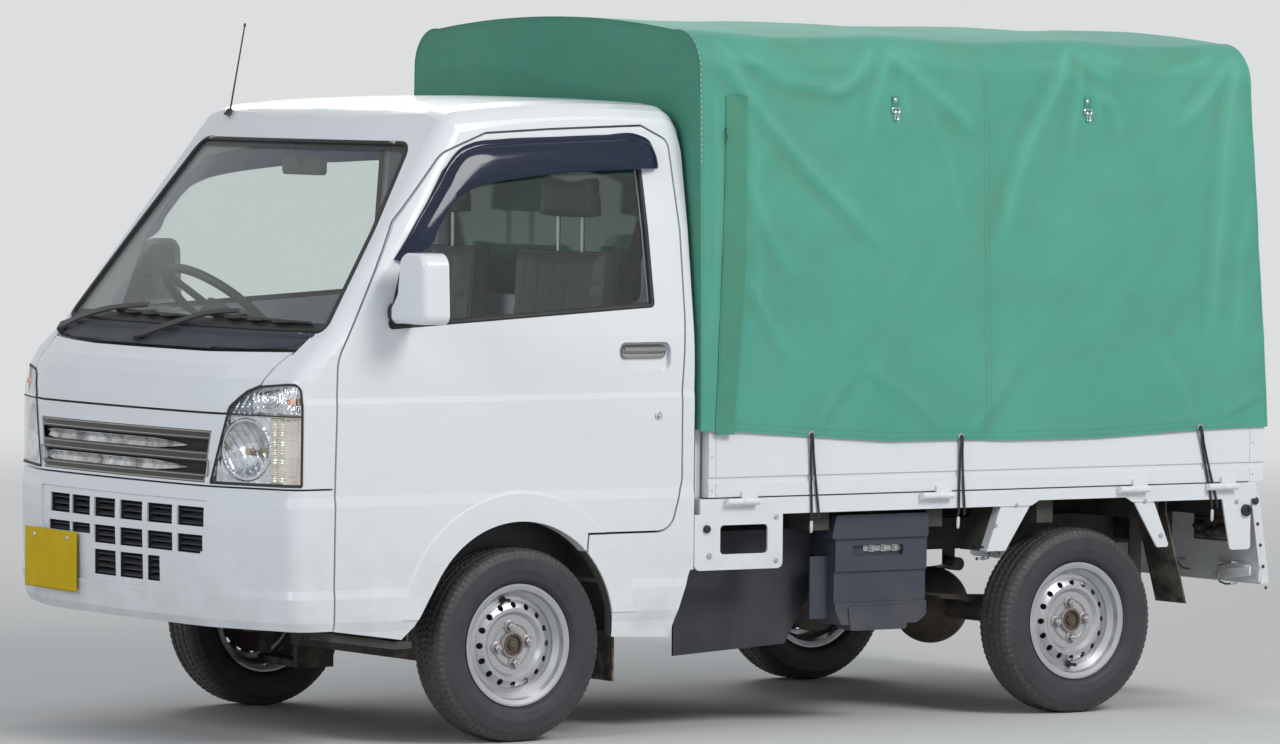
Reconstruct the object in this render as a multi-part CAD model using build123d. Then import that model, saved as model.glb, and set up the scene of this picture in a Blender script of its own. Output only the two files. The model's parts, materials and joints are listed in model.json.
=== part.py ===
# A cab-over kei truck with a canvas canopy over its drop-side bed.
# Millimetres. x runs back from the front axle, y to the truck's own right, z up from the road.
# The last step moves everything so that the origin is on the road, under the middle of the truck's box.

import os
from math import cos, radians, sin

from build123d import *

# Overall layout
WHEELBASE = 1905.0
TREAD_FRONT = 1305.0
TREAD_REAR = 1290.0
TYRE_RADIUS = 263.0
TYRE_WIDTH = 145.0
RIM_RADIUS = 166.0
RIM_WIDTH = 114.0
FRONT_TIP_X = -845.0
CAB_HALF_WIDTH = 737.0
CAB_REAR_X = 556.0
CAB_WALL = 36.0
ROOF_Z = 1741.0
PANEL_GAP = 6.0
SEAT_GAP = 0.3
GLASS = 5.0

# Load bed
BED_FRONT_X = 576.0
BED_FLOOR_Z = 650.0
BED_FLOOR_DEPTH = 35.0
BED_HALF_WIDTH = 737.0
GATE_THICKNESS = 32.0
GATE_FRONT_X = 603.0
GATE_REAR_X = 2552.0
GATE_BOTTOM_Z = 648.0
GATE_TOP_Z = 937.0
GATE_PIN_Y = 750.0
GATE_PIN_Z = 635.0
TAILGATE_PIN_X = 2547.0
TAILGATE_PIN_Z = 640.0
TAILGATE_THICKNESS = 30.0
TAILGATE_HALF_WIDTH = 698.0
TAILGATE_OPEN = 171.0
SILL_TOP_Z = 644.0
SILL_BOTTOM_Z = 598.0
SILL_DEPTH = 37.0

# Chassis
FRAME_HALF_WIDTH = 380.0
RAIL_WIDTH = 50.0
RAIL_FRONT_BOTTOM_Z = 300.0
RAIL_FRONT_TOP_Z = 390.0
RAIL_REAR_BOTTOM_Z = 455.0
RAIL_REAR_TOP_Z = 545.0
FRAME_REAR_X = 2500.0

# Steering
KINGPIN_LOW_Y = 612.0
KINGPIN_LOW_Z = 160.0
KINGPIN_TOP_Y = 505.0
KINGPIN_TOP_Z = 590.0

# Canopy
CANOPY_HALF_WIDTH = 745.0
CLOTH = 6.0
CANOPY_FRONT_X = 569.0
CANOPY_REAR_TOP_X = 2486.0
CANOPY_REAR_BOTTOM_X = 2559.0
CANOPY_SKIRT_Z = 945.0
HOOP_RADIUS = 13.0
# The hoops' bends cut their corners, so their corners stand this much above the cloth's inside.
HOOP_RISE = 0.9

# Cab
ARCH_X = -12.0
ARCH_Z = 297.0
ARCH_RADIUS = 303.0
FLARE_RADIUS = 392.0
FLARE_Y = 739.5
FLARE_FOOT_Z = 345.0

tailgate_height = GATE_TOP_Z - GATE_BOTTOM_Z
tailgate_foot_x = (
    TAILGATE_PIN_X
    + (tailgate_height + GATE_BOTTOM_Z - TAILGATE_PIN_Z) * sin(radians(TAILGATE_OPEN))
    - TAILGATE_THICKNESS / 2 * cos(radians(TAILGATE_OPEN))
)
middle_x = (FRONT_TIP_X + tailgate_foot_x) / 2


def block(x0, x1, y0, y1, z0, z1):
    """A box between three pairs of values."""
    return Pos((x0 + x1) / 2, (y0 + y1) / 2, (z0 + z1) / 2) * Box(x1 - x0, y1 - y0, z1 - z0)


def flat(points, radii):
    """A face with the given corners, each rounded by its own radius, or all by one."""
    if isinstance(radii, (int, float)) and radii == 0:
        return make_face(Polyline(*points, close=True))
    return make_face(FilletPolyline(*points, radius=radii, close=True))


def side_prism(points, y0, y1, radii=0):
    """An outline in x and z, carried from y0 to y1."""
    return extrude(flat([(x, y0, z) for x, z in points], radii), amount=y1 - y0, dir=(0, 1, 0))


def front_prism(points, x0, x1, radii=0):
    """An outline in y and z, carried from x0 to x1."""
    return extrude(flat([(x0, y, z) for y, z in points], radii), amount=x1 - x0, dir=(1, 0, 0))


def plan_prism(points, z0, z1, radii=0):
    """An outline in x and y, carried from z0 to z1."""
    return extrude(flat([(x, y, z0) for x, y in points], radii), amount=z1 - z0, dir=(0, 0, 1))


def rod(start, end, radius):
    """A round bar from one point to another."""
    run = Vector(*end) - Vector(*start)
    return Solid.make_cylinder(radius, run.length, Plane(origin=start, z_dir=run))


def bent_tube(points, radius, bend):
    """A round tube whose middle line has the given corners, each bent to one radius."""
    path = FilletPolyline(*points, radius=bend)
    start = Vector(*points[0])
    ring = Plane(origin=start, z_dir=Vector(*points[1]) - start) * Circle(radius)
    return sweep(ring, path=path)


def group(*shapes):
    """One node made of solids that stay separate."""
    return Compound([solid for shape in shapes for solid in shape.solids()])


def right_of(left):
    """The same piece on the truck's other side."""
    return mirror(left, about=Plane.XZ)


def both_sides(left):
    return group(left, right_of(left))


# Cab form: plan sections up the front, and long sections across the roof.
# columns: z, x at the middle, x and y at the knee, x at the corner, half width
CAB_SECTIONS = (
    (230, -790, -774, 440, -680, 726),
    (318, -812, -796, 440, -698, 731),
    (345, -828, -810, 446, -712, 737),
    (408, -838, -821, 450, -724, 738),
    (432, -840, -822, 452, -721, 734),
    (600, -845, -826, 456, -726, 735),
    (652, -844, -825, 456, -726, 736),
    (680, -843, -824, 456, -724, 732),
    (697, -842, -824, 456, -724, 732),
    (712, -838, -821, 456, -722, 732),
    (893, -838, -820, 456, -721, 734),
    (926, -836, -817, 456, -719, 734),
    (942, -833, -814, 456, -716, 731),
    (990, -817, -797, 456, -702, 732),
    (1024, -789, -767, 456, -682, 732),
    (1056, -748, -726, 456, -652, 731),
    (1100, -686, -664, 456, -606, 728),
    (1385, -470, -447, 420, -398, 692),
    (1634, -288, -264, 380, -222, 649),
    (1800, -167, -142, 360, -104, 622),
)
# columns: y, how far the roof is below its middle line, how far its front edge is set back
ROOF_SECTIONS = (
    (0, 0, -4),
    (300, 3, 8),
    (520, 9, 25),
    (590, 17, 36),
    (620, 31, 30),
    (638, 52, 18),
    (652, 88, -8),
    (675, 150, -50),
    (770, 420, -240),
)
KNEE_RADIUS = 420.0
CORNER_RADIUS = 62.0


def cab_form(inset):
    """The solid form of the cab, or the same form drawn in by a wall's thickness."""
    plans = []
    for z, x_middle, x_knee, y_knee, x_corner, half_width in CAB_SECTIONS:
        half_width = half_width - inset
        rear_x = CAB_REAR_X - inset
        corners = ((x_corner + inset, half_width), (rear_x, half_width))
        corners += ((rear_x, -half_width), (x_corner + inset, -half_width))
        knee = x_knee + inset
        with BuildSketch(Plane.XY.offset(z)) as plan:
            with BuildLine():
                ThreePointArc((knee, -y_knee), (x_middle + inset, 0), (knee, y_knee))
                Polyline((knee, y_knee), *corners, (knee, -y_knee))
            make_face()
            bends = plan.vertices().filter_by(lambda v: v.X < -60)
            fillet(bends.filter_by(lambda v: abs(v.Y) < half_width - 20), KNEE_RADIUS)
            bends = plan.vertices().filter_by(lambda v: v.X < -60)
            fillet(bends.filter_by(lambda v: abs(v.Y) > half_width - 1), max(CORNER_RADIUS - inset, 10))
        plans.append(plan.sketch)
    body = loft(plans, ruled=True)

    roofs = []
    rows = [(-y, drop, back) for y, drop, back in reversed(ROOF_SECTIONS[1:])] + list(ROOF_SECTIONS)
    for y, drop, back in rows:
        if abs(y) > 400:
            y = y - inset if y > 0 else y + inset
        z = ROOF_Z - drop - inset
        front = back + inset * 1.2
        rear = CAB_REAR_X - inset
        with BuildSketch(Plane.XZ.offset(-y)) as long_section:
            with BuildLine():
                Polyline((front - 325, z - 141), (front - 1150, z - 400), (front - 1150, 100), (rear, 100), (rear, z - 64))
                ThreePointArc((rear, z - 64), (rear - 15, z - 20), (rear - 52, z - 4))
                ThreePointArc((rear - 52, z - 4), (150, z), (front - 176, z - 20))
                ThreePointArc((front - 176, z - 20), (front - 227, z - 39), (front - 262, z - 70))
                Line((front - 262, z - 70), (front - 325, z - 141))
            make_face()
        roofs.append(long_section.sketch)
    roof = loft(roofs, ruled=True)
    return body & roof


# Cab openings. Side outlines are in x and z, front outlines in y and z.
DOOR_OUTLINE = (
    (-600, 150),
    (-596, 706),
    (-590, 1045),
    (-378, 1406),
    (-219, 1590),
    (-75, 1643),
    (138, 1654),
    (430, 1664),
    (512, 1624),
    (527, 1378),
    (526, 1141),
    (513, 934),
    (515, 700),
    (478, 563),
    (205, 563),
    (170, 150),
)
DOOR_RADII = (0, 0, 120, 0, 90, 0, 0, 0, 34, 0, 0, 0, 40, 55, 0, 0)
WINDOW_OUTLINE = ((-436, 1122), (-366, 1336), (-216, 1562), (60, 1608), (418, 1622), (432, 1172))
WINDOW_RADII = (14, 60, 70, 0, 34, 14)
HOOD_OUTLINE = (
    (-506, 899),
    (-512, 916),
    (-560, 960),
    (-598, 976),
    (-626, 1062),
    (-300, 1054),
    (300, 1054),
    (626, 1062),
    (598, 976),
    (560, 960),
    (512, 916),
    (506, 899),
)
COWL_OUTLINE = ((-638, 1101), (-638, 1070), (-300, 1062), (300, 1062), (638, 1070), (638, 1101))
COWL_HOLE = ((-640, 1101), (-640, 1056), (640, 1056), (640, 1101))
HEADLIGHT_OUTLINE = (
    (-452, 709),
    (-462, 740),
    (-510, 892),
    (-516.5, 913),
    (-563, 955),
    (-601, 971),
    (-800, 989),
    (-800, 709),
)
GRILLE_OUTLINE = ((-430, 709), (-456, 849), (456, 849), (430, 709))
WINDSHIELD_OUTLINE = ((-686, 1112), (-622, 1385), (-548, 1622), (548, 1622), (622, 1385), (686, 1112))
WINDSHIELD_RADII = (26, 0, 60, 60, 0, 26)
REAR_WINDOW_OUTLINE = ((-520, 1180), (-520, 1560), (520, 1560), (520, 1180))

BUMPER_TOP_Z = 703.0
BUMPER_REAR_X = -606.0
BUMPER_BOTTOM_Z = 322.0
CORNER_PANEL_TOP_Z = 1101.0
HEADLIGHT_REAR_X = -700.0
LAMP_SIDE = ((-900, 700), (-900, 985), (HEADLIGHT_REAR_X, 985), (HEADLIGHT_REAR_X, 700))
HOOD_WALL = 8.0
COWL_WALL = 20.0
SEAM = 5.0
DOOR_DEPTH_Y = 606.0
# columns: lowest z, highest z
GRILLE_SLOTS = ((733, 765), (792, 824))

# The grid in the bumper. Columns: first y, last y, lowest z, highest z
BUMPER_GRID = (
    (274, 391, 590, 642),
    (156, 262, 590, 642),
    (16, 132, 590, 642),
    (-127, -9, 590, 642),
    (-276, -152, 590, 642),
    (-424, -300, 590, 642),
    (274, 402, 540, 567),
    (156, 262, 540, 567),
    (16, 132, 518, 567),
    (-127, -9, 518, 567),
    (-276, -152, 518, 567),
    (-418, -300, 518, 567),
    (16, 132, 432, 500),
    (-127, -9, 432, 500),
    (-212, -152, 432, 500),
)


BUMPER_RECESS = (
    (-452, 662), (-444, 526), (-238, 508), (-224, 414), (240, 414), (262, 500), (436, 520), (446, 662),
)
RECESS_DEPTH = 7.0
# Breathing slots low on the right corner of the bumper only
VENT_Z = (416, 437, 458, 479)
VENT_DEPTH = 14.0
HANDLE_OUTLINE = ((308, 1000), (308, 1078), (478, 1078), (478, 1000))
HANDLE_DEPTH = 15.0


def door_region(gap):
    """The near door's outline, or the larger one of the hole that it closes."""
    face = flat([(x, 0, z) for x, z in DOOR_OUTLINE], DOOR_RADII)
    if gap:
        face = offset(face, gap, kind=Kind.INTERSECTION)
    return Pos(0, gap - DOOR_DEPTH_Y, 0) * extrude(face, amount=200, dir=(0, -1, 0))


def hood_region(gap):
    """The hood's outline, or the larger one of the hole that it closes."""
    face = flat([(-900, y, z) for y, z in HOOD_OUTLINE], 0)
    if gap:
        face = offset(face, gap, kind=Kind.INTERSECTION)
    return extrude(face, amount=340, dir=(1, 0, 0))


def wheel_opening():
    """The round arch over the front wheel, with its flanks down to the sill."""
    arch = Pos(ARCH_X, 0, ARCH_Z) * Rot(90, 0, 0) * Cylinder(ARCH_RADIUS, 2000)
    flanks = ((-386, 100), (-386, 293), (-348, 327), (-268, 460), (0, 500), (262, 400), (276, 100))
    return arch + side_prism(flanks, -900, 900)


def wheel_flare():
    """The raised band over the near wheel: a flat-topped cone that dies away at the sill."""
    rise, slope = 12, 14
    cone = Cone(FLARE_RADIUS, FLARE_RADIUS - slope, rise)
    cone = Pos(ARCH_X, -FLARE_Y + rise / 2, ARCH_Z) * Rot(90, 0, 0) * cone
    return cone - block(-600, 600, -900, 0, -200, FLARE_FOOT_Z)


def build_cab():
    """The white shell, cut where its panels meet, and its glass."""
    flare = wheel_flare()
    outer = cab_form(0) + flare + right_of(flare)
    shell = outer - cab_form(CAB_WALL)
    arch = wheel_opening()
    sill_line = (
        (-900, 0), (-900, BUMPER_BOTTOM_Z), (-609, 323), (-386, 293), (276, 296), (287, 277),
        (479, 270), (545, 452), (600, 452), (600, 0),
    )
    trimmed = shell - side_prism(sill_line, -900, 900) - arch
    near_hole = door_region(PANEL_GAP)
    near_window = side_prism(WINDOW_OUTLINE, -900, -480, WINDOW_RADII)
    skin = cab_form(-5)
    handle_cup = side_prism(HANDLE_OUTLINE, -900, -600, 22) & (skin - cab_form(HANDLE_DEPTH))
    near_door = (trimmed & door_region(0)) - near_window - handle_cup
    for shift in (-CAB_WALL / 2, CAB_WALL / 2):
        near_door = near_door - Pos(shift, 0, 0) * cab_form(CAB_WALL)
    pane = cab_form(8) - cab_form(8 + GLASS)
    near_pane = pane & near_window

    shell = trimmed - near_hole - right_of(near_hole)
    windshield_prism = front_prism(WINDSHIELD_OUTLINE, -720, -120, WINDSHIELD_RADII)
    rear_prism = front_prism(REAR_WINDOW_OUTLINE, 450, 600, 30)
    windshield = pane & windshield_prism
    rear_window = pane & rear_prism
    shell = shell - windshield_prism - rear_prism

    front = block(-1000, BUMPER_REAR_X, -900, 900, 0, CORNER_PANEL_TOP_Z)
    cab_body = shell - front - block(480, 600, -CAB_HALF_WIDTH + CAB_WALL, CAB_HALF_WIDTH - CAB_WALL, 0, 692)
    nose = shell & front
    bumper = nose & block(-1000, BUMPER_REAR_X, -900, 900, 0, BUMPER_TOP_Z - SEAM)
    bumper = bumper - (front_prism(BUMPER_RECESS, -900, -780, 14) & (skin - cab_form(RECESS_DEPTH)))
    for y0, y1, z0, z1 in BUMPER_GRID:
        bumper = bumper - block(-900, -770, y0, y1, z0, z1)
    vent_band = skin - cab_form(VENT_DEPTH)
    for z in VENT_Z:
        bumper = bumper - (block(-790, -742, 650, 800, z - 6, z + 6) & vent_band)
    lights = front_prism(HEADLIGHT_OUTLINE, -900, HEADLIGHT_REAR_X, (0, 0, 0, 0, 0, 30, 0, 0))
    lights = lights & side_prism(LAMP_SIDE, -900, 0, (0, 0, 28, 0))
    lights = lights + right_of(lights)
    cowl_hole = front_prism(COWL_HOLE, -900, -560)
    grille_hole = front_prism(GRILLE_OUTLINE, -900, -760)
    panel = (nose & block(-1000, BUMPER_REAR_X, -900, 900, BUMPER_TOP_Z, 1200))
    panel = panel - lights - hood_region(PANEL_GAP) - cowl_hole - grille_hole
    lamp_form = outer - cab_form(70)
    lamps = lamp_form & lights
    grille = (cab_form(2) - cab_form(30)) & front_prism(GRILLE_OUTLINE, -900, -760)
    for z0, z1 in GRILLE_SLOTS:
        slot = ((-444, z1), (-440, z0), (440, z0), (444, z1))
        grille = grille - (front_prism(slot, -900, -760) & skin - cab_form(16))
    hood = (outer - cab_form(HOOD_WALL)) & hood_region(0)
    cowl = (cab_form(4) - cab_form(COWL_WALL)) & front_prism(COWL_OUTLINE, -900, BUMPER_REAR_X - 1)
    return {
        "cab_body": cab_body,
        "front_panel": panel,
        "front_bumper": bumper,
        "front_hood": hood,
        "cowl_panel": cowl,
        "headlights": lamps,
        "radiator_grille": grille,
        "windshield": windshield,
        "rear_window": rear_window,
        "door_left": near_door,
        "door_right": right_of(near_door),
        "door_glass_left": near_pane,
        "door_glass_right": right_of(near_pane),
    }


# Inside the cab
FLOOR_Z = 430.0
FLOOR_SHEET = 8.0
FLOOR_HALF_WIDTH = 686.0
SEAT_DECK_Z = 700.0
TOE_X = -350.0
FIREWALL_X = -640.0
LINER_X = -5.0
LINER_Z = 285.0
LINER_RADIUS = 332.0
LINER_SHEET = 6.0
LINER_INNER_Y = 424.0
SEAT_Y = 330.0
WHEEL_Y = 322.0
COLUMN_TILT = 40.0
STEERING_WHEEL_X = -322.0
STEERING_WHEEL_Z = 1140.0
STEERING_WHEEL_RADIUS = 182.0


SILL_FLANGE = ((-600, 316), (-390, 286), (-342, 286), (-342, 268), (-396, 266), (-600, 294))
FLANGE_Y = 712.0


def build_cab_floor():
    """The footwell, the seat deck over the engine and the wheelhouses beside it, as one pressing."""
    deck = SEAT_DECK_Z
    fold = (
        (FIREWALL_X, 1000), (FIREWALL_X, FLOOR_Z), (TOE_X, FLOOR_Z), (TOE_X, deck), (CAB_REAR_X - CAB_WALL, deck),
        (CAB_REAR_X - CAB_WALL, deck - FLOOR_SHEET), (TOE_X + FLOOR_SHEET, deck - FLOOR_SHEET),
        (TOE_X + FLOOR_SHEET, FLOOR_Z - FLOOR_SHEET), (FIREWALL_X - FLOOR_SHEET, FLOOR_Z - FLOOR_SHEET),
        (FIREWALL_X - FLOOR_SHEET, 1000),
    )
    floor = side_prism(fold, -FLOOR_HALF_WIDTH, FLOOR_HALF_WIDTH)
    outer = Pos(LINER_X, 0, LINER_Z) * Rot(90, 0, 0) * Cylinder(LINER_RADIUS + LINER_SHEET, 2 * FLOOR_HALF_WIDTH)
    inner = Pos(LINER_X, 0, LINER_Z) * Rot(90, 0, 0) * Cylinder(LINER_RADIUS, 2000)
    inboard = block(-1000, 1000, -LINER_INNER_Y, LINER_INNER_Y, 0, 900)
    liners = (outer - inner - inboard) & block(-500, 500, -900, 900, LINER_Z, 900)
    web = (block(-345, 340, -LINER_INNER_Y - 6, -LINER_INNER_Y, 400, deck - FLOOR_SHEET))
    tower = Pos(0, -KINGPIN_TOP_Y, (KINGPIN_TOP_Z + 35 + deck - FLOOR_SHEET) / 2) * Cylinder(52, deck - FLOOR_SHEET - KINGPIN_TOP_Z - 35)
    floor = floor + liners + web + right_of(web) + tower + right_of(tower)
    step = block(-596, TOE_X, -FLOOR_HALF_WIDTH, -600, 296, FLOOR_Z - FLOOR_SHEET)
    floor = (floor + step + right_of(step)) & cab_form(CAB_WALL + SEAT_GAP)
    flange = side_prism(SILL_FLANGE, -FLANGE_Y, -610, 3)
    return floor + flange + right_of(flange)


def build_dashboard():
    shape = ((-632, 880), (-632, 1080), (-560, 1112), (-470, 1098), (-430, 1050), (-440, 960), (-520, 880))
    return (side_prism(shape, -680, 680, (0, 20, 30, 30, 20, 20, 0)) & cab_form(CAB_WALL + 0.5)) + build_steering_column()


def build_seat(y):
    """A vinyl bench place: cushion, upright back and head pad on two short posts."""
    cushion = Pos(0, y, 0) * side_prism(((-40, 712), (-60, 850), (390, 830), (400, 712)), -250, 250, (20, 50, 30, 20))
    back = Pos(0, y, 0) * side_prism(((310, 800), (372, 1340), (446, 1350), (440, 800)), -240, 240, (20, 40, 30, 20))
    head = Pos(0, y, 0) * side_prism(((372, 1400), (380, 1530), (444, 1530), (448, 1400)), -130, 130, 25)
    posts = rod((412, y - 60, 1310), (412, y - 60, 1430), 7) + rod((412, y + 60, 1310), (412, y + 60, 1430), 7)
    riser = block(0, 360, y - 200, y + 200, SEAT_DECK_Z, 716)
    return cushion + back + head + posts + riser


def build_steering_wheel():
    """Rim, three spokes and hub, square to the raked column."""
    rim = Torus(STEERING_WHEEL_RADIUS, 13)
    hub = Pos(0, 0, -18) * Cylinder(48, 46)
    wheel = rim + hub
    for angle in (-90, 20, 160):
        wheel = wheel + Rot(0, 0, angle) * Pos(STEERING_WHEEL_RADIUS / 2 + 10, 0, -12) * Box(STEERING_WHEEL_RADIUS - 20, 34, 10)
    return Pos(STEERING_WHEEL_X, WHEEL_Y, STEERING_WHEEL_Z) * Rot(0, COLUMN_TILT, 0) * wheel


def build_steering_column():
    tilt = radians(COLUMN_TILT)
    top = (STEERING_WHEEL_X - 41.5 * sin(tilt), WHEEL_Y, STEERING_WHEEL_Z - 41.5 * cos(tilt))
    foot = (top[0] - 330 * sin(tilt), WHEEL_Y, top[2] - 330 * cos(tilt))
    return rod(foot, top, 24)


# Engine and chassis
def rail_profile(inset):
    """Side view of a chassis rail: low under the cab, higher under the bed."""
    return (
        (-640 + inset, RAIL_FRONT_BOTTOM_Z + inset),
        (430, RAIL_FRONT_BOTTOM_Z + inset),
        (660, RAIL_REAR_BOTTOM_Z + inset),
        (FRAME_REAR_X - inset, RAIL_REAR_BOTTOM_Z + inset),
        (FRAME_REAR_X - inset, RAIL_REAR_TOP_Z - inset),
        (620, RAIL_REAR_TOP_Z - inset),
        (395, RAIL_FRONT_TOP_Z - inset),
        (-640 + inset, RAIL_FRONT_TOP_Z - inset),
    )


# columns: x of the middle, length along x, lowest z, highest z
FRAME_CROSSMEMBERS = (
    (-600, 50, 305, 385),
    (-10, 120, 195, 330),
    (300, 60, 300, 330 - SEAT_GAP),
    (660, 60, 450 + SEAT_GAP, 540),
    (1290, 60, 460, 540),
    (1640, 50, 470, 540),
    (2440, 60, 460, 540),
)


# Posts that carry the cab. Columns: x of the middle, lowest z, underside of the floor above
CAB_MOUNTS = ((-560, 385, FLOOR_Z - FLOOR_SHEET), (470, 400, SEAT_DECK_Z - FLOOR_SHEET))


def build_frame():
    inner_y = FRAME_HALF_WIDTH - RAIL_WIDTH
    rail = side_prism(rail_profile(0), -FRAME_HALF_WIDTH, -inner_y)
    rail = rail - side_prism(rail_profile(5), -FRAME_HALF_WIDTH + 5, -inner_y + 1)
    frame = rail + right_of(rail)
    for x, length, z0, z1 in FRAME_CROSSMEMBERS:
        frame = frame + block(x - length / 2, x + length / 2, -inner_y - 20, inner_y + 20, z0, z1)
    for x, z0, z1 in CAB_MOUNTS:
        post = block(x - 25, x + 25, -FRAME_HALF_WIDTH, -inner_y, z0, z1 - SEAT_GAP)
        frame = frame + post + right_of(post)
    return frame


def build_front_arms():
    """Pressed lower arms, each with a ball pin that the knuckle turns on."""
    outline = ((-60, -330), (60, -330), (24, -600), (10, -626), (-10, -626), (-24, -600))
    arm = plan_prism(outline, 128, 148)
    pin_foot = kingpin_point(140)
    pin_top = kingpin_point(KINGPIN_LOW_Z + 22)
    arm = arm + rod(pin_foot, pin_top, 8) + block(-60, 60, -350, -330, 128, 195)
    return arm


def kingpin_point(z):
    """The near kingpin axis at a height."""
    share = (z - KINGPIN_LOW_Z) / (KINGPIN_TOP_Z - KINGPIN_LOW_Z)
    return (0, -(KINGPIN_LOW_Y + (KINGPIN_TOP_Y - KINGPIN_LOW_Y) * share), z)


def build_knuckle():
    """Hub carrier with its lower boss, and the damper and spring above it on the steering axis."""
    hub = Pos(0, -602, TYRE_RADIUS) * Rot(90, 0, 0) * Cylinder(44, 44)
    boss = rod(kingpin_point(KINGPIN_LOW_Z - 3), kingpin_point(KINGPIN_LOW_Z + 40), 22)
    web = block(-20, 20, -618, -584, 190, 330)
    clamp = block(-22, 22, -600, -540, 300, 345)
    damper = rod(kingpin_point(300), kingpin_point(470), 22)
    stem = rod(kingpin_point(460), kingpin_point(KINGPIN_TOP_Z + 20), 11)
    perch = rod(kingpin_point(462), kingpin_point(468), 35)
    spindle = Pos(0, -640, TYRE_RADIUS) * Rot(90, 0, 0) * Cylinder(14, 50)
    knuckle = hub + boss + web + clamp + damper + stem + perch + spindle
    return knuckle - rod(kingpin_point(120), kingpin_point(KINGPIN_LOW_Z + 24), 8.5)


AXLE_TUBE = 32.0
SPRING_Y = 425.0
SPRING_HALF = 400.0
SPRING_EYE_Z = 345.0
SPRING_WIDTH = 50.0
SPRING_SEAT_Z = 300.0
LEAF = 7.0


def build_rear_axle():
    x = WHEELBASE
    tube = Pos(x, 0, TYRE_RADIUS) * Rot(90, 0, 0) * Cylinder(AXLE_TUBE, 1160)
    bowl = Pos(x, 0, TYRE_RADIUS) * Sphere(112)
    nose = rod((x - 190, 0, TYRE_RADIUS + 12), (x - 60, 0, TYRE_RADIUS), 46)
    plate = Pos(x, -582, TYRE_RADIUS) * Rot(90, 0, 0) * Cylinder(118, 5)
    stub = Pos(x, -610, TYRE_RADIUS) * Rot(90, 0, 0) * Cylinder(14, 90)
    seat = block(x - 40, x + 40, -SPRING_Y - 30, -SPRING_Y + 30, TYRE_RADIUS + 20, SPRING_SEAT_Z)
    return tube + bowl + nose + plate + right_of(plate) + stub + right_of(stub) + seat + right_of(seat)


def build_leaf_springs():
    """Three bowed leaves on each side, the top one rolled into an eye at both ends."""
    x = WHEELBASE
    spring = None
    for number, half in enumerate((SPRING_HALF, SPRING_HALF * 0.75, SPRING_HALF * 0.5)):
        rise = (SPRING_EYE_Z - SPRING_SEAT_Z - 3 * LEAF) * (half / SPRING_HALF) ** 2
        low = SPRING_SEAT_Z + (2 - number) * LEAF
        with BuildSketch(Plane.XZ.offset(SPRING_Y + SPRING_WIDTH / 2)) as section:
            with BuildLine():
                ThreePointArc((x - half, low + rise), (x, low), (x + half, low + rise))
                Line((x + half, low + rise), (x + half, low + rise + LEAF))
                ThreePointArc((x + half, low + rise + LEAF), (x, low + LEAF), (x - half, low + rise + LEAF))
                Line((x - half, low + rise + LEAF), (x - half, low + rise))
            make_face()
        leaf = extrude(section.sketch, amount=SPRING_WIDTH, dir=(0, 1, 0))
        spring = leaf if spring is None else spring + leaf
    for eye_x in (x - SPRING_HALF, x + SPRING_HALF):
        spring = spring + Pos(eye_x, -SPRING_Y, SPRING_EYE_Z) * Rot(90, 0, 0) * Cylinder(20, SPRING_WIDTH)
    hanger = block(x - SPRING_HALF - 22, x - SPRING_HALF + 22, -SPRING_Y - 31, -SPRING_Y - 25, 330, 530)
    cross = block(x - SPRING_HALF - 22, x - SPRING_HALF + 22, -SPRING_Y - 31, -FRAME_HALF_WIDTH, 470, 530)
    shackle = block(x + SPRING_HALF - 22, x + SPRING_HALF + 22, -SPRING_Y - 31, -SPRING_Y - 25, 330, 530)
    arm = block(x + SPRING_HALF - 22, x + SPRING_HALF + 22, -SPRING_Y - 31, -FRAME_HALF_WIDTH, 470, 530)
    return spring + hanger + cross + shackle + arm


# Wheels, drawn about their own middle with the outer side towards -y
RIM_THICKNESS = 5.0
DISC_HOLES = 16
DISC_HOLE_RADIUS = 8.5
DISC_HOLE_CIRCLE = 108.0
HUB_BORE = 15.0
# columns: radius, distance out from the wheel's middle plane, rounding of the corner
TYRE_SECTION = (
    (155, 49.8, 0), (167, 52.3, 0), (178, 66, 10), (205, 72.5, 30), (238, 70, 30), (256, 61, 10), (263, 46, 10),
    (263, -46, 10), (256, -61, 10), (238, -70, 30), (205, -72.5, 30), (178, -66, 10), (167, -52.3, 0), (155, -49.8, 0),
)


def turned(points, radii=0):
    """A section in radius and outward distance, turned about the wheel's axle."""
    face = flat([(radius, -out, 0) for radius, out in points], radii)
    return revolve(face, Axis.Y, 360)


def build_rim():
    """Pressed steel wheel: stepped disc with round holes in a well-base rim."""
    well = turned((
        (166, 57), (166, 52.5), (154.5, 50), (151, 36), (137, 24), (137, -6), (151, -22), (154.5, -50), (166, -52.5),
        (166, -57), (161, -57), (149.5, -54), (146, -25), (132, -9), (132, 27), (146, 39), (149.5, 54), (161, 57),
    ))
    disc = turned((
        (132, 22), (120, 24), (112, 30), (100, 36), (90, 36), (80, 26), (34, 24), (34, 19), (82, 21), (92, 31), (99, 31),
        (109, 25.5), (118, 19), (132, 17),
    ))
    for index in range(DISC_HOLES):
        angle = 360 / DISC_HOLES * index
        disc = disc - Rot(0, angle, 0) * Pos(DISC_HOLE_CIRCLE, 0, 0) * Rot(90, 0, 0) * Cylinder(DISC_HOLE_RADIUS, 140)
    return well + disc


def build_tyre():
    return turned([row[:2] for row in TYRE_SECTION], [row[2] for row in TYRE_SECTION])


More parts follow.
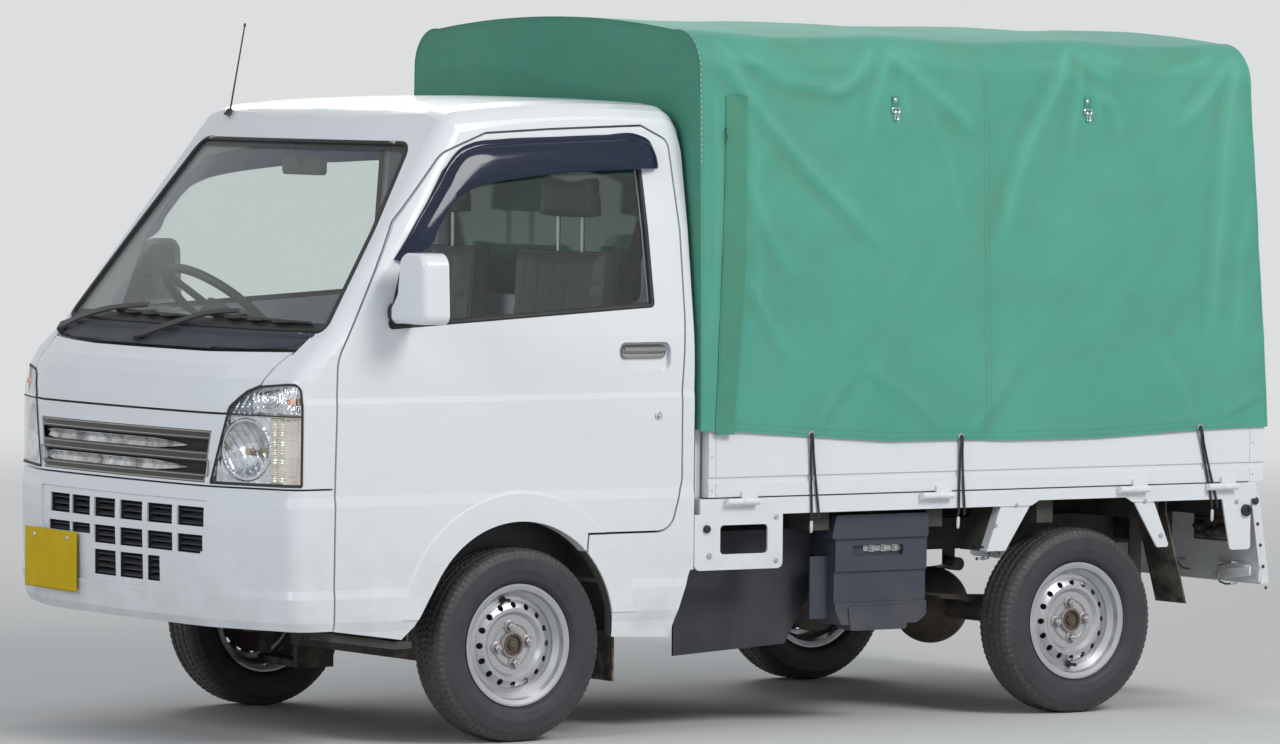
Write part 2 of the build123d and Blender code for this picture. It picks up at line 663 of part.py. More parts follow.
def build_hub(drum_depth):
    """Hub flange with its cap, and the drum or disc behind it."""
    flange = Pos(0, -16, 0) * Rot(90, 0, 0) * Cylinder(62, 6)
    cap = Pos(0, -23, 0) * Rot(90, 0, 0) * (Cylinder(31, 20) - Pos(0, 0, 7) * Cylinder(25, 12))
    cap = cap + Pos(0, -24, 0) * Rot(90, 0, 0) * extrude(RegularPolygon(15, 6), amount=8)
    drum = Pos(0, -13 + drum_depth / 2, 0) * Rot(90, 0, 0) * Cylinder(112, drum_depth)
    hub = flange + cap + drum
    return hub - Pos(0, 60, 0) * Rot(90, 0, 0) * Cylinder(HUB_BORE, 150)


# columns: end of the vehicle, x, half of the tread, depth of the drum or disc
AXLES = (("front", 0.0, TREAD_FRONT / 2, 12.0), ("rear", WHEELBASE, TREAD_REAR / 2, 56.0))


def build_wheels():
    nodes = {}
    rim, tyre = build_rim(), build_tyre()
    for end, x, half_tread, drum in AXLES:
        place = Pos(x, -half_tread, TYRE_RADIUS)
        for side, turn in (("left", lambda s: s), ("right", right_of)):
            nodes[f"rim_{end}_{side}"] = turn(place * group(rim, build_hub(drum)))
            nodes[f"tyre_{end}_{side}"] = turn(place * tyre)
    return nodes


# Bed
FLOOR_REAR_X = 2524.0
SILL_REAR_X = 2524.0
# columns: first x, last x of each hinge barrel under a side gate
GATE_HINGES = ((656, 763), (1320, 1427), (2016, 2123), (2337, 2444))
# columns: x of each cross bearer under the floor
BEARER_X = (640, 1010, 1400, 1790, 2170, 2480)


# The floor's middle is pressed up a little above its margin, where the hoops and the front board stand.
FLOOR_RISE = 1.0
FLOOR_MARGIN_Z = BED_FLOOR_Z - FLOOR_RISE
FLOOR_PANEL_X = 604.0
FLOOR_PANEL_Y = 664.0
RIB_DEPTH = 20.0


def build_bed_floor():
    """Ribbed steel floor on cross bearers that stand on the chassis rails."""
    top = FLOOR_MARGIN_Z
    floor = block(BED_FRONT_X, FLOOR_REAR_X, -700, 700, top - 7, top)
    floor = floor + block(FLOOR_PANEL_X, FLOOR_REAR_X, -FLOOR_PANEL_Y, FLOOR_PANEL_Y, top - 1, BED_FLOOR_Z)
    for y in range(-600, 601, 150):
        floor = floor + block(BED_FRONT_X + 30, FLOOR_REAR_X - 18, y - 18, y + 18, BED_FLOOR_Z - RIB_DEPTH, top - 6)
    for x in BEARER_X:
        floor = floor + block(x - 28, x + 28, -698, 698, RAIL_REAR_TOP_Z, top - 6)
    return floor


STAY_DEPTH = 132.0
# columns: y of each drain slot low in the stay's forward face
STAY_SLOTS_Y = (-706, -666, -628)


def build_bed_rail():
    """Near side rail with its hinge halves, the two brackets below and the stays by the wheel."""
    outer, inner = -BED_HALF_WIDTH, -BED_HALF_WIDTH + SILL_DEPTH
    rail = block(BED_FRONT_X, SILL_REAR_X, outer, inner, SILL_BOTTOM_Z, SILL_TOP_Z)
    rail = rail - block(BED_FRONT_X + 4, SILL_REAR_X - 4, outer + 4, inner + 1, SILL_BOTTOM_Z - 1, SILL_TOP_Z - 4)
    rail = rail - side_prism(((1700, 590), (1740, 612), (2050, 612), (2090, 590)), outer - 1, inner + 1)
    front = side_prism(((558, 448), (558, 602), (853, 602), (853, 448)), outer, outer + 6, (18, 0, 0, 18))
    front = front - side_prism(((643, 491), (643, 571), (803, 571), (803, 491)), outer - 1, outer + 7, 12)
    rear = side_prism(((2431, 451), (2400, 600), (2505, 600), (2505, 451)), outer, outer + 6, (12, 0, 0, 12))
    stays = side_prism(((1560, 472), (1618, 625), (1730, 625), (1625, 472)), outer + 4, outer + 10, (4, 0, 0, 8))
    web = side_prism(((1560, 472), (1609, 600), (1615, 600), (1566, 472)), outer + 4, outer + STAY_DEPTH)
    for y in STAY_SLOTS_Y:
        web = web - block(1500, 1620, y - 9, y + 9, 478, 485)
    stays = stays + web
    stays = stays + side_prism(((2168, 466), (2066, 625), (2142, 625), (2212, 466)), outer + 4, outer + 10, (8, 0, 0, 8))
    rail = rail + front + rear + stays
    for x0, x1 in GATE_HINGES:
        middle = (x0 + x1) / 2
        barrel = Pos((x0 + middle) / 2, -GATE_PIN_Y, GATE_PIN_Z) * Rot(0, 90, 0) * Cylinder(10, middle - x0 - 1)
        lug = block(x0 + 1, middle - 1, -GATE_PIN_Y, outer, GATE_PIN_Z - 9, GATE_PIN_Z - 2)
        pin = Pos(middle + 20, -GATE_PIN_Y, GATE_PIN_Z) * Rot(0, 90, 0) * Cylinder(4, 50)
        rail = rail + barrel + lug + pin
    return rail


# columns: x of the joints between the gate's skin and its two end caps
GATE_STRIPS = (626, 2499)


def build_gate():
    """Near drop side: a double-skinned panel with a pressed step near its foot, and its hinge halves."""
    outer, inner = -BED_HALF_WIDTH, -BED_HALF_WIDTH + GATE_THICKNESS
    gate = block(GATE_FRONT_X, GATE_REAR_X, outer, inner, GATE_BOTTOM_Z, GATE_TOP_Z)
    gate = gate - block(GATE_FRONT_X - 1, GATE_REAR_X + 1, outer - 1, outer + 4, 686, 703)
    gate = gate - block(GATE_FRONT_X + 60, GATE_REAR_X - 60, inner - 5, inner + 1, 690, 900)
    for x in GATE_STRIPS:
        gate = gate - block(x - 1.5, x + 1.5, outer - 1, outer + 2, GATE_BOTTOM_Z - 1, GATE_TOP_Z + 1)
    for x0, x1 in GATE_HINGES:
        middle = (x0 + x1) / 2
        barrel = Pos((middle + x1) / 2, -GATE_PIN_Y, GATE_PIN_Z) * Rot(0, 90, 0) * Cylinder(10, x1 - middle - 1)
        gate = gate + barrel + block(middle + 1, x1 - 1, outer - 8, outer, GATE_PIN_Z + 2, GATE_BOTTOM_Z + 16)
        gate = gate - Pos(middle + 20, -GATE_PIN_Y, GATE_PIN_Z) * Rot(0, 90, 0) * Cylinder(4.6, 54)
    return gate


def tailgate_turn(shape):
    """From closed to hanging, about the tailgate's pin."""
    pin = Axis((TAILGATE_PIN_X, 0, TAILGATE_PIN_Z), (0, 1, 0))
    return shape.rotate(pin, TAILGATE_OPEN)


# columns: first y, last y of each hinge barrel under the tailgate
TAILGATE_HINGES = ((-560, -460), (-60, 40), (460, 560))


def build_tailgate():
    """The rear gate as the photo has it, hanging open, with its latch levers."""
    x0, x1 = TAILGATE_PIN_X - TAILGATE_THICKNESS / 2, TAILGATE_PIN_X + TAILGATE_THICKNESS / 2
    gate = block(x0, x1, -TAILGATE_HALF_WIDTH, TAILGATE_HALF_WIDTH, GATE_BOTTOM_Z + 6, GATE_TOP_Z)
    gate = gate - block(x1 - 4, x1 + 1, -TAILGATE_HALF_WIDTH - 1, TAILGATE_HALF_WIDTH + 1, 686, 703)
    for y0, y1 in TAILGATE_HINGES:
        middle = (y0 + y1) / 2
        barrel = Pos(TAILGATE_PIN_X, (middle + y1) / 2, TAILGATE_PIN_Z) * Rot(90, 0, 0) * Cylinder(10, y1 - middle - 1)
        lug = block(TAILGATE_PIN_X - 6, TAILGATE_PIN_X + 6, middle + 1, y1 - 1, TAILGATE_PIN_Z, GATE_BOTTOM_Z + 8)
        gate = gate + barrel + lug
        gate = gate - Pos(TAILGATE_PIN_X, middle + 20, TAILGATE_PIN_Z) * Rot(90, 0, 0) * Cylinder(4.6, 54)
    lever = block(x1, x1 + 22, -660, -520, 880, 905)
    gate = gate + lever + right_of(lever)
    return tailgate_turn(gate)


def build_rear_beam():
    """Beam across the end of the floor, with the tailgate's hinge halves and the lamp plates."""
    beam = block(2512, 2524, -699, 699, 545, 641.5)
    for y0, y1 in TAILGATE_HINGES:
        middle = (y0 + y1) / 2
        barrel = Pos(TAILGATE_PIN_X, (y0 + middle) / 2, TAILGATE_PIN_Z) * Rot(90, 0, 0) * Cylinder(10, middle - y0 - 1)
        lug = block(2520, TAILGATE_PIN_X, y0 + 1, middle - 1, TAILGATE_PIN_Z - 9, TAILGATE_PIN_Z - 2)
        pin = Pos(TAILGATE_PIN_X, middle + 20, TAILGATE_PIN_Z) * Rot(90, 0, 0) * Cylinder(4, 50)
        beam = beam + barrel + lug + pin
    return beam


def build_front_guard():
    """Front board of the bed with the ladder guard behind the cab."""
    board = block(582, 600, -700, 700, FLOOR_MARGIN_Z + SEAT_GAP, GATE_TOP_Z)
    for y in (-560, -190, 190, 560):
        board = board + rod((591, y, GATE_TOP_Z - 10), (591, y, 1480), 9)
    board = board + rod((591, -578, 1480), (591, 578, 1480), 9)
    return board


# Canopy. Hoops stand on the floor's edge inside the side gates.
# columns: x of each hoop
HOOP_X = (617, 1235, 1900, 2470)
HOOP_FOOT_Y = 684.0
HOOP_SHOULDER_Y = 706.0
# columns: x, z of the crown, z of the shoulder, z of the lower shoulder
CANOPY_ENDS = ((CANOPY_FRONT_X, 1966.0, 1922.0, 1830.0), (CANOPY_REAR_BOTTOM_X, 1941.0, 1897.0, 1805.0))


def canopy_ends(x):
    """Heights of the crown, shoulder and lower shoulder at a station."""
    (x0, *first), (x1, *last) = CANOPY_ENDS
    share = (x - x0) / (x1 - x0)
    return [a + (b - a) * share for a, b in zip(first, last)]


def canopy_section(x, inset, foot_z):
    """Round-shouldered section across the canopy."""
    crown, shoulder, low = canopy_ends(x)
    half = CANOPY_HALF_WIDTH - inset
    top = half - 18
    with BuildSketch(Plane.YZ.offset(x)) as section:
        with BuildLine():
            ThreePointArc((-600, shoulder - inset + 8), (0, crown - inset), (600, shoulder - inset + 8))
            ThreePointArc((600, shoulder - inset + 8), (top - 34, shoulder - inset - 22), (top, low))
            Polyline((top, low), (half, foot_z), (-half, foot_z), (-top, low))
            ThreePointArc((-top, low), (-top + 34, shoulder - inset - 22), (-600, shoulder - inset + 8))
        make_face()
    return section.sketch


def build_canopy():
    x0, x1 = CANOPY_FRONT_X, CANOPY_REAR_BOTTOM_X
    foot = CANOPY_SKIRT_Z
    outer = loft([canopy_section(x0, 0, foot), canopy_section(x1, 0, foot)], ruled=True)
    inner = loft([canopy_section(x0 + CLOTH, CLOTH, foot - 5), canopy_section(x1 + 50, CLOTH, foot - 5)], ruled=True)
    slant = side_prism(((2559, 780), (2486, 1920), (2480, 2100), (2900, 2100), (2900, 780)), -900, 900)
    cover = outer - inner - slant
    front = block(CANOPY_FRONT_X, CANOPY_FRONT_X + CLOTH, -CANOPY_HALF_WIDTH, CANOPY_HALF_WIDTH, 835, foot)
    cover = cover + front
    hem = (
        (CANOPY_FRONT_X + CLOTH, 838), (700, 826), (947, 806), (1464, 786), (2313, 804), (2559, 809), (2550, foot - 0.5),
        (CANOPY_FRONT_X + CLOTH, foot - 0.5),
    )
    skirt = side_prism(hem, -CANOPY_HALF_WIDTH, -CANOPY_HALF_WIDTH + 5)
    return cover, skirt


# Bars between the hoops. Columns: y, height below the canopy's crown, or height above the road where over 500
CANOPY_BARS = ((-486, 46), (0, 20), (486, 46), (-699, 1400), (699, 1400))
BAR_RADIUS = 9.0


def build_canopy_frame():
    """Four bent hoops, with the bars that tie each one to the next."""
    hoops = []
    for x in HOOP_X:
        crown, shoulder, low = canopy_ends(x)
        drop = CLOTH + HOOP_RADIUS - HOOP_RISE
        side = (
            (x, -HOOP_FOOT_Y, FLOOR_MARGIN_Z + SEAT_GAP),
            (x, -HOOP_SHOULDER_Y, low - 60),
            (x, -HOOP_SHOULDER_Y + 20, shoulder - 46),
            (x, -470, crown - drop - 23),
        )
        path = side + ((x, 0, crown - drop + 2),) + tuple((x, -y, z) for x, y, z in reversed(side))
        hoops.append(bent_tube(path, HOOP_RADIUS, (400, 70, 500, 2500, 500, 70, 400)))
    bars = []
    reach = HOOP_RADIUS + SEAT_GAP
    for x0, x1 in zip(HOOP_X, HOOP_X[1:]):
        for y, height in CANOPY_BARS:
            ends = [height if height > 500 else canopy_ends(x)[0] - height for x in (x0, x1)]
            bars.append(rod((x0 + reach, y, ends[0]), (x1 - reach, y, ends[1]), BAR_RADIUS))
    return group(*hoops, *bars)


ROLL_Z = 1801.2


def build_rear_roll():
    return Pos(HOOP_X[-1], 0, ROLL_Z) * Rot(90, 0, 0) * Cylinder(48, 1280)


# Under the bed
def build_splash_panel():
    top = RAIL_REAR_TOP_Z - SEAT_GAP
    return side_prism(((585, top), (1050, top), (1050, 372), (960, 225), (585, 204)), -598, -590)


def build_battery_box():
    outline = ((1080, 278), (1057, 320), (1057, 586), (1371.7, 586), (1371.7, 300), (1340, 278))
    cover = side_prism(outline, -704, -600, (10, 10, 14, 14, 10, 10))
    hood = side_prism(((1038.4, 520), (1054, 586), (1371.7, 586), (1371.7, 520)), -712, -650, (8, 8, 8, 8))
    ledge = side_prism(((1110, 262), (1100, 330), (1310, 330), (1300, 262)), -708, -640, (10, 6, 6, 10))
    slot = side_prism(((1116, 470), (1116, 500), (1290, 500), (1290, 470)), -713, -690, 6)
    step = block(1057, 1400, -705, -697, 340, 428)
    bracket = block(996, 1058, -668, -662, 296, 470)
    return cover + hood + ledge + bracket - slot - step


def build_fuel_tank():
    top = RAIL_REAR_TOP_Z - SEAT_GAP
    outline = ((700, 300), (700, top), (1290, top), (1290, 300))
    return side_prism(outline, 400, 680, 40)


def build_exhaust():
    silencer = Pos(1400, -330, 375) * Rot(90, 0, 0) * Cylinder(72, 400)
    return silencer + rod((520.4, -200, 375), (1360, -200, 375), 20)


def build_mud_flaps():
    under = BED_FLOOR_Z - RIB_DEPTH - SEAT_GAP
    rear = side_prism(((2225, under), (2225, 560), (2300, 298), (2306, 298), (2231, 562), (2231, under)), -696, -560)
    liner_end = LINER_X + LINER_RADIUS
    front = block(liner_end, liner_end + LINER_SHEET, -680, -560, 150, LINER_Z - SEAT_GAP)
    return both_sides(group(rear, front))


def build_tail_lamps():
    lamp = block(2470, 2506, -700, -520, 470, 545)
    return both_sides(lamp)


# The plate in the window's front corner is drawn in x and z, the head and its arm in y and z.
SAIL_OUTLINE = ((-433.5, 1125), (-366, 1328), (-348, 1328), (-336, 1131))
MIRROR_OUTLINE = (
    (-712, 1140), (-905, 1140), (-897, 1329), (-772, 1329), (-758, 1222), (-735, 1192), (-712, 1192),
)
MIRROR_FRONT_X = -432.0
MIRROR_REAR_X = -352.0
MIRROR_GLASS_OUTLINE = ((-890, 1156), (-884, 1314), (-786, 1314), (-772, 1200), (-772, 1156))
# The right mirror is folded back along the door, about an upright pin at its foot.
MIRROR_PIN = (-356.0, -741.0, 0.0)
MIRROR_FOLD = 84.0


def build_mirror(fold):
    """Door mirror: a rounded head whose arm stands on a plate in the window's front corner."""
    window = offset(flat([(x, 0, z) for x, z in WINDOW_OUTLINE], WINDOW_RADII), -SEAT_GAP)
    sail = side_prism(SAIL_OUTLINE, -900, -600) & extrude(window, amount=900, dir=(0, -1, 0))
    sail = sail & (cab_form(-3) - cab_form(8 - SEAT_GAP))
    head = front_prism(MIRROR_OUTLINE, MIRROR_FRONT_X, MIRROR_REAR_X, (0, 26, 40, 34, 14, 14, 0))
    face = head.edges().group_by(Axis.X)[0].filter_by(lambda e: e.center().Y < -730)
    head = fillet(face, 20) - front_prism(MIRROR_GLASS_OUTLINE, MIRROR_REAR_X - 8, MIRROR_REAR_X + 1, 22)
    foot = block(-420, MIRROR_REAR_X, -764, -700, 1140, 1192)
    head = head.rotate(Axis(MIRROR_PIN, (0, 0, 1)), fold) + foot
    return (head - cab_form(-1)) + sail


def build_engine():
    return block(60, 520, -230, 230, 330, 660) + block(520, 700, -110, 110, 330, 450)


def build_propeller_shaft():
    return rod((704, 0, 410), (1713.8, 0, 277), 25)


def build_radiator():
    return block(-775, -735, -330, 330, 340, 690) + block(-735, -625 - SEAT_GAP, -300, 300, 345, 375)


nodes = build_cab()
nodes["cab_floor"] = build_cab_floor()
nodes["dashboard"] = build_dashboard()
nodes["seats"] = both_sides(build_seat(-SEAT_Y))
nodes["steering_wheel"] = build_steering_wheel()
nodes["ladder_frame"] = build_frame()
nodes["front_lower_arms"] = both_sides(build_front_arms())
nodes["knuckle_left"] = build_knuckle()
nodes["knuckle_right"] = right_of(nodes["knuckle_left"])
nodes["rear_axle"] = build_rear_axle()
nodes["leaf_springs"] = both_sides(build_leaf_springs())
nodes.update(build_wheels())
nodes["bed_floor"] = build_bed_floor()
nodes["bed_side_rails"] = both_sides(build_bed_rail())
nodes["rear_beam"] = build_rear_beam()
nodes["gate_left"] = build_gate()
nodes["gate_right"] = right_of(nodes["gate_left"])
nodes["tailgate"] = build_tailgate()
nodes["front_guard"] = build_front_guard()
cover, skirt = build_canopy()
nodes["canopy_cover"] = cover
nodes["canopy_skirt_left"] = skirt
nodes["canopy_skirt_right"] = right_of(skirt)
nodes["canopy_frame"] = build_canopy_frame()
nodes["canopy_rear_roll"] = build_rear_roll()
nodes["splash_panel"] = build_splash_panel()
nodes["battery_box"] = build_battery_box()
nodes["fuel_tank"] = build_fuel_tank()
nodes["exhaust_muffler"] = build_exhaust()
nodes["mud_flaps"] = build_mud_flaps()
nodes["tail_lamps"] = build_tail_lamps()
nodes["mirror_left"] = build_mirror(0)
nodes["mirror_right"] = right_of(build_mirror(MIRROR_FOLD))
nodes["engine_block"] = build_engine()
nodes["propeller_shaft"] = build_propeller_shaft()
nodes["radiator"] = build_radiator()

# The right mirror is folded and the left one isn't, so the box's middle is beside the truck's middle line.
middle_y = (nodes["mirror_left"].bounding_box().min.Y + nodes["mirror_right"].bounding_box().max.Y) / 2

os.makedirs("parts", exist_ok=True)
for name, shape in nodes.items():
    export_step(Pos(-middle_x, -middle_y, 0) * shape, f"parts/{name}.step")
print(len(nodes), "nodes")
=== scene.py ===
# %% [markdown]
# A small cab-over truck with a canvas canopy, dressed for a studio picture.
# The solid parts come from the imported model, which stands here as a fixed frame in metres:
# the front faces -X, the truck's own left side faces -Y and +Z is up.
# This lesson gives each surface its finish and adds the small things that a drawing leaves out,
# such as lamps' insides, wiper arms, straps, nuts and the sewn canvas.

# %% Load the frame
import json
import math

import bmesh
import bpy
import numpy as np
from mathutils import Matrix, Vector
from mathutils.bvhtree import BVHTree


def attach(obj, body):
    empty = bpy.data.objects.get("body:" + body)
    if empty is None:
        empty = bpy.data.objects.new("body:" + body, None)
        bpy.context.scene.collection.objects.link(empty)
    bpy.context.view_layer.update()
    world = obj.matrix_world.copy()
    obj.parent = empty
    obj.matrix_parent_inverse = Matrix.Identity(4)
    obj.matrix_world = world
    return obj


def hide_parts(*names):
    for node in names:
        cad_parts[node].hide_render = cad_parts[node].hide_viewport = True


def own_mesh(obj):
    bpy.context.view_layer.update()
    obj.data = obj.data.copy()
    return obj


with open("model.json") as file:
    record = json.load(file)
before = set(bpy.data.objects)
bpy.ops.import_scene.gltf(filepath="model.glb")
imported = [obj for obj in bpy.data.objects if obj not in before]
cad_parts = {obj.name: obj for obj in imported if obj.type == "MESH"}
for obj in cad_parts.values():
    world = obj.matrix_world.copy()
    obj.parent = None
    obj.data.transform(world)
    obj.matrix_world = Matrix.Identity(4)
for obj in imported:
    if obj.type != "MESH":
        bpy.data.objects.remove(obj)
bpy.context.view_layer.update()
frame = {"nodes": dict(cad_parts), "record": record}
nodes = frame["nodes"]

# %% [markdown]
# The camera comes first. A long lens from far off keeps the truck's sides almost parallel, as in the
# photograph. It stands ahead of the truck's left front corner, a little higher than the bonnet, and
# looks slightly down.

# %% Camera
CAMERA_PLACE = (-12.04724, -17.68221, 1.85841)
CAMERA_YAW = 34.19321
CAMERA_DOWN = 2.40239
CAMERA_ROLL = 0.50037
CAMERA_LENS = 212.23


def camera_turn(yaw, down, roll):
    """Right, up and back directions of a camera that looks along yaw, measured from +Y towards +X."""
    y, d, r = math.radians(yaw), math.radians(down), math.radians(roll)
    ahead = Vector((math.sin(y), math.cos(y), 0))
    right = Vector((math.cos(y), -math.sin(y), 0))
    up = Vector((0, 0, 1))
    look = ahead * math.cos(d) - up * math.sin(d)
    top = up * math.cos(d) + ahead * math.sin(d)
    side = right * math.cos(r) + top * math.sin(r)
    top = top * math.cos(r) - right * math.sin(r)
    return Matrix((side, top, -look)).transposed()


camera_data = bpy.data.cameras.new("camera")
camera_data.sensor_width = 36.0
camera_data.lens = CAMERA_LENS
camera_data.clip_end = 200
camera = bpy.data.objects.new("camera", camera_data)
camera.matrix_world = Matrix.Translation(CAMERA_PLACE) @ camera_turn(CAMERA_YAW, CAMERA_DOWN, CAMERA_ROLL).to_4x4()
bpy.context.scene.collection.objects.link(camera)
bpy.context.scene.camera = camera
print("camera at", CAMERA_PLACE)

# %% [markdown]
# The drawing's own millimetres are easier to read than metres from the middle of the truck, so
# every place below is given in millimetres back from the front axle, across from the middle line
# and up from the road. Small pieces are lists of points and faces; `piece` joins some of them into
# one object, rounds its edges and lets it ride on a body.

# %% Shapes
MIDDLE_X = 881.638
MIDDLE_Y = -36.124
WHEEL_MIDDLE_Y = 322.0
MM = 0.001
# A place ahead of the truck and to its left that is outside everything.
OUTSIDE = -1500
AXIS_ORDER = {"x": (0, 1, 2), "y": (1, 0, 2), "z": (2, 0, 1)}


def at(x, y, z):
    """A place in the drawing's millimetres as a point of the frame."""
    return Vector(((x - MIDDLE_X) * MM, (y - MIDDLE_Y) * MM, z * MM))


def from_frame(point):
    return point.x / MM + MIDDLE_X, point.y / MM + MIDDLE_Y, point.z / MM


def slab(outline, axis, low, high):
    """An outline across an axis, carried from one place on it to another."""
    main, first, second = AXIS_ORDER[axis]
    points = []
    for level in (low, high):
        for a, b in outline:
            place = [0, 0, 0]
            place[main], place[first], place[second] = level, a, b
            points.append(at(*place))
    count = len(outline)
    sides = [(i, (i + 1) % count, (i + 1) % count + count, i + count) for i in range(count)]
    return points, [tuple(range(count))[::-1], tuple(range(count, 2 * count))] + sides


def box(x0, x1, y0, y1, z0, z1):
    return slab(((y0, z0), (y1, z0), (y1, z1), (y0, z1)), "x", x0, x1)


def between(start, end, share):
    """The place that lies a share of the way from one place to another."""
    return tuple(a + (b - a) * share for a, b in zip(start, end))


def ring_axes(direction):
    direction = direction.normalized()
    helper = Vector((0, 0, 1)) if abs(direction.z) < 0.9 else Vector((1, 0, 0))
    first = direction.cross(helper).normalized()
    return first, direction.cross(first).normalized()


def lathe(profile, origin, direction, sides=24):
    """Rows of radius and distance along a line, turned round it. A radius of 0 closes the end."""
    origin, direction = at(*origin), Vector(direction).normalized()
    first, second = ring_axes(direction)
    points, rings = [], []
    for radius, along in profile:
        middle = origin + direction * along * MM
        start = len(points)
        if radius == 0:
            points.append(middle)
            rings.append([start] * sides)
            continue
        for k in range(sides):
            angle = 2 * math.pi * k / sides
            points.append(middle + (first * math.cos(angle) + second * math.sin(angle)) * radius * MM)
        rings.append(list(range(start, start + sides)))
    faces = []
    for low, high in zip(rings, rings[1:]):
        for k in range(sides):
            face = [low[k], low[(k + 1) % sides], high[(k + 1) % sides], high[k]]
            face = list(dict.fromkeys(face))
            if len(face) > 2:
                faces.append(tuple(face))
    for ring, turn in ((rings[0], -1), (rings[-1], 1)):
        if ring[0] != ring[1]:
            faces.append(tuple(ring[::turn]))
    return points, faces


def rod(start, end, radius, sides=12, end_radius=None):
    start, end = Vector(start), Vector(end)
    run = end - start
    return lathe(((radius, 0), (radius if end_radius is None else end_radius, run.length)), start, run, sides)


def sweep(path, section, closed=False, up=(0, 0, 1)):
    """A section of sideways and upward offsets carried along a path of places."""
    places = [at(*p) for p in path]
    count, width = len(places), len(section)
    points, faces = [], []
    for i, place in enumerate(places):
        ahead = places[(i + 1) % count] if closed or i < count - 1 else place
        behind = places[i - 1] if closed or i else place
        run = (ahead - behind).normalized()
        side = run.cross(Vector(up)).normalized()
        top = side.cross(run)
        points += [place + (side * a + top * b) * MM for a, b in section]
    for i in range(count if closed else count - 1):
        for k in range(width):
            a, b = i * width, (i + 1) % count * width
            faces.append((a + k, a + (k + 1) % width, b + (k + 1) % width, b + k))
    if not closed:
        faces += [tuple(range(width))[::-1], tuple(range((count - 1) * width, count * width))]
    return points, faces


def round_section(radius, sides=8, flat=1.0):
    turns = [2 * math.pi * k / sides for k in range(sides)]
    return [(radius * math.cos(t), radius * flat * math.sin(t)) for t in turns]


def grid(rows, close_rows=False, close_columns=False):
    """Rows of points, each joined to the next."""
    count, width = len(rows), len(rows[0])
    points = [p for row in rows for p in row]
    faces = []
    for i in range(count if close_rows else count - 1):
        for k in range(width if close_columns else width - 1):
            a, b, j = i * width, (i + 1) % count * width, (k + 1) % width
            faces.append((a + k, a + j, b + j, b + k))
    return points, faces


def mirrored(shape):
    points, faces = shape
    turn = -2 * MIDDLE_Y * MM
    return [Vector((p.x, turn - p.y, p.z)) for p in points], [tuple(reversed(f)) for f in faces]


def unchanged(shape):
    return shape


SIDES = (("left", unchanged), ("right", mirrored))
SIGNS = (("left", -1), ("right", 1))


def turned(shape, origin, axis, degrees):
    """The same shape, turned about a line through a place."""
    origin = at(*origin)
    turn = Matrix.Rotation(math.radians(degrees), 3, Vector(axis))
    return [origin + turn @ (p - origin) for p in shape[0]], shape[1]


def piece(name, shapes, material, body="root", bevel=0.0, sharp=35, solid=0.0):
    """One object from several shapes. Bevel and thickness are in millimetres."""
    points, faces = [], []
    for shape_points, shape_faces in shapes:
        start = len(points)
        points += [tuple(p) for p in shape_points]
        faces += [tuple(i + start for i in f) for f in shape_faces]
    mesh = bpy.data.meshes.new(name)
    mesh.from_pydata(points, [], faces)
    work = bmesh.new()
    work.from_mesh(mesh)
    bmesh.ops.recalc_face_normals(work, faces=work.faces)
    work.to_mesh(mesh)
    work.free()
    mesh.polygons.foreach_set("use_smooth", [True] * len(mesh.polygons))
    mesh.set_sharp_from_angle(angle=math.radians(sharp))
    mesh.materials.append(material)
    obj = bpy.data.objects.new(name, mesh)
    bpy.context.scene.collection.objects.link(obj)
    if solid:
        thick = obj.modifiers.new("thickness", "SOLIDIFY")
        thick.thickness = solid * MM
        thick.offset = 0
    if bevel:
        rounding = obj.modifiers.new("rounding", "BEVEL")
        rounding.width = bevel * MM
        rounding.segments = 2
        rounding.limit_method = "ANGLE"
        rounding.harden_normals = True
    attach(obj, body)
    return obj


# %% [markdown]
# Trim that lies on the body, such as a window's rubber, has to follow its curves. A ray sent
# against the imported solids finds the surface, and the trim is lifted off it by a hair.

# %% Surface finders
def tree_of(*names):
    points, faces = [], []
    for name in names:
        mesh = nodes[name].data
        start = len(points)
        points += [v.co.copy() for v in mesh.vertices]
        faces += [[start + i for i in p.vertices] for p in mesh.polygons]
    return BVHTree.FromPolygons(points, faces)


glass_tree = tree_of("windshield")
lamp_tree = tree_of("headlights")
bumper_tree = tree_of("front_bumper")


def on_front(tree, y, z, lift=0.0):
    """Where a line from straight ahead meets the truck, moved forward by a lift."""
    hit = tree.ray_cast(at(OUTSIDE, y, z), Vector((1, 0, 0)))[0]
    if hit is None:
        return None
    x, y, z = from_frame(hit)
    return x - lift, y, z


# columns: height, half width of the cab there
CAB_SIDES = ((230, 726), (432, 734), (680, 732), (942, 731), (1056, 731), (1100, 728), (1385, 692), (1634, 649),
             (1800, 622))


def side_y(z):
    heights, halves = zip(*CAB_SIDES)
    return float(np.interp(z, heights, halves))


print("windshield's foot at", on_front(glass_tree, 0, 1130), "cab side at z 1200:", round(side_y(1200), 1))
# %% [markdown]
# Materials are built from small named groups, so the same effect can serve many of them: a slow
# change of tone, fine moulded grain, road dust that gathers low down, and cloth weave. Each group
# has its own inputs, so a material only says how strong and how large the effect is.

# %% Shader groups
COORDINATE = "ShaderNodeTexCoord"


def add(tree, kind, inputs=None, **settings):
    """A node with its settings; an input is a plain value or another node's output."""
    item = tree.nodes.new(kind)
    for key, value in settings.items():
        setattr(item, key, value)
    for key, value in (inputs or {}).items():
        if isinstance(value, bpy.types.NodeSocket):
            tree.links.new(value, item.inputs[key])
        else:
            item.inputs[key].default_value = value
    return item


def maths(tree, operation, *values, clamp=False):
    """The result of a math node."""
    return add(tree, "ShaderNodeMath", dict(enumerate(values)), operation=operation, use_clamp=clamp).outputs[0]


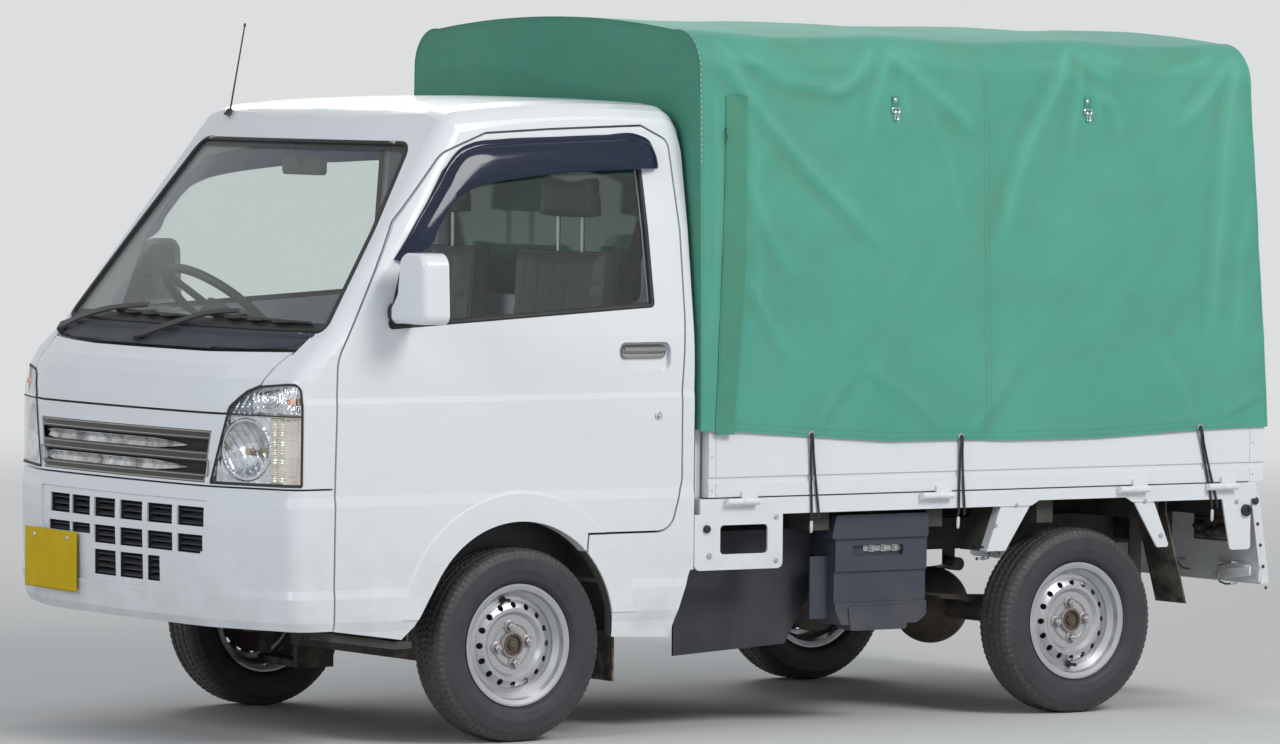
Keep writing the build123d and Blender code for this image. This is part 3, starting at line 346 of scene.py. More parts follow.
def remap(tree, value, **limits):
    """A value carried from one range to another. A limit that is not given is 0 or 1."""
    inputs = {key.replace("_", " ").title(): limit for key, limit in limits.items()}
    return add(tree, "ShaderNodeMapRange", {"Value": value, **inputs}).outputs[0]


def new_group(name, inputs, outputs):
    tree = bpy.data.node_groups.new(name, "ShaderNodeTree")
    for label, value in inputs.items():
        socket = tree.interface.new_socket(label, in_out="INPUT", socket_type="NodeSocketFloat")
        socket.default_value = value
    for label in outputs:
        tree.interface.new_socket(label, in_out="OUTPUT", socket_type="NodeSocketFloat")
    return tree, tree.nodes.new("NodeGroupInput"), tree.nodes.new("NodeGroupOutput")


def tone_group():
    """Slow, soft change over a surface, from 0 to 1."""
    tree, given, result = new_group("soft_tone", {"Scale": 3.0, "Contrast": 1.0}, ("Tone",))
    place = add(tree, COORDINATE).outputs["Object"]
    noise = add(tree, "ShaderNodeTexNoise", {"Vector": place, "Scale": given.outputs["Scale"], "Detail": 4.0})
    centred = maths(tree, "SUBTRACT", noise.outputs["Fac"], 0.5)
    tone = maths(tree, "MULTIPLY_ADD", centred, given.outputs["Contrast"], 0.5, clamp=True)
    tree.links.new(tone, result.inputs["Tone"])
    return tree


def grain_group():
    """Fine moulded or cast grain as a height."""
    tree, given, result = new_group("fine_grain", {"Scale": 900.0, "Depth": 0.3}, ("Height",))
    place = add(tree, COORDINATE).outputs["Object"]
    noise = add(tree, "ShaderNodeTexNoise", {"Vector": place, "Scale": given.outputs["Scale"], "Detail": 2.0})
    height = maths(tree, "MULTIPLY", noise.outputs["Fac"], given.outputs["Depth"])
    tree.links.new(height, result.inputs["Height"])
    return tree


def dust_group():
    """Road dust: full at a low height, gone at a higher one, and broken into patches."""
    tree, given, result = new_group("road_dust", {"Full at": 0.2, "Gone at": 0.8, "Amount": 1.0, "Patches": 14.0},
                                    ("Dust",))
    place = add(tree, COORDINATE).outputs["Object"]
    height = add(tree, "ShaderNodeSeparateXYZ", {0: place}).outputs["Z"]
    fall = remap(tree, height, from_min=given.outputs["Gone at"], from_max=given.outputs["Full at"])
    noise = add(tree, "ShaderNodeTexNoise", {"Vector": place, "Scale": given.outputs["Patches"], "Detail": 6.0,
                                             "Roughness": 0.6})
    patch = remap(tree, noise.outputs["Fac"], from_min=0.38, from_max=0.66)
    dust = maths(tree, "MULTIPLY", maths(tree, "MULTIPLY", fall, patch), given.outputs["Amount"], clamp=True)
    tree.links.new(dust, result.inputs["Dust"])
    return tree


def weave_group():
    """Plain weave: threads along the truck, and threads that run round and across it."""
    tree, given, result = new_group("plain_weave", {"Threads": 420.0, "Depth": 0.5}, ("Height", "Thread"))
    place = add(tree, COORDINATE).outputs["Object"]
    parts = add(tree, "ShaderNodeSeparateXYZ", {0: place})
    around = maths(tree, "ADD", parts.outputs["Y"], parts.outputs["Z"])
    waves = []
    for source in (parts.outputs["X"], around):
        scaled = maths(tree, "MULTIPLY", source, given.outputs["Threads"])
        waves.append(maths(tree, "SINE", maths(tree, "MULTIPLY", scaled, 2 * math.pi)))
    thread = maths(tree, "MULTIPLY_ADD", maths(tree, "MULTIPLY", *waves), 0.5, 0.5)
    height = maths(tree, "MULTIPLY", thread, given.outputs["Depth"])
    tree.links.new(height, result.inputs["Height"])
    tree.links.new(thread, result.inputs["Thread"])
    return tree


GROUPS = {"tone": tone_group(), "grain": grain_group(), "dust": dust_group(), "weave": weave_group()}
print("shader groups:", ", ".join(g.name for g in GROUPS.values()))

# %% [markdown]
# A material starts from one recipe: a base colour that drifts a little between two tones, dust
# over it where it is near the road, and a bump. Shader values that never change are set directly.

# %% Material recipe
def use_group(tree, key, **values):
    item = tree.nodes.new("ShaderNodeGroup")
    item.node_tree = GROUPS[key]
    for label, value in values.items():
        item.inputs[label.replace("_", " ")].default_value = value
    return item


def mix_colour(tree, factor, first, second, blend="MIX"):
    item = add(tree, "ShaderNodeMix", data_type="RGBA", blend_type=blend)
    for key, value in ((0, factor), (6, first), (7, second)):
        if isinstance(value, bpy.types.NodeSocket):
            tree.links.new(value, item.inputs[key])
        else:
            item.inputs[key].default_value = (*value, 1) if isinstance(value, tuple) else value
    return item.outputs[2]


DUST_COLOUR = (0.30, 0.26, 0.21)


def make(name, light, dark, roughness=0.5, metallic=0.0, coat=0.0, tone=3.0, dust=None, grain=None, patches=14.0,
         dust_colour=DUST_COLOUR, **fixed):
    """A material. dust is (full at, gone at, amount), grain is (scale, depth, bump distance)."""
    material = bpy.data.materials.new(name)
    material.use_nodes = True
    tree = material.node_tree
    shader = tree.nodes["Principled BSDF"]
    drift = use_group(tree, "tone", Scale=tone, Contrast=1.6).outputs["Tone"]
    colour = mix_colour(tree, drift, dark, light)
    rough = remap(tree, drift, to_min=roughness * 1.12, to_max=roughness * 0.9)
    if dust:
        group = use_group(tree, "dust", Full_at=dust[0], Gone_at=dust[1], Amount=dust[2], Patches=patches)
        colour = mix_colour(tree, group.outputs["Dust"], colour, dust_colour)
        rough = add(tree, "ShaderNodeMix", {0: group.outputs["Dust"], 2: rough, 3: 0.9}).outputs[0]
    tree.links.new(colour, shader.inputs["Base Color"])
    tree.links.new(rough, shader.inputs["Roughness"])
    shader.inputs["Metallic"].default_value = metallic
    shader.inputs["Coat Weight"].default_value = coat
    shader.inputs["Coat Roughness"].default_value = 0.04
    if grain:
        group = use_group(tree, "grain", Scale=grain[0], Depth=1.0)
        bump = add(tree, "ShaderNodeBump", {"Height": group.outputs["Height"], "Strength": grain[1],
                                            "Distance": grain[2]})
        tree.links.new(bump.outputs["Normal"], shader.inputs["Normal"])
    for label, value in fixed.items():
        shader.inputs[label.replace("_", " ")].default_value = value
    return material


paint = make("white_paint", (0.775, 0.805, 0.835), (0.72, 0.755, 0.79), 0.34, coat=0.55, tone=1.4,
             dust=(0.22, 0.62, 0.30), patches=9.0, grain=(260.0, 0.04, 0.0004))
inner_paint = make("inner_paint", (0.62, 0.64, 0.64), (0.54, 0.55, 0.55), 0.5, dust=(0.2, 0.7, 0.5))
bed_paint = make("bed_paint", (0.70, 0.71, 0.70), (0.52, 0.52, 0.50), 0.45, coat=0.2, tone=6.0, dust=(0.6, 0.72, 0.5))
chassis = make("chassis_black", (0.035, 0.034, 0.033), (0.018, 0.018, 0.018), 0.6, dust=(0.1, 0.6, 0.8),
               grain=(120.0, 0.5, 0.001))
cast = make("cast_iron", (0.20, 0.17, 0.15), (0.09, 0.08, 0.07), 0.65, metallic=0.5, tone=14.0, dust=(0.1, 0.5, 0.6),
            grain=(180.0, 0.6, 0.001))
rusty = make("browned_steel", (0.24, 0.16, 0.11), (0.10, 0.06, 0.04), 0.7, metallic=0.3, tone=22.0,
             grain=(200.0, 0.6, 0.001))
black_plastic = make("black_plastic", (0.030, 0.032, 0.036), (0.020, 0.021, 0.024), 0.48, grain=(1500.0, 0.25, 0.0003))
cowl_plastic = make("cowl_plastic", (0.030, 0.035, 0.050), (0.022, 0.026, 0.038), 0.6, tone=5.0,
                    grain=(1300.0, 0.3, 0.0003))
grey_plastic = make("grey_plastic", (0.045, 0.053, 0.078), (0.035, 0.041, 0.061), 0.5, dust=(0.2, 0.6, 0.16),
                    patches=7.0,
                    grain=(1100.0, 0.3, 0.0003))
# Grey trim, kept lighter than it is: part of its brightness is painted light, for light that hardly gets into the
# closed cab.
trim_grey = make("trim_grey", (0.46, 0.46, 0.45), (0.40, 0.40, 0.39), 0.6, grain=(1400.0, 0.5, 0.0004))
rubber = make("rubber", (0.022, 0.022, 0.023), (0.013, 0.013, 0.014), 0.62, grain=(700.0, 0.2, 0.0003))
flap_rubber = make("flap_rubber", (0.045, 0.042, 0.038), (0.022, 0.021, 0.020), 0.8, dust=(0.1, 0.75, 0.9),
                   patches=20.0)
galvanised = make("galvanised", (0.52, 0.53, 0.53), (0.36, 0.37, 0.37), 0.42, metallic=0.9, tone=30.0)
steel = make("bright_steel", (0.60, 0.60, 0.60), (0.48, 0.48, 0.48), 0.32, metallic=1.0, tone=40.0)
chrome = make("chrome", (0.82, 0.83, 0.84), (0.76, 0.77, 0.78), 0.07, metallic=1.0)
smoked_chrome = make("smoked_chrome", (0.088, 0.085, 0.083), (0.070, 0.068, 0.067), 0.28, metallic=1.0, coat=0.12,
                     tone=1.2)
# rippled_chrome swings in patches from near white to near black: painted reflections of bright and dark surroundings.
rippled_chrome = make("rippled_chrome", (0.86, 0.87, 0.88), (0.04, 0.04, 0.045), 0.10, metallic=1.0, tone=19.0)
# lamp_chrome and lamp_grey also swing in patches between bright and dark: painted reflections in the headlamp's
# mirrors.
lamp_chrome = make("lamp_chrome", (0.93, 0.95, 0.98), (0.42, 0.46, 0.50), 0.12, metallic=1.0, tone=34.0)
lamp_cream = make("lamp_cream", (0.95, 0.92, 0.80), (0.66, 0.62, 0.50), 0.22, metallic=0.9, tone=50.0)
lamp_rose = make("lamp_rose", (0.97, 0.90, 0.86), (0.72, 0.64, 0.60), 0.26, metallic=0.9, tone=16.0)
lamp_grey = make("lamp_grey", (0.55, 0.60, 0.66), (0.16, 0.18, 0.21), 0.18, metallic=1.0, tone=60.0)
bulb_brown = make("bulb_brown", (0.60, 0.40, 0.20), (0.30, 0.20, 0.12), 0.2, coat=0.8, tone=60.0)
# lip_chrome is chrome darkened to a grey metal: its colour stands in for the dark surroundings that chrome reflects, a
# painted reflection.
lip_chrome = make("lip_chrome", (0.42, 0.41, 0.40), (0.34, 0.33, 0.32), 0.22, metallic=1.0, tone=6.0)
grille_slat = make("grille_slat", (0.055, 0.057, 0.062), (0.035, 0.036, 0.040), 0.5, tone=20.0)
wheel_paint = make("wheel_paint", (0.56, 0.57, 0.60), (0.44, 0.45, 0.48), 0.30, metallic=0.75, coat=0.2, tone=9.0,
                   dust=(0.05, 0.6, 0.22), patches=28.0, dust_colour=(0.22, 0.19, 0.16))
hub_grey = make("hub_grey", (0.44, 0.41, 0.41), (0.30, 0.27, 0.27), 0.45, metallic=0.5, tone=40.0,
                grain=(300.0, 0.4, 0.0006))
plate_yellow = make("plate_yellow", (0.66, 0.46, 0.004), (0.58, 0.40, 0.004), 0.55, tone=12.0, Specular_IOR_Level=0.15)
amber = make("amber", (0.80, 0.22, 0.02), (0.70, 0.16, 0.01), 0.2, coat=0.6)
strap_cloth = make("strap_cloth", (0.028, 0.028, 0.030), (0.018, 0.018, 0.019), 0.85, tone=60.0,
                   grain=(1800.0, 0.6, 0.0005))
white_tip = make("white_tip", (0.72, 0.72, 0.70), (0.6, 0.6, 0.58), 0.5)
headliner = make("headliner", (0.46, 0.45, 0.42), (0.40, 0.39, 0.37), 0.9, grain=(1600.0, 0.6, 0.0005))

# %% [markdown]
# Glass, lenses and the smoked visor let light through, so they are a thin sheet: clear with a
# tint, and mirror-like at a slant. The mix of the two is left in the material itself. A pane's inner
# face would count as glass meeting air and mirror everything at a slant, so its index is turned over.

# %% Clear materials
def clear(name, tint, share, roughness=0.02, ior=1.5, body=None):
    """A thin clear sheet. share is the least part of it that reflects; body adds a milky tint."""
    material = bpy.data.materials.new(name)
    material.use_nodes = True
    tree = material.node_tree
    tree.nodes.remove(tree.nodes["Principled BSDF"])
    through = add(tree, "ShaderNodeBsdfTransparent", {"Color": (*tint, 1)}).outputs[0]
    if body:
        solid = add(tree, "ShaderNodeBsdfDiffuse", {"Color": (*body[0], 1)}).outputs[0]
        through = add(tree, "ShaderNodeMixShader", {0: body[1], 1: through, 2: solid}).outputs[0]
    mirror = add(tree, "ShaderNodeBsdfGlossy", {"Roughness": roughness}).outputs[0]
    inner_face = add(tree, "ShaderNodeNewGeometry").outputs["Backfacing"]
    bend = remap(tree, inner_face, to_min=ior, to_max=1 / ior)
    slant = add(tree, "ShaderNodeFresnel", {"IOR": bend}).outputs[0]
    smear = use_group(tree, "tone", Scale=2.0, Contrast=1.5).outputs["Tone"]
    extra = maths(tree, "MULTIPLY_ADD", smear, share, share)
    amount = maths(tree, "ADD", slant, extra, clamp=True)
    mixed = add(tree, "ShaderNodeMixShader", {0: amount, 1: through, 2: mirror}).outputs[0]
    tree.links.new(mixed, tree.nodes["Material Output"].inputs["Surface"])
    return material


window_glass = clear("window_glass", (0.93, 0.96, 0.95), 0.004, ior=1.42)
lens_clear = clear("lens_clear", (0.97, 0.98, 0.98), 0.02)
visor_smoke = clear("visor_smoke", (0.22, 0.27, 0.42), 0.008, 0.08, ior=1.35, body=((0.03, 0.045, 0.095), 0.38))
red_lens = clear("red_lens", (0.75, 0.05, 0.04), 0.05, body=((0.5, 0.02, 0.02), 0.5))
amber_lens = clear("amber_lens", (0.85, 0.35, 0.04), 0.05, body=((0.7, 0.22, 0.02), 0.4))
mirror_glass = make("mirror_glass", (0.75, 0.77, 0.78), (0.74, 0.76, 0.77), 0.03, metallic=1.0)

# %% [markdown]
# The canvas is coated cotton. It has a weave, a slow fading of its green and soft darker patches. Its
# colour is painted darker and olive in the hollows of its folds as painted shade, and lighter on their ridges
# as a painted highlight. The tyres are black with a brown dust on the tread and the shoulder, and the seats
# are grey vinyl with a fine leather-like grain.

# %% Canvas, tyre and vinyl
def canvas_material(name, light, dark, grime=(0.10, 0.24, 0.16), amount=0.20):
    material = make(name, light, dark, 0.68, tone=2.2, Sheen_Weight=0.15, Sheen_Roughness=0.5)
    tree = material.node_tree
    shader = tree.nodes["Principled BSDF"]
    base = shader.inputs["Base Color"].links[0].from_socket
    worn = use_group(tree, "tone", Scale=7.0, Contrast=3.0).outputs["Tone"]
    colour = mix_colour(tree, maths(tree, "MULTIPLY", worn, amount), base, grime)
    # Painted shade and highlight: the fold height darkens the hollows towards olive and lightens the ridges.
    fold = add(tree, "ShaderNodeAttribute", attribute_name="fold").outputs["Fac"]
    hollow = remap(tree, fold, from_min=-0.5, from_max=-6.0, to_max=0.30)
    colour = mix_colour(tree, hollow, colour, (0.085, 0.215, 0.125))
    ridge = remap(tree, fold, from_min=1.0, from_max=8.0, to_max=0.22)
    colour = mix_colour(tree, ridge, colour, (0.165, 0.500, 0.400))
    weave = use_group(tree, "weave", Threads=420.0, Depth=1.0)
    thread = remap(tree, weave.outputs["Thread"], to_min=0.93, to_max=1.04)
    grey = add(tree, "ShaderNodeCombineColor", {0: thread, 1: thread, 2: thread}).outputs[0]
    colour = mix_colour(tree, 1.0, colour, grey, "MULTIPLY")
    tree.links.new(colour, shader.inputs["Base Color"])
    wrinkle = use_group(tree, "grain", Scale=9.0, Depth=1.0)
    slow = add(tree, "ShaderNodeBump", {"Height": wrinkle.outputs["Height"], "Strength": 0.35, "Distance": 0.012})
    fine = add(tree, "ShaderNodeBump", {"Height": weave.outputs["Height"], "Strength": 0.25, "Distance": 0.0006,
                                        "Normal": slow.outputs["Normal"]})
    tree.links.new(fine.outputs["Normal"], shader.inputs["Normal"])
    return material


canvas = canvas_material("canvas_green", (0.080, 0.390, 0.292), (0.060, 0.325, 0.243))
# A darker copy of the canvas. On the front panel its darkness is painted shade, for the shade the front lies in; the
# buckle tabs use it too.
canvas_dark = canvas_material("canvas_darker", (0.060, 0.300, 0.205), (0.045, 0.250, 0.170))
canvas_strip = canvas_material("canvas_strip", (0.050, 0.290, 0.190), (0.040, 0.235, 0.150))
canvas_strip.node_tree.nodes["Principled BSDF"].inputs["Coat Weight"].default_value = 0.25
seam_thread = make("seam_thread", (0.16, 0.15, 0.09), (0.09, 0.10, 0.06), 0.85, tone=60.0)


def tyre_material():
    material = make("tyre_rubber", (0.044, 0.044, 0.052), (0.028, 0.028, 0.034), 0.6, tone=20.0,
                    grain=(500.0, 0.25, 0.0004))
    tree = material.node_tree
    shader = tree.nodes["Principled BSDF"]
    base = shader.inputs["Base Color"].links[0].from_socket
    reach = add(tree, "ShaderNodeAttribute", attribute_name="tread_dust").outputs["Fac"]
    patch = use_group(tree, "tone", Scale=150.0, Contrast=3.2).outputs["Tone"]
    amount = maths(tree, "MULTIPLY", reach, patch)
    tree.links.new(mix_colour(tree, amount, base, (0.125, 0.115, 0.100)), shader.inputs["Base Color"])
    return material


tyre_rubber = tyre_material()
seat_vinyl = make("seat_vinyl", (0.115, 0.115, 0.118), (0.085, 0.085, 0.088), 0.5, tone=8.0, grain=(420.0, 0.5, 0.0006))

node_materials = {
    "white_paint": paint, "glass": window_glass, "black_plastic": black_plastic, "grey_plastic": grey_plastic,
    "interior_grey": trim_grey, "seat_vinyl": seat_vinyl, "steel_black": chassis, "steel_grey": cast,
    "rust_steel": rusty, "wheel_silver": wheel_paint, "tyre": tyre_rubber, "rubber": rubber,
    "lamp_clear": lens_clear, "lamp_red": red_lens, "dark_chrome": smoked_chrome, "canvas_green": canvas,
    "galvanised": galvanised,
}
splash_black = make("splash_black", (0.028, 0.030, 0.044), (0.021, 0.023, 0.033), 0.6, tone=4.0, dust=(0.2, 0.7, 0.10),
                    patches=6.0, grain=(700.0, 0.3, 0.0004))
special = {"splash_panel": splash_black, "bed_floor": bed_paint, "cab_floor": inner_paint, "cowl_panel": cowl_plastic,
           "mud_flaps": flap_rubber, "tail_lamps": cast}
slot_of = {row["node"]: row["material_slot"] for row in frame["record"]["subparts"]}
for name, obj in nodes.items():
    obj.material_slots[0].material = special.get(name) or node_materials[slot_of[name]]
print(len(nodes), "nodes finished with", len({o.material_slots[0].material.name for o in nodes.values()}), "materials")

# %% [markdown]
# Some imported pieces are one part in the drawing but have two finishes on the truck: a wheel arch and
# the underside are near black low down and where they face down or inward, a mirror's foot is black, and the
# brake drum shows through a wheel's holes. Their meshes stay as they are. A mask inside the material says
# where the second finish is, from where a point stands and which way it faces.

# %% Placing group
def placing_group():
    """Distance from a line across the truck and from its middle, the height, and the ways of facing."""
    tree, given, result = new_group("placing", {"Line X": 0.0, "Line Z": 0.0},
                                    ("Distance", "Across", "Height", "Outward", "Up", "Beside"))
    source = add(tree, COORDINATE)
    place = add(tree, "ShaderNodeSeparateXYZ", {0: source.outputs["Object"]})
    facing = add(tree, "ShaderNodeSeparateXYZ", {0: source.outputs["Normal"]})
    run = maths(tree, "SUBTRACT", place.outputs["X"], given.outputs["Line X"])
    rise = maths(tree, "SUBTRACT", place.outputs["Z"], given.outputs["Line Z"])
    away = add(tree, "ShaderNodeCombineXYZ", {"X": run, "Z": rise}).outputs[0]
    unit = add(tree, "ShaderNodeVectorMath", {0: away}, operation="NORMALIZE").outputs[0]
    across = maths(tree, "ADD", place.outputs["Y"], MIDDLE_Y * MM)
    side = maths(tree, "SIGN", across)
    found = {
        "Distance": add(tree, "ShaderNodeVectorMath", {0: away}, operation="LENGTH").outputs["Value"],
        "Across": maths(tree, "ABSOLUTE", across),
        "Height": place.outputs["Z"],
        "Outward": add(tree, "ShaderNodeVectorMath", {0: source.outputs["Normal"], 1: unit},
                       operation="DOT_PRODUCT").outputs["Value"],
        "Up": facing.outputs["Z"],
        "Beside": maths(tree, "MULTIPLY", facing.outputs["Y"], side),
    }
    for label, value in found.items():
        tree.links.new(value, result.inputs[label])
    return tree


GROUPS["placing"] = placing_group()
SOFT = 0.0015


def past(tree, value, edge, soft=SOFT):
    """1 where a value is over the edge, 0 under it."""
    return remap(tree, value, from_min=edge - soft, from_max=edge + soft)


def short_of(tree, value, edge, soft=SOFT):
    return remap(tree, value, from_min=edge + soft, from_max=edge - soft)


def joined(tree, operation, *masks):
    total = masks[0]
    for mask in masks[1:]:
        total = maths(tree, operation, total, mask)
    return total


def two_finishes(name, first, light, dark, roughness, mask, line=(0.0, 0.0)):
    """A copy of a material with a second finish where the mask says so."""
    material = first.copy()
    material.name = name
    tree = material.node_tree
    shader = tree.nodes["Principled BSDF"]
    spot = use_group(tree, "placing", Line_X=(line[0] - MIDDLE_X) * MM, Line_Z=line[1] * MM).outputs
    amount = mask(tree, spot)
    drift = use_group(tree, "tone", Scale=12.0, Contrast=2.0).outputs["Tone"]
    second = mix_colour(tree, drift, dark, light)
    base, rough = (shader.inputs[key].links[0].from_socket for key in ("Base Color", "Roughness"))
    tree.links.new(mix_colour(tree, amount, base, second), shader.inputs["Base Color"])
    rough = add(tree, "ShaderNodeMix", {0: amount, 2: rough, 3: roughness}).outputs[0]
    tree.links.new(rough, shader.inputs["Roughness"])
    for key in ("Metallic", "Coat Weight"):
        value = shader.inputs[key].default_value
        if value:
            left = remap(tree, amount, to_min=value, to_max=0.0)
            tree.links.new(left, shader.inputs[key])
    return material


print("placing group with", len(GROUPS["placing"].nodes), "nodes")

# %% [markdown]
# The masks themselves are short: inside the arch's lip, inboard of the body's skin, or facing down.

# %% Second finishes
ARCH_LINE = (-12.0, 297.0)
UNDER_LIGHT, UNDER_DARK = (0.085, 0.080, 0.072), (0.040, 0.038, 0.035)


def arch_mask(tree, spot):
    lip = joined(tree, "MULTIPLY", past(tree, spot["Distance"], 0.280), short_of(tree, spot["Distance"], 0.345),
                 short_of(tree, spot["Outward"], -0.5, 0.1), short_of(tree, spot["Across"], 0.733))
    inboard = joined(tree, "MULTIPLY", short_of(tree, spot["Across"], 0.722), short_of(tree, spot["Distance"], 0.380),
                     short_of(tree, spot["Height"], 0.640), short_of(tree, spot["Up"], 0.2, 0.05))
    below = joined(tree, "MULTIPLY", short_of(tree, spot["Up"], -0.7, 0.05), short_of(tree, spot["Height"], 0.330))
    return joined(tree, "MAXIMUM", lip, inboard, below)


def low_or_down(height):
    return lambda tree, spot: joined(tree, "MAXIMUM", short_of(tree, spot["Height"], height),
                                     short_of(tree, spot["Up"], -0.4, 0.05))


def rail_mask(tree, spot):
    return joined(tree, "MAXIMUM", short_of(tree, spot["Across"], 0.700), short_of(tree, spot["Beside"], -0.5, 0.05))


def foot_mask(tree, spot):
    return joined(tree, "MAXIMUM", short_of(tree, spot["Across"], 0.7415), short_of(tree, spot["Height"], 1.139))


under = {
    "cab_body": two_finishes("cab_paint", paint, UNDER_LIGHT, UNDER_DARK, 0.8, arch_mask, ARCH_LINE),
    "cab_floor": two_finishes("floor_paint", inner_paint, UNDER_LIGHT, UNDER_DARK, 0.8, low_or_down(0.420)),
    "bed_floor": two_finishes("bed_two_sides", bed_paint, UNDER_LIGHT, UNDER_DARK, 0.8, low_or_down(0.640)),
    "bed_side_rails": two_finishes("rail_paint", paint, UNDER_LIGHT, UNDER_DARK, 0.8, rail_mask),
}
mirror_paint = two_finishes("mirror_paint", paint, (0.030, 0.032, 0.036), (0.020, 0.021, 0.024), 0.48, foot_mask)
under.update(mirror_left=mirror_paint, mirror_right=mirror_paint)
for name, material in under.items():
    nodes[name].material_slots[0].material = material
print("second finishes on", ", ".join(under))
# %% [markdown]
# Windows first. The windscreen and the door panes sit in black rubber, and the windscreen has a
# printed black border under its edge. A border is a band between two outlines, one inside the
# other, laid on the pane by rays; the rubber is a rounded bead swept round the opening.

# %% Outlines and bands
FRONT, SIDE = "x", "y"
WINDSHIELD = ((-686, 1112), (-622, 1385), (-548, 1622), (548, 1622), (622, 1385), (686, 1112))
WINDSHIELD_RADII = (26, 0, 60, 60, 0, 26)
DOOR_WINDOW = ((-436, 1122), (-366, 1336), (-216, 1562), (60, 1608), (418, 1622), (432, 1172))
DOOR_WINDOW_RADII = (14, 60, 70, 0, 34, 14)
REAR_WINDOW = ((-520, 1180), (-520, 1560), (520, 1560), (520, 1180))


def rounded(outline, radii, parts=6):
    """An outline with its corners rounded, as plane points."""
    count, result = len(outline), []
    for i in range(count):
        p, q, r = (Vector(outline[(i + k) % count]) for k in (-1, 0, 1))
        radius = radii[i] if isinstance(radii, tuple) else radii
        first, second = (p - q).normalized(), (r - q).normalized()
        half = first.angle(second) / 2
        if not radius or half > math.radians(88):
            result.append(q)
            continue
        reach = min(radius / math.tan(half), (p - q).length * 0.48, (r - q).length * 0.48)
        radius = reach * math.tan(half)
        middle = q + (first + second).normalized() * (radius / math.sin(half))
        start, end = q + first * reach - middle, q + second * reach - middle
        sweep_angle = start.angle_signed(end)
        for k in range(parts + 1):
            turn = Matrix.Rotation(-sweep_angle * k / parts, 2)
            result.append(middle + turn @ start)
    return result


def spread(points, step):
    """The same closed line with more points along its long runs."""
    result = []
    for p, q in zip(points, points[1:] + points[:1]):
        pieces = max(1, round((q - p).length / step))
        result += [p.lerp(q, k / pieces) for k in range(pieces)]
    return result


def inset(points, distance):
    """A closed line moved inwards."""
    count, result = len(points), []
    area = sum(points[i].x * points[(i + 1) % count].y - points[(i + 1) % count].x * points[i].y for i in range(count))
    turn = 1 if area > 0 else -1
    for i in range(count):
        before, after = points[i] - points[i - 1], points[(i + 1) % count] - points[i]
        normal = Vector((-before.y, before.x)).normalized() + Vector((-after.y, after.x)).normalized()
        share = max(normal.length_squared / 2, 0.5)
        result.append(points[i] + normal * (turn * distance / share))
    return result


def meet(tree, axis, a, b, lift=0.0):
    """Where a line from the front or from the left meets a surface, moved out by a lift."""
    start = at(OUTSIDE, a, b) if axis == FRONT else at(a, OUTSIDE, b)
    hit = tree.ray_cast(start, Vector((1, 0, 0)) if axis == FRONT else Vector((0, 1, 0)))[0]
    if hit is None:
        return None
    x, y, z = from_frame(hit)
    return (x - lift, y, z) if axis == FRONT else (x, y - lift, z)


def laid(tree, axis, points, lift):
    """Places on a surface; a ray that misses takes its neighbour's depth."""
    places = [meet(tree, axis, p.x, p.y, lift) for p in points]
    known = next(q for q in places if q)
    for i, place in enumerate(places):
        if place is None:
            a, b = points[i]
            place = (known[0], a, b) if axis == FRONT else (a, known[1], b)
        places[i] = known = place
    return places


def band(tree, axis, outer, inner, lift, columns=3):
    """A flat border between two closed lines, on a surface."""
    rows = []
    for k in range(columns + 1):
        line = [p.lerp(q, k / columns) for p, q in zip(outer, inner)]
        rows.append([at(*place) for place in laid(tree, axis, line, lift)])
    return grid(rows, close_columns=True)


pane_tree = tree_of("door_glass_left")
screen_edge = spread(rounded(WINDSHIELD, WINDSHIELD_RADII), 30)
window_edge = spread(rounded(DOOR_WINDOW, DOOR_WINDOW_RADII), 25)
print("windscreen edge points:", len(screen_edge), "door window edge points:", len(window_edge))

# %% [markdown]
# The rear window sits in one wide rubber lip. Its pane is flat, so the lip needs no rays: rows of
# points step out of the pane and back to it, from the outer edge inwards.

# %% Window borders and rubbers
BORDER_LIFT = 0.8
screen_border = [band(glass_tree, FRONT, inset(screen_edge, 2), inset(screen_edge, 26), BORDER_LIFT)]
piece("windscreen_border", screen_border, black_plastic)
bead = [(-6, -5), (-6, 1.5), (-4, 4), (0, 5), (4, 3.5), (5.5, 0), (5.5, -5)]
screen_bead = sweep(laid(glass_tree, FRONT, inset(screen_edge, 6), 5), bead, closed=True, up=(-0.8, 0, 0.6))
piece("windscreen_rubber", [screen_bead], rubber)

window_border = band(pane_tree, SIDE, inset(window_edge, 2), inset(window_edge, 15), BORDER_LIFT)
window_bead = sweep(laid(pane_tree, SIDE, inset(window_edge, 6), 5), bead, closed=True, up=(0, -1, 0.15))
for side, turn in SIDES:
    piece(f"window_rubber_{side}", [turn(window_border), turn(window_bead)], rubber, body=f"cab_door_{side}")

rear_edge = spread(rounded(REAR_WINDOW, 30), 40)
REAR_GLASS_X = 548.5
# columns: how far in from the edge, how far behind the pane
REAR_LIP = ((0, 6), (4, 9), (10, 7), (18, 0))
rear_rows = [[at(REAR_GLASS_X + depth, p.x, p.y) for p in inset(rear_edge, d)] for d, depth in REAR_LIP]
piece("rear_window_rubber", [grid(rear_rows, close_columns=True)], rubber)
print("rubbers fitted round three kinds of window")

# %% [markdown]
# A smoked rain visor runs along the top of each door window. It is stuck to the door frame by a
# flat edge, steps out sharply, and then slopes out to a free lower edge. Columns of points down its
# width, one for each place along its length, give that section everywhere.

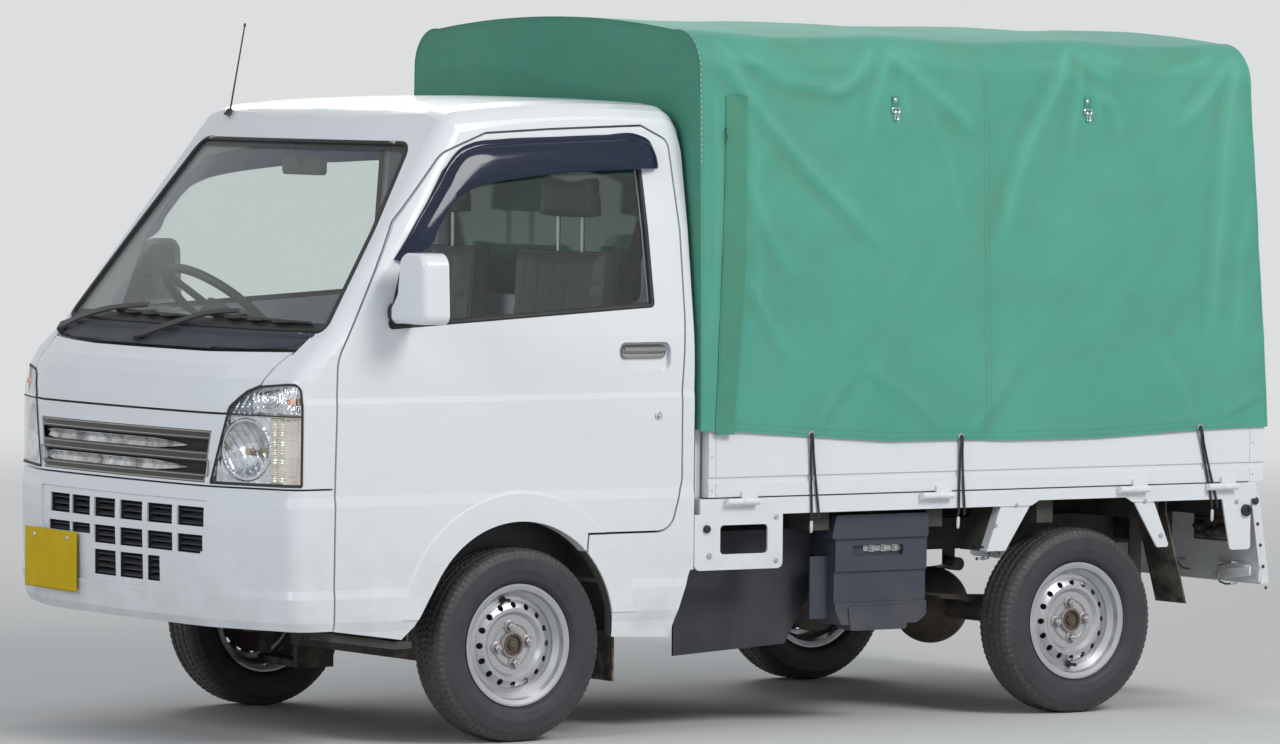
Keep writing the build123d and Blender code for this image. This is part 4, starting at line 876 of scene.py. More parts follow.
# %% Visors
# columns: outer edge x and z on the frame, inner (free) edge x and z, how far the free edge stands out
VISOR = (
    (-402, 1309, -378, 1303, 10), (-380, 1336, -318, 1332, 18), (-312, 1425, -268, 1394, 24),
    (-244, 1512, -213, 1462, 27), (-196, 1577, -176, 1486, 28), (-166, 1603, -137, 1501, 28),
    (-120, 1621, -84, 1512, 28), (-40, 1629, -22, 1521, 28), (145, 1636, 182, 1541, 28),
    (300, 1641, 318, 1546, 28), (420, 1641, 408, 1550, 26), (452, 1626, 432, 1550, 24),
    (466, 1596, 452, 1550, 18), (472, 1560, 466, 1550, 10),
)
# columns: share of the way across, how far out there as a share of the full amount
VISOR_SECTION = ((0, 0.05), (0.14, 0.08), (0.17, 0.55), (0.24, 0.72), (0.5, 0.88), (0.8, 0.97), (0.97, 1.0),
                 (1.0, 0.93))


def smooth_rows(rows, parts):
    """More rows between the given ones, on a smooth curve through them."""
    values = np.array(rows, float)
    steps = np.zeros(len(values))
    steps[1:] = np.cumsum(np.linalg.norm(np.diff(values[:, :2], axis=0), axis=1))
    slopes = np.gradient(values, steps, axis=0)
    result = []
    for i in range(len(values) - 1):
        length = steps[i + 1] - steps[i]
        for k in range(parts):
            t = k / parts
            h = (2 * t**3 - 3 * t**2 + 1, t**3 - 2 * t**2 + t, 3 * t**2 - 2 * t**3, t**3 - t**2)
            result.append(h[0] * values[i] + h[1] * length * slopes[i] + h[2] * values[i + 1] + h[3] * length
                          * slopes[i + 1])
    return result + [values[-1]]


visor_rows = []
for x0, z0, x1, z1, stand in smooth_rows(VISOR, 6):
    row = []
    for share, out in VISOR_SECTION:
        x, z = x0 + (x1 - x0) * share, z0 + (z1 - z0) * share
        skin = -side_y(z) - 1.2
        row.append(at(x, skin - stand * out, z))
    visor_rows.append(row)
visor = grid(visor_rows)
for side, turn in SIDES:
    piece(f"rain_visor_{side}", [turn(visor)], visor_smoke, body=f"cab_door_{side}", solid=2.2, sharp=50)
print("visor rows:", len(visor_rows))

# %% [markdown]
# The mirrors' heads are white and the plates that they stand on are black, which the mask of their
# material sees to. The glass is a thin silvered plate in the rear face.

# %% Mirrors
MIRROR_GLASS = ((-888, 1158), (-882, 1312), (-788, 1312), (-775, 1200), (-775, 1158))
MIRROR_GLASS_X = -356.0
MIRROR_PIN = (-356, -741, 0)
MIRROR_FOLD = 84
glass_plate = slab([tuple(p) for p in rounded(MIRROR_GLASS, 20)], "x", MIRROR_GLASS_X - 3, MIRROR_GLASS_X)
folded = mirrored(turned(glass_plate, MIRROR_PIN, (0, 0, 1), MIRROR_FOLD))
piece("mirror_glass_left", [glass_plate], mirror_glass, body="cab_door_left", bevel=0.6)
piece("mirror_glass_right", [folded], mirror_glass, body="cab_door_right", bevel=0.6)
print("mirrors done")

# %% [markdown]
# Each door has a chromed handle in a shallow cup and a key cylinder under it. The handle is a shell
# with a swelling upper half and a lower half that turns in behind the fingers.

# %% Door handles and locks
HANDLE_X = (322, 466)
HANDLE_Z = (1033, 1070)
# columns: share of the height from the foot, how far out
HANDLE_SECTION = ((0.0, 2), (0.06, 6), (0.14, 8), (0.3, 7), (0.42, 6), (0.46, 15), (0.6, 19), (0.78, 19), (0.92, 13),
                  (1.0, 3))
CUP_DEPTH = 14.0


def handle_shape():
    rows = []
    for share, out in HANDLE_SECTION:
        row = []
        for k in range(25):
            along = k / 24
            edge = min(along, 1 - along) / 0.12
            round_end = math.sqrt(max(0, 1 - (1 - min(edge, 1)) ** 2))
            x = HANDLE_X[0] + (HANDLE_X[1] - HANDLE_X[0]) * along
            middle = sum(HANDLE_Z) / 2
            z = middle + (HANDLE_Z[0] + (HANDLE_Z[1] - HANDLE_Z[0]) * share - middle) * (0.55 + 0.45 * round_end)
            row.append(at(x, -(side_y(z) - CUP_DEPTH + out * (0.35 + 0.65 * round_end)), z))
        rows.append(row)
    return grid(rows)


handle = handle_shape()
cylinder = lathe(((12, -3), (12, 1.5), (10.5, 2.5), (9, 2.2), (8.5, 0.8), (0, 0.8)), (436, -733, 876), (0, -1, 0), 24)
key_slot = slab(((-1, -5), (1, -5), (1, 5), (-1, 5)), "y", -735.4, -734.4)
key_slot = ([p + at(436, 0, 876) - at(0, 0, 0) for p in key_slot[0]], key_slot[1])
# The handles take lip_chrome: their darkened colour is a painted reflection of chrome's dark surroundings.
for side, turn in SIDES:
    piece(f"door_handle_{side}", [turn(handle)], lip_chrome, body=f"cab_door_{side}", solid=1.6)
    piece(f"door_lock_{side}", [turn(cylinder)], steel, body=f"cab_door_{side}")
    piece(f"door_key_slot_{side}", [turn(key_slot)], black_plastic, body=f"cab_door_{side}", bevel=0.2)
print("handles and locks on both doors")

# %% [markdown]
# The radiator grille is smoked chrome with two long slots. In each slot a bright pressed strip
# narrows to a point at both ends, and its face ripples. It glitters from the ripples and from bright and
# near black patches in its colour, which are painted reflections. Thin bright lips edge the slots and the
# whole grille.

# %% Grille brightwork
GRILLE_EDGE = ((-430, 709), (-456, 849), (456, 849), (430, 709))
SLOTS = ((733, 765), (792, 824))
grille_tree = tree_of("radiator_grille")
STRIP_NEAR, STRIP_FAR = -332.0, 428.0
STRIP_COLUMNS = 132
STRIP_ROWS = 8
SLOT_SOFT = 0.0008


def strip_shape(z0, z1, phase):
    middle, half = (z0 + z1) / 2, (z1 - z0) / 2 - 3
    rows = []
    for r in range(STRIP_ROWS + 1):
        across = r / STRIP_ROWS * 2 - 1
        row = []
        for k in range(STRIP_COLUMNS + 1):
            y = STRIP_NEAR + (STRIP_FAR - STRIP_NEAR) * k / STRIP_COLUMNS
            taper = min(1, max(0.0, y - STRIP_NEAR) / 150, 0.45 + (STRIP_FAR - y) / 90) ** 0.7
            z = middle - 3 + across * half * max(taper, 0.02)
            x = meet(grille_tree, FRONT, y, middle)[0]
            ripple = 1.6 * math.sin(y * 0.11 + phase) + 1.0 * math.sin(y * 0.31 + across * 2 + phase)
            hollow = 5.5 * (1 - across * across) * taper
            row.append(at(x - 3 - 6 * taper + hollow + ripple * taper * 0.5, y, z))
        rows.append(row)
    return grid(rows)


strips = [strip_shape(z0, z1, i * 2.0) for i, (z0, z1) in enumerate(SLOTS)]
# The strips' bright and near black patches are painted reflections.
piece("grille_strips", strips, rippled_chrome, solid=1.2)


def lip(points, radius, lift, tree):
    path = laid(tree, FRONT, points, lift)
    return sweep(path, round_section(radius, 8), closed=True, up=(-1, 0, 0))


edge_lip = lip(inset(spread(rounded(GRILLE_EDGE, 8), 25), 4), 2.6, 0.5, grille_tree)
slot_lips = []
for z0, z1 in SLOTS:
    slot_edge = spread(rounded(((-446, z1 + 2), (-442, z0 - 2), (442, z0 - 2), (446, z1 + 2)), 3), 25)
    slot_lips.append(lip(inset(slot_edge, -3), 2.0, 0.3, grille_tree))
piece("grille_edge_lip", [edge_lip], lip_chrome)
piece("grille_slot_lips", slot_lips, lip_chrome)


def slot_mask(tree, spot):
    rows = [joined(tree, "MULTIPLY", past(tree, spot["Height"], z0 * MM, SLOT_SOFT),
                   short_of(tree, spot["Height"], z1 * MM, SLOT_SOFT),
                   short_of(tree, spot["Across"], 0.439)) for z0, z1 in SLOTS]
    return joined(tree, "MAXIMUM", *rows)


grille_paint = two_finishes("grille_paint", smoked_chrome, (0.012, 0.012, 0.014), (0.008, 0.008, 0.009), 0.7, slot_mask)
nodes["radiator_grille"].material_slots[0].material = grille_paint
print("grille strips run from", STRIP_NEAR, "to", STRIP_FAR, "mm across")

# %% [markdown]
# The number plate is a blank pressed sheet. Its rim is raised, its corners are round, and it hangs
# a few degrees askew on two screws.

# %% Number plate
PLATE_BACK = ((-843.9, 211), (-819.4, 540))
PLATE_Z = (375, 540)
plate_start, plate_end = Vector(PLATE_BACK[0]), Vector(PLATE_BACK[1])
plate_run = (plate_end - plate_start).normalized()
plate_out = Vector((-plate_run.y, plate_run.x))
if plate_out.x > 0:
    plate_out = -plate_out
PLATE_WIDTH, PLATE_HEIGHT = 329.0, 165.0
PLATE_RIM = 7.0


def on_plate_at(u, v, out):
    """A place on the plate: u across from its inner edge, v up, out from its back."""
    place = plate_start + plate_run * u + plate_out * out
    return at(max(place.x, -844.9), place.y, PLATE_Z[0] + v)


rows = []
for j in range(34):
    v = PLATE_HEIGHT * j / 33
    row = []
    for i in range(67):
        u = PLATE_WIDTH * i / 66
        edge = min(u, v, PLATE_WIDTH - u, PLATE_HEIGHT - v)
        rim = math.exp(-(((edge - PLATE_RIM) / 2.6) ** 2)) * 1.3
        fold = -1.0 if edge < 0.5 else 0.0
        row.append(on_plate_at(u, v, 1.2 + rim + fold))
    rows.append(row)
piece("number_plate", [grid(rows)], plate_yellow, solid=1.0)
screws = []
for u in (60, PLATE_WIDTH - 60):
    middle = plate_start + plate_run * u
    origin = (middle.x, middle.y, PLATE_Z[0] + 145)
    out = (plate_out.x, plate_out.y, 0)
    screws.append(lathe(((7, 1), (7, 2.2), (6, 3.6), (2.6, 4.1), (2.2, 2.6), (0, 2.6)), origin, out, 18))
piece("plate_screws", screws, steel)
print("plate stands", round(math.degrees(math.atan2(plate_run.x, plate_run.y)), 1), "degrees askew")
# %% [markdown]
# The canopy is a coated canvas pulled over four hoops and laced down at its hem. Cloth held like
# that sags a little between the hoops, and long ridges run down from the places where it is pulled.
# It is built as one fine grid that follows the canopy's section, pushed in and out along its
# normals by a height that adds up the sag, the ridges and fine wrinkles. The part below the top
# of the side gates is cut off as a skirt.

# %% Canopy section
from mathutils import noise

HOOPS = (617, 1235, 1900, 2470)
CANOPY_FRONT_X, CANOPY_REAR_X = 569.0, 2559.0
# Front and rear places add up to this for what is mirrored end for end.
FRONT_PLUS_REAR_X = CANOPY_FRONT_X + 2569
CANOPY_HALF, CANOPY_TOP_HALF = 745.0, 727.0
SKIRT_TOP_Z = 945.0
CLOTH_THICKNESS = 1.4
# columns: x, hem height
HEM = ((569, 831), (672, 829), (944, 807), (1191, 791), (1461, 788), (1556, 784), (1916, 784), (2307, 801), (2568, 805))
# columns: height at the front and at the rear, of the crown, the shoulder and the lower shoulder
CANOPY_HEIGHTS = ((1966, 1941), (1922, 1897), (1830, 1805))
COLUMNS = 150
SIDE_ROWS, SHOULDER_ROWS, TOP_ROWS, SKIRT_ROWS = 66, 14, 44, 11


def canopy_heights(x):
    """Crown, shoulder and lower shoulder at a station."""
    share = (x - CANOPY_FRONT_X) / (CANOPY_REAR_X - CANOPY_FRONT_X)
    return [a + (b - a) * share for a, b in CANOPY_HEIGHTS]


def arc(p, q, r, count):
    """Points on the circle through three points, from the first to the last."""
    (ax, ay), (bx, by), (cx, cy) = p, q, r
    d = 2 * (ax * (by - cy) + bx * (cy - ay) + cx * (ay - by))
    a2, b2, c2 = ax * ax + ay * ay, bx * bx + by * by, cx * cx + cy * cy
    ux = (a2 * (by - cy) + b2 * (cy - ay) + c2 * (ay - by)) / d
    uy = (a2 * (cx - bx) + b2 * (ax - cx) + c2 * (bx - ax)) / d
    radius = math.hypot(ax - ux, ay - uy)
    start, end = math.atan2(ay - uy, ax - ux), math.atan2(cy - uy, cx - ux)
    while end - start > math.pi:
        end -= 2 * math.pi
    while end - start < -math.pi:
        end += 2 * math.pi
    turns = [start + (end - start) * k / count for k in range(count + 1)]
    return [(ux + radius * math.cos(t), uy + radius * math.sin(t)) for t in turns]


def left_half(x):
    """The section's left half from the skirt's top to the crown, as y and z."""
    crown, shoulder, low = canopy_heights(x)
    foot, knee = (-CANOPY_HALF, SKIRT_TOP_Z), (-CANOPY_TOP_HALF, low)
    side = [(foot[0] + (knee[0] - foot[0]) * k / SIDE_ROWS, foot[1] + (knee[1] - foot[1]) * k / SIDE_ROWS)
            for k in range(SIDE_ROWS)]
    bend = arc(knee, (-CANOPY_TOP_HALF + 34, shoulder - 22), (-600, shoulder + 8), SHOULDER_ROWS)[:-1]
    top = arc((-600, shoulder + 8), (0, crown), (600, shoulder + 8), TOP_ROWS)
    return side + bend + top[: TOP_ROWS // 2 + 1]


def whole_section(x):
    """Left hem, up over the crown and down to the right hem, as y and z."""
    hem = float(np.interp(x, *zip(*HEM)))
    skirt = [(-CANOPY_HALF, hem + (SKIRT_TOP_Z - hem) * k / SKIRT_ROWS) for k in range(SKIRT_ROWS)]
    left = skirt + left_half(x)
    return left + [(-y, z) for y, z in reversed(left[:-1])]


def mirror_of(x):
    """The other side has the same folds and fittings in the opposite order from front to back."""
    return FRONT_PLUS_REAR_X - x


def rear_limit(z):
    return float(np.interp(z, (780, 1920, 2100), (2559, 2486, 2480)))


rows_count = len(whole_section(1000))
base = np.zeros((rows_count, COLUMNS + 1, 3))
for j in range(COLUMNS + 1):
    share = j / COLUMNS
    rough_x = CANOPY_FRONT_X + (2520 - CANOPY_FRONT_X) * share
    for i, (y, z) in enumerate(whole_section(rough_x)):
        x = CANOPY_FRONT_X + (rear_limit(z) - CANOPY_FRONT_X) * share
        base[i, j] = (x, y, z)
around = np.zeros(base.shape[:2])
around[1:] = np.cumsum(np.linalg.norm(np.diff(base, axis=0), axis=2), axis=0)
girth = around[-1, COLUMNS // 2]
print("canopy grid", base.shape[:2], "girth", round(girth), "mm, length", round(base[0, -1, 0] - CANOPY_FRONT_X), "mm")

# %% [markdown]
# Each ridge is a line across the side, with a height and a width. Its height fades at both ends,
# and a shallow valley lies on its lower side, as cloth does when it is pulled along a line.

# %% Sag, ridges and wrinkles
# columns: places in x and z, height, width
LEFT_RIDGES = (
    (((591, 1895), (755, 1728), (945, 1545), (1088, 1421), (1243, 1281)), 12, 30),
    (((640, 1900), (700, 1800), (752, 1640), (770, 1420)), 6, 22),
    (((725, 1545), (806, 1362), (921, 1207)), 8, 26),
    (((728, 1248), (809, 1117), (905, 977)), 7, 24),
    (((1197, 1900), (1322, 1792), (1468, 1692), (1547, 1606)), 12, 30),
    (((1168, 1899), (1084, 1783), (971, 1744)), 8, 26),
    (((707, 1873), (848, 1797), (1046, 1768), (1169, 1838)), 9, 28),
    (((1290, 1830), (1420, 1560), (1490, 1300)), 5, 34),
    (((1851, 1905), (1803, 1787), (1707, 1630), (1641, 1474), (1595, 1279)), 12, 30),
    (((1852, 1866), (1922, 1795), (2062, 1741)), -8, 26),
    (((1930, 1890), (2010, 1700), (2060, 1500)), 5, 30),
    (((2474, 1894), (2425, 1750), (2389, 1431), (2362, 1192), (2346, 953)), 10, 30),
    (((2464, 1894), (2354, 1766), (2224, 1646)), 9, 28),
    (((2474, 1886), (2507, 1751), (2533, 1351), (2555, 926), (2556, 797)), 6, 18),
    (((2388, 841), (2479, 879), (2545, 910)), 6, 18),
    (((1110, 1010), (1300, 900), (1440, 800)), 5, 30),
    (((1480, 800), (1580, 900), (1690, 1060)), 6, 26),
    (((960, 815), (1010, 900), (1110, 1010)), 5, 22),
    (((2300, 812), (2240, 930), (2130, 1080)), 5, 26),
    (((1235, 1895), (1200, 1830), (1150, 1700), (1128, 1560)), 8, 22),
    (((1238, 1895), (1262, 1800), (1275, 1660)), 7, 20),
    (((1246, 1898), (1330, 1850), (1440, 1838)), 6, 20),
    (((1900, 1900), (1880, 1780), (1850, 1640), (1838, 1500)), 8, 22),
    (((1902, 1900), (1938, 1760), (1950, 1620)), 6, 20),
    (((1890, 1900), (1800, 1850), (1700, 1838)), 6, 20),
    (((1908, 1898), (1990, 1850), (2090, 1846)), 6, 20),
    (((620, 1905), (690, 1850), (800, 1840)), 6, 18),
    (((614, 1780), (628, 1560), (622, 1330), (604, 1000)), 7, 15),
    (((592, 1700), (600, 1400), (590, 1100), (582, 860)), 5, 12),
    (((745, 1500), (770, 1300), (762, 1100)), 5, 18),
    (((2400, 1890), (2290, 1840), (2190, 1838)), 6, 20),
    (((2510, 1500), (2460, 1300), (2440, 1100), (2450, 900)), 6, 22),
)
FOLD_SHARPNESS, FOLD_SHARE, FOLD_LIMITS = 0.72, 0.62, (-34, 9.5)
SEAM_LINE = ((1534, 1900), (1541, 1863), (1556, 1669), (1557, 1279), (1556, 787))


def signed_distance(px, pz, line):
    """Distance to a polyline with its side as the sign, and the share of the way along it."""
    line = np.array(line, float)
    lengths = np.linalg.norm(np.diff(line, axis=0), axis=1)
    total, done = lengths.sum(), 0.0
    best = np.full(px.shape, 1e9)
    side, along = np.ones(px.shape), np.zeros(px.shape)
    for (ax, az), (bx, bz), length in zip(line, line[1:], lengths):
        ux, uz = (bx - ax) / length, (bz - az) / length
        t = np.clip((px - ax) * ux + (pz - az) * uz, 0, length)
        dx, dz = px - ax - ux * t, pz - az - uz * t
        distance = np.hypot(dx, dz)
        closer = distance < best
        best = np.where(closer, distance, best)
        side = np.where(closer, np.sign(ux * dz - uz * dx), side)
        along = np.where(closer, (done + t) / total, along)
        done += length
    return best * side, along


def ridges_at(px, pz, ridges):
    height = np.zeros(px.shape)
    for line, rise, width in ridges:
        distance, along = signed_distance(px, pz, line)
        fade = np.clip(np.minimum(along / 0.12, (1 - along) / 0.3), 0, 1)
        fade = fade * fade * (3 - 2 * fade)
        width = width * FOLD_SHARPNESS
        ridge = np.exp(-np.abs(distance / width) ** 1.5)
        valley = 0.55 * np.exp(-(((distance + 1.6 * width) / (1.2 * width)) ** 2))
        height += rise * fade * (ridge - valley)
    return height


def wrinkles_at(points):
    """Fine tension wrinkles that slant down and back, and an overall unevenness."""
    result = np.zeros(points.shape[:2])
    for i in range(points.shape[0]):
        for j in range(points.shape[1]):
            x, y, z = points[i, j]
            slant, across = (x + z) / 210, (x - z * 0.7) / 62
            result[i, j] = 2.6 * noise.noise((across, slant, y / 500)) + 2.2 * noise.noise((x / 150, y / 150, z / 150))
            result[i, j] += 0.7 * noise.noise((x / 38, y / 38 + 9, z / 38))
    return result


def sag_share(px):
    """0 at a hoop and 1 midway between two."""
    share = np.zeros(px.shape)
    for a, b in zip(HOOPS, HOOPS[1:]):
        t = np.clip((px - a) / (b - a), 0, 1)
        share = np.maximum(share, np.sin(math.pi * t) ** 2)
    return share


X, Y, Z = base[..., 0], base[..., 1], base[..., 2]
# How far the cloth may sag midway between hoops. Columns: distance round from the crown, sag
SAG = ((0, 8), (243, 15), (486, 9), (600, 16), (700, 24), (790, 22), (1000, 15), (1500, 12), (1650, 4), (1800, 2))
from_crown = np.abs(around - around[rows_count // 2])
height = -sag_share(X) * np.interp(from_crown, *zip(*SAG))
on_side = np.clip((np.abs(Y) - 640) / 60, 0, 1)
left = ridges_at(X, Z, LEFT_RIDGES)
right = ridges_at(mirror_of(X), Z, LEFT_RIDGES)
height += on_side * np.where(Y < 0, left, right)
seam_distance, _ = signed_distance(X, Z, SEAM_LINE)
height += on_side * (1.8 * np.exp(-((seam_distance / 9) ** 2)) - 3.0 * np.exp(-((seam_distance / 40) ** 2)))
near_foot = np.clip((Z - 800) / 260, 0.25, 1)
height += wrinkles_at(base) * near_foot
scallop = np.abs(np.sin((X - 942) / 514 * math.pi))
height += np.where(Z < 1000, (1000 - Z) / 200 * 4.0 * (scallop - 0.5), 0)
height = np.clip(FOLD_SHARE * height, *FOLD_LIMITS)


def blurred(values, reach):
    """The mean of a grid over a square window."""
    padded = np.pad(values, reach, mode="edge")
    sums = np.pad(padded.cumsum(0).cumsum(1), ((1, 0), (1, 0)))
    size = 2 * reach + 1
    return (sums[size:, size:] - sums[:-size, size:] - sums[size:, :-size] + sums[:-size, :-size]) / size ** 2


# The fold height against its surroundings, kept as a point attribute; from it the canvas paints shade into hollows and
# a highlight onto ridges.
folds = (height - blurred(height, 7)) * 1.6
print("canopy height from", round(height.min(), 1), "to", round(height.max(), 1), "mm")

# %% [markdown]
# The heights move the grid's points along its normals. Each sheet is a thin closed shell, and it
# takes its smooth directions from the whole cloth, so that no line shows where a skirt is cut off.

# %% Canopy sheets
def outward_of(points, probe=None, axis=2, sign=1):
    """A grid's unit normals, turned to look along an axis at one probed place if one is given."""
    normals = np.cross(np.gradient(points, axis=1), np.gradient(points, axis=0))
    normals /= np.maximum(np.linalg.norm(normals, axis=2, keepdims=True), 1e-9)
    return -normals if probe and normals[(*probe, axis)] * sign < 0 else normals


crown_place = (rows_count // 2, COLUMNS // 2)
outward = outward_of(base, crown_place)
edge_fade = np.minimum(np.arange(COLUMNS + 1) / 3, 1)
cloth = base + outward * (height * edge_fade)[..., None]
CLOTH_HALF_MOST = 754
# The gates' outer faces stand at 737, so what hangs over them keeps outside them.
GATE_FACE, SKIRT_HALF_LEAST, OVER_GATE_Z = 737, 741.5, 960
cloth[..., 1] = np.clip(cloth[..., 1], -CLOTH_HALF_MOST, CLOTH_HALF_MOST)
below = Z < OVER_GATE_Z
cloth[..., 1] = np.where(below & (Y < 0), np.minimum(cloth[..., 1], -SKIRT_HALF_LEAST), cloth[..., 1])
cloth[..., 1] = np.where(below & (Y > 0), np.maximum(cloth[..., 1], SKIRT_HALF_LEAST), cloth[..., 1])
cloth_out = outward_of(cloth, crown_place)


def cloth_piece(name, points, normals, material, thickness=CLOTH_THICKNESS, folds=None):
    """A thin closed sheet from a grid of drawing places and their outward directions."""
    count, width = points.shape[:2]
    layers = [points, points - normals * thickness]
    vertices = [at(*p) for layer in layers for p in layer.reshape(-1, 3)]
    directions = [Vector(n) * turn for turn in (1, -1) for n in normals.reshape(-1, 3)]
    size, faces = count * width, []
    for i in range(count - 1):
        for j in range(width - 1):
            a, b = i * width + j, (i + 1) * width + j
            faces.append((a, b, b + 1, a + 1))
            faces.append((size + a + 1, size + b + 1, size + b, size + a))
    rim = list(range(width)) + [i * width + width - 1 for i in range(1, count)]
    rim += [(count - 1) * width + j for j in range(width - 2, -1, -1)] + [i * width for i in range(count - 2, 0, -1)]
    faces += [(a, b, b + size, a + size) for a, b in zip(rim, rim[1:] + rim[:1])]
    mesh = bpy.data.meshes.new(name)
    mesh.from_pydata([tuple(v) for v in vertices], [], faces)
    if mesh.polygons[0].normal.dot(directions[0]) < 0:
        mesh.flip_normals()
    mesh.polygons.foreach_set("use_smooth", [True] * len(mesh.polygons))
    mesh.normals_split_custom_set_from_vertices([tuple(d) for d in directions])
    mesh.materials.append(material)
    if folds is not None:
        attribute = mesh.attributes.new("fold", "FLOAT", "POINT")
        attribute.data.foreach_set("value", np.concatenate([folds.ravel()] * 2).astype(np.float32))
    obj = bpy.data.objects.new(name, mesh)
    bpy.context.scene.collection.objects.link(obj)
    return obj


def area_of(points):
    a = np.linalg.norm(np.cross(points[1:, :-1] - points[:-1, :-1], points[:-1, 1:] - points[:-1, :-1]), axis=2)
    return float(a.sum()) / 1e6


main_rows = slice(SKIRT_ROWS, rows_count - SKIRT_ROWS)
cover = cloth_piece("canopy_sheet", cloth[main_rows], cloth_out[main_rows], canvas, folds=folds[main_rows])
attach(cover, "root")
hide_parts("canopy_cover")
print("canopy sheet's area", round(area_of(cloth[main_rows]), 3), "against the form's",
      round(area_of(base[main_rows]), 3))

for side, rows in (("left", slice(0, SKIRT_ROWS + 1)), ("right", slice(rows_count - SKIRT_ROWS - 1, rows_count))):
    skirt = cloth_piece(f"canopy_skirt_{side}_sheet", cloth[rows], cloth_out[rows], canvas, folds=folds[rows])
    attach(skirt, "root")
    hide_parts(f"canopy_skirt_{side}")
    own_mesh(skirt)
    print("skirt's area", side, round(area_of(cloth[rows]), 3))

# %% [markdown]
# The front of the canopy is a separate panel, sewn in along the front hoop. It hangs behind the
# cab, close to it, so it may only ripple by a few millimetres there.

# %% Canopy front
FRONT_COLUMNS, FRONT_ROWS = 96, 84
FRONT_FOOT_Z = 835.0
crown_line = left_half(CANOPY_FRONT_X)[SIDE_ROWS:]
crown_line = crown_line + [(-y, z) for y, z in reversed(crown_line[:-1])]
crown_steps = np.zeros(len(crown_line))
crown_steps[1:] = np.cumsum(np.linalg.norm(np.diff(np.array(crown_line), axis=0), axis=1))
front = np.zeros((FRONT_ROWS + 1, FRONT_COLUMNS + 1, 3))
for j in range(FRONT_COLUMNS + 1):
    share = j / FRONT_COLUMNS
    top_y, top_z = (float(np.interp(share * crown_steps[-1], crown_steps, column)) for column in zip(*crown_line))
    foot_y = -CANOPY_HALF + 2 * CANOPY_HALF * share
    for i in range(FRONT_ROWS + 1):
        t = i / FRONT_ROWS
        y, z = foot_y + (top_y - foot_y) * t, FRONT_FOOT_Z + (top_z - FRONT_FOOT_Z) * t
        edge = min(share, 1 - share, (1 - t) * 0.6) * 16
        ease = min(1.0, edge)
        free = float(np.clip((z - 1500) / 250, 0.25, 1))
        ripple = 3.5 * noise.noise((y / 120, z / 420, 3.0)) + 1.6 * noise.noise((y / 45, z / 160, 7.0))
        ripple += 4.0 * math.exp(-(((z - 1790 - 40 * math.sin(y / 230)) / 24) ** 2)) * (1 if z > 1700 else 0)
        front[i, j] = (CANOPY_FRONT_X + 1.5 - ripple * ease * free, y, z)
# The front panel takes the darker canvas as painted shade.
front_sheet = cloth_piece("canopy_front_sheet", front, outward_of(front, (40, 40), 0, -1), canvas_dark)
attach(front_sheet, "root")
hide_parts("canopy_cover")
print("canopy front's area", round(area_of(front), 3))

# %% [markdown]
# The rear curtain is rolled up under the last hoop. It is a real spiral, four turns of canvas, that
# starts at the canopy's rear edge, and three ties pull it in where they go round it.

# %% Rolled curtain
ROLL_X, ROLL_Z, ROLL_HALF = 2470.0, 1801.2, 628.0
TURNS, STEPS_PER_TURN, ROLL_COLUMNS = 4.0, 26, 90
TIES = (-420.0, 0.0, 420.0)
spiral = []
total_steps = int(TURNS * STEPS_PER_TURN)
for i in range(total_steps + 7):
    row = []
    for j in range(ROLL_COLUMNS + 1):
        y = -ROLL_HALF + 2 * ROLL_HALF * j / ROLL_COLUMNS
        if i <= total_steps:
            angle = 2 * math.pi * i / STEPS_PER_TURN
            radius = 15 + 30 * i / total_steps
            pinch = sum(math.exp(-(((y - tie) / 30) ** 2)) for tie in TIES)
            lump = 1.4 * noise.noise((y / 90, math.cos(angle) * 1.5, math.sin(angle) * 1.5))
            radius = radius * (1 - 0.10 * pinch) + lump
            row.append((ROLL_X + radius * math.cos(angle), y, ROLL_Z + radius * math.sin(angle)))
        else:
            t = (i - total_steps) / 6
            first = spiral[total_steps][j]
            end_z = canopy_heights(2486)[1] - 22 + 60 * (1 - (y / ROLL_HALF) ** 2)
            row.append((first[0] + (2480 - first[0]) * t, y, first[2] + (end_z - 8 - first[2]) * t))
    spiral.append(row)
roll = np.array(spiral)
roll_sheet = cloth_piece("canopy_rear_curtain", roll, outward_of(roll), canvas)
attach(roll_sheet, "root")
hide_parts("canopy_rear_roll")
print("curtain's area", round(area_of(roll), 3))
ties = []
for y in TIES:
    ring = [(ROLL_X + 44.5 * math.cos(2 * math.pi * k / 28), y, ROLL_Z + 44.5 * math.sin(2 * math.pi * k / 28))
            for k in range(28)]
    ties.append(sweep(ring, [(-12, -1), (12, -1), (12, 1), (-12, 1)], closed=True, up=(0, 1, 0)))
piece("curtain_ties", ties, strap_cloth)

# %% [markdown]
# What is sewn or hung on the canvas follows its folds. A ray from the side finds the cloth, so
# that each stitch, tab and strap lies on it.

# %% Places on the cloth
cloth_points, cloth_faces = [], []
for sheet in (cover, bpy.data.objects["canopy_skirt_left_sheet"], bpy.data.objects["canopy_skirt_right_sheet"],
              front_sheet):
    start = len(cloth_points)
    cloth_points += [v.co.copy() for v in sheet.data.vertices]
    cloth_faces += [[start + i for i in p.vertices] for p in sheet.data.polygons]
cloth_tree = BVHTree.FromPolygons(cloth_points, cloth_faces)


def on_cloth(x, z, lift=0.0, side=-1):
    """The canopy's side at a height, lifted outward."""
    hit = cloth_tree.ray_cast(at(x, side * 900, z), Vector((0, -side, 0)))[0]
    y = side * CANOPY_HALF if hit is None else from_frame(hit)[1]
    return x, y + side * lift, z


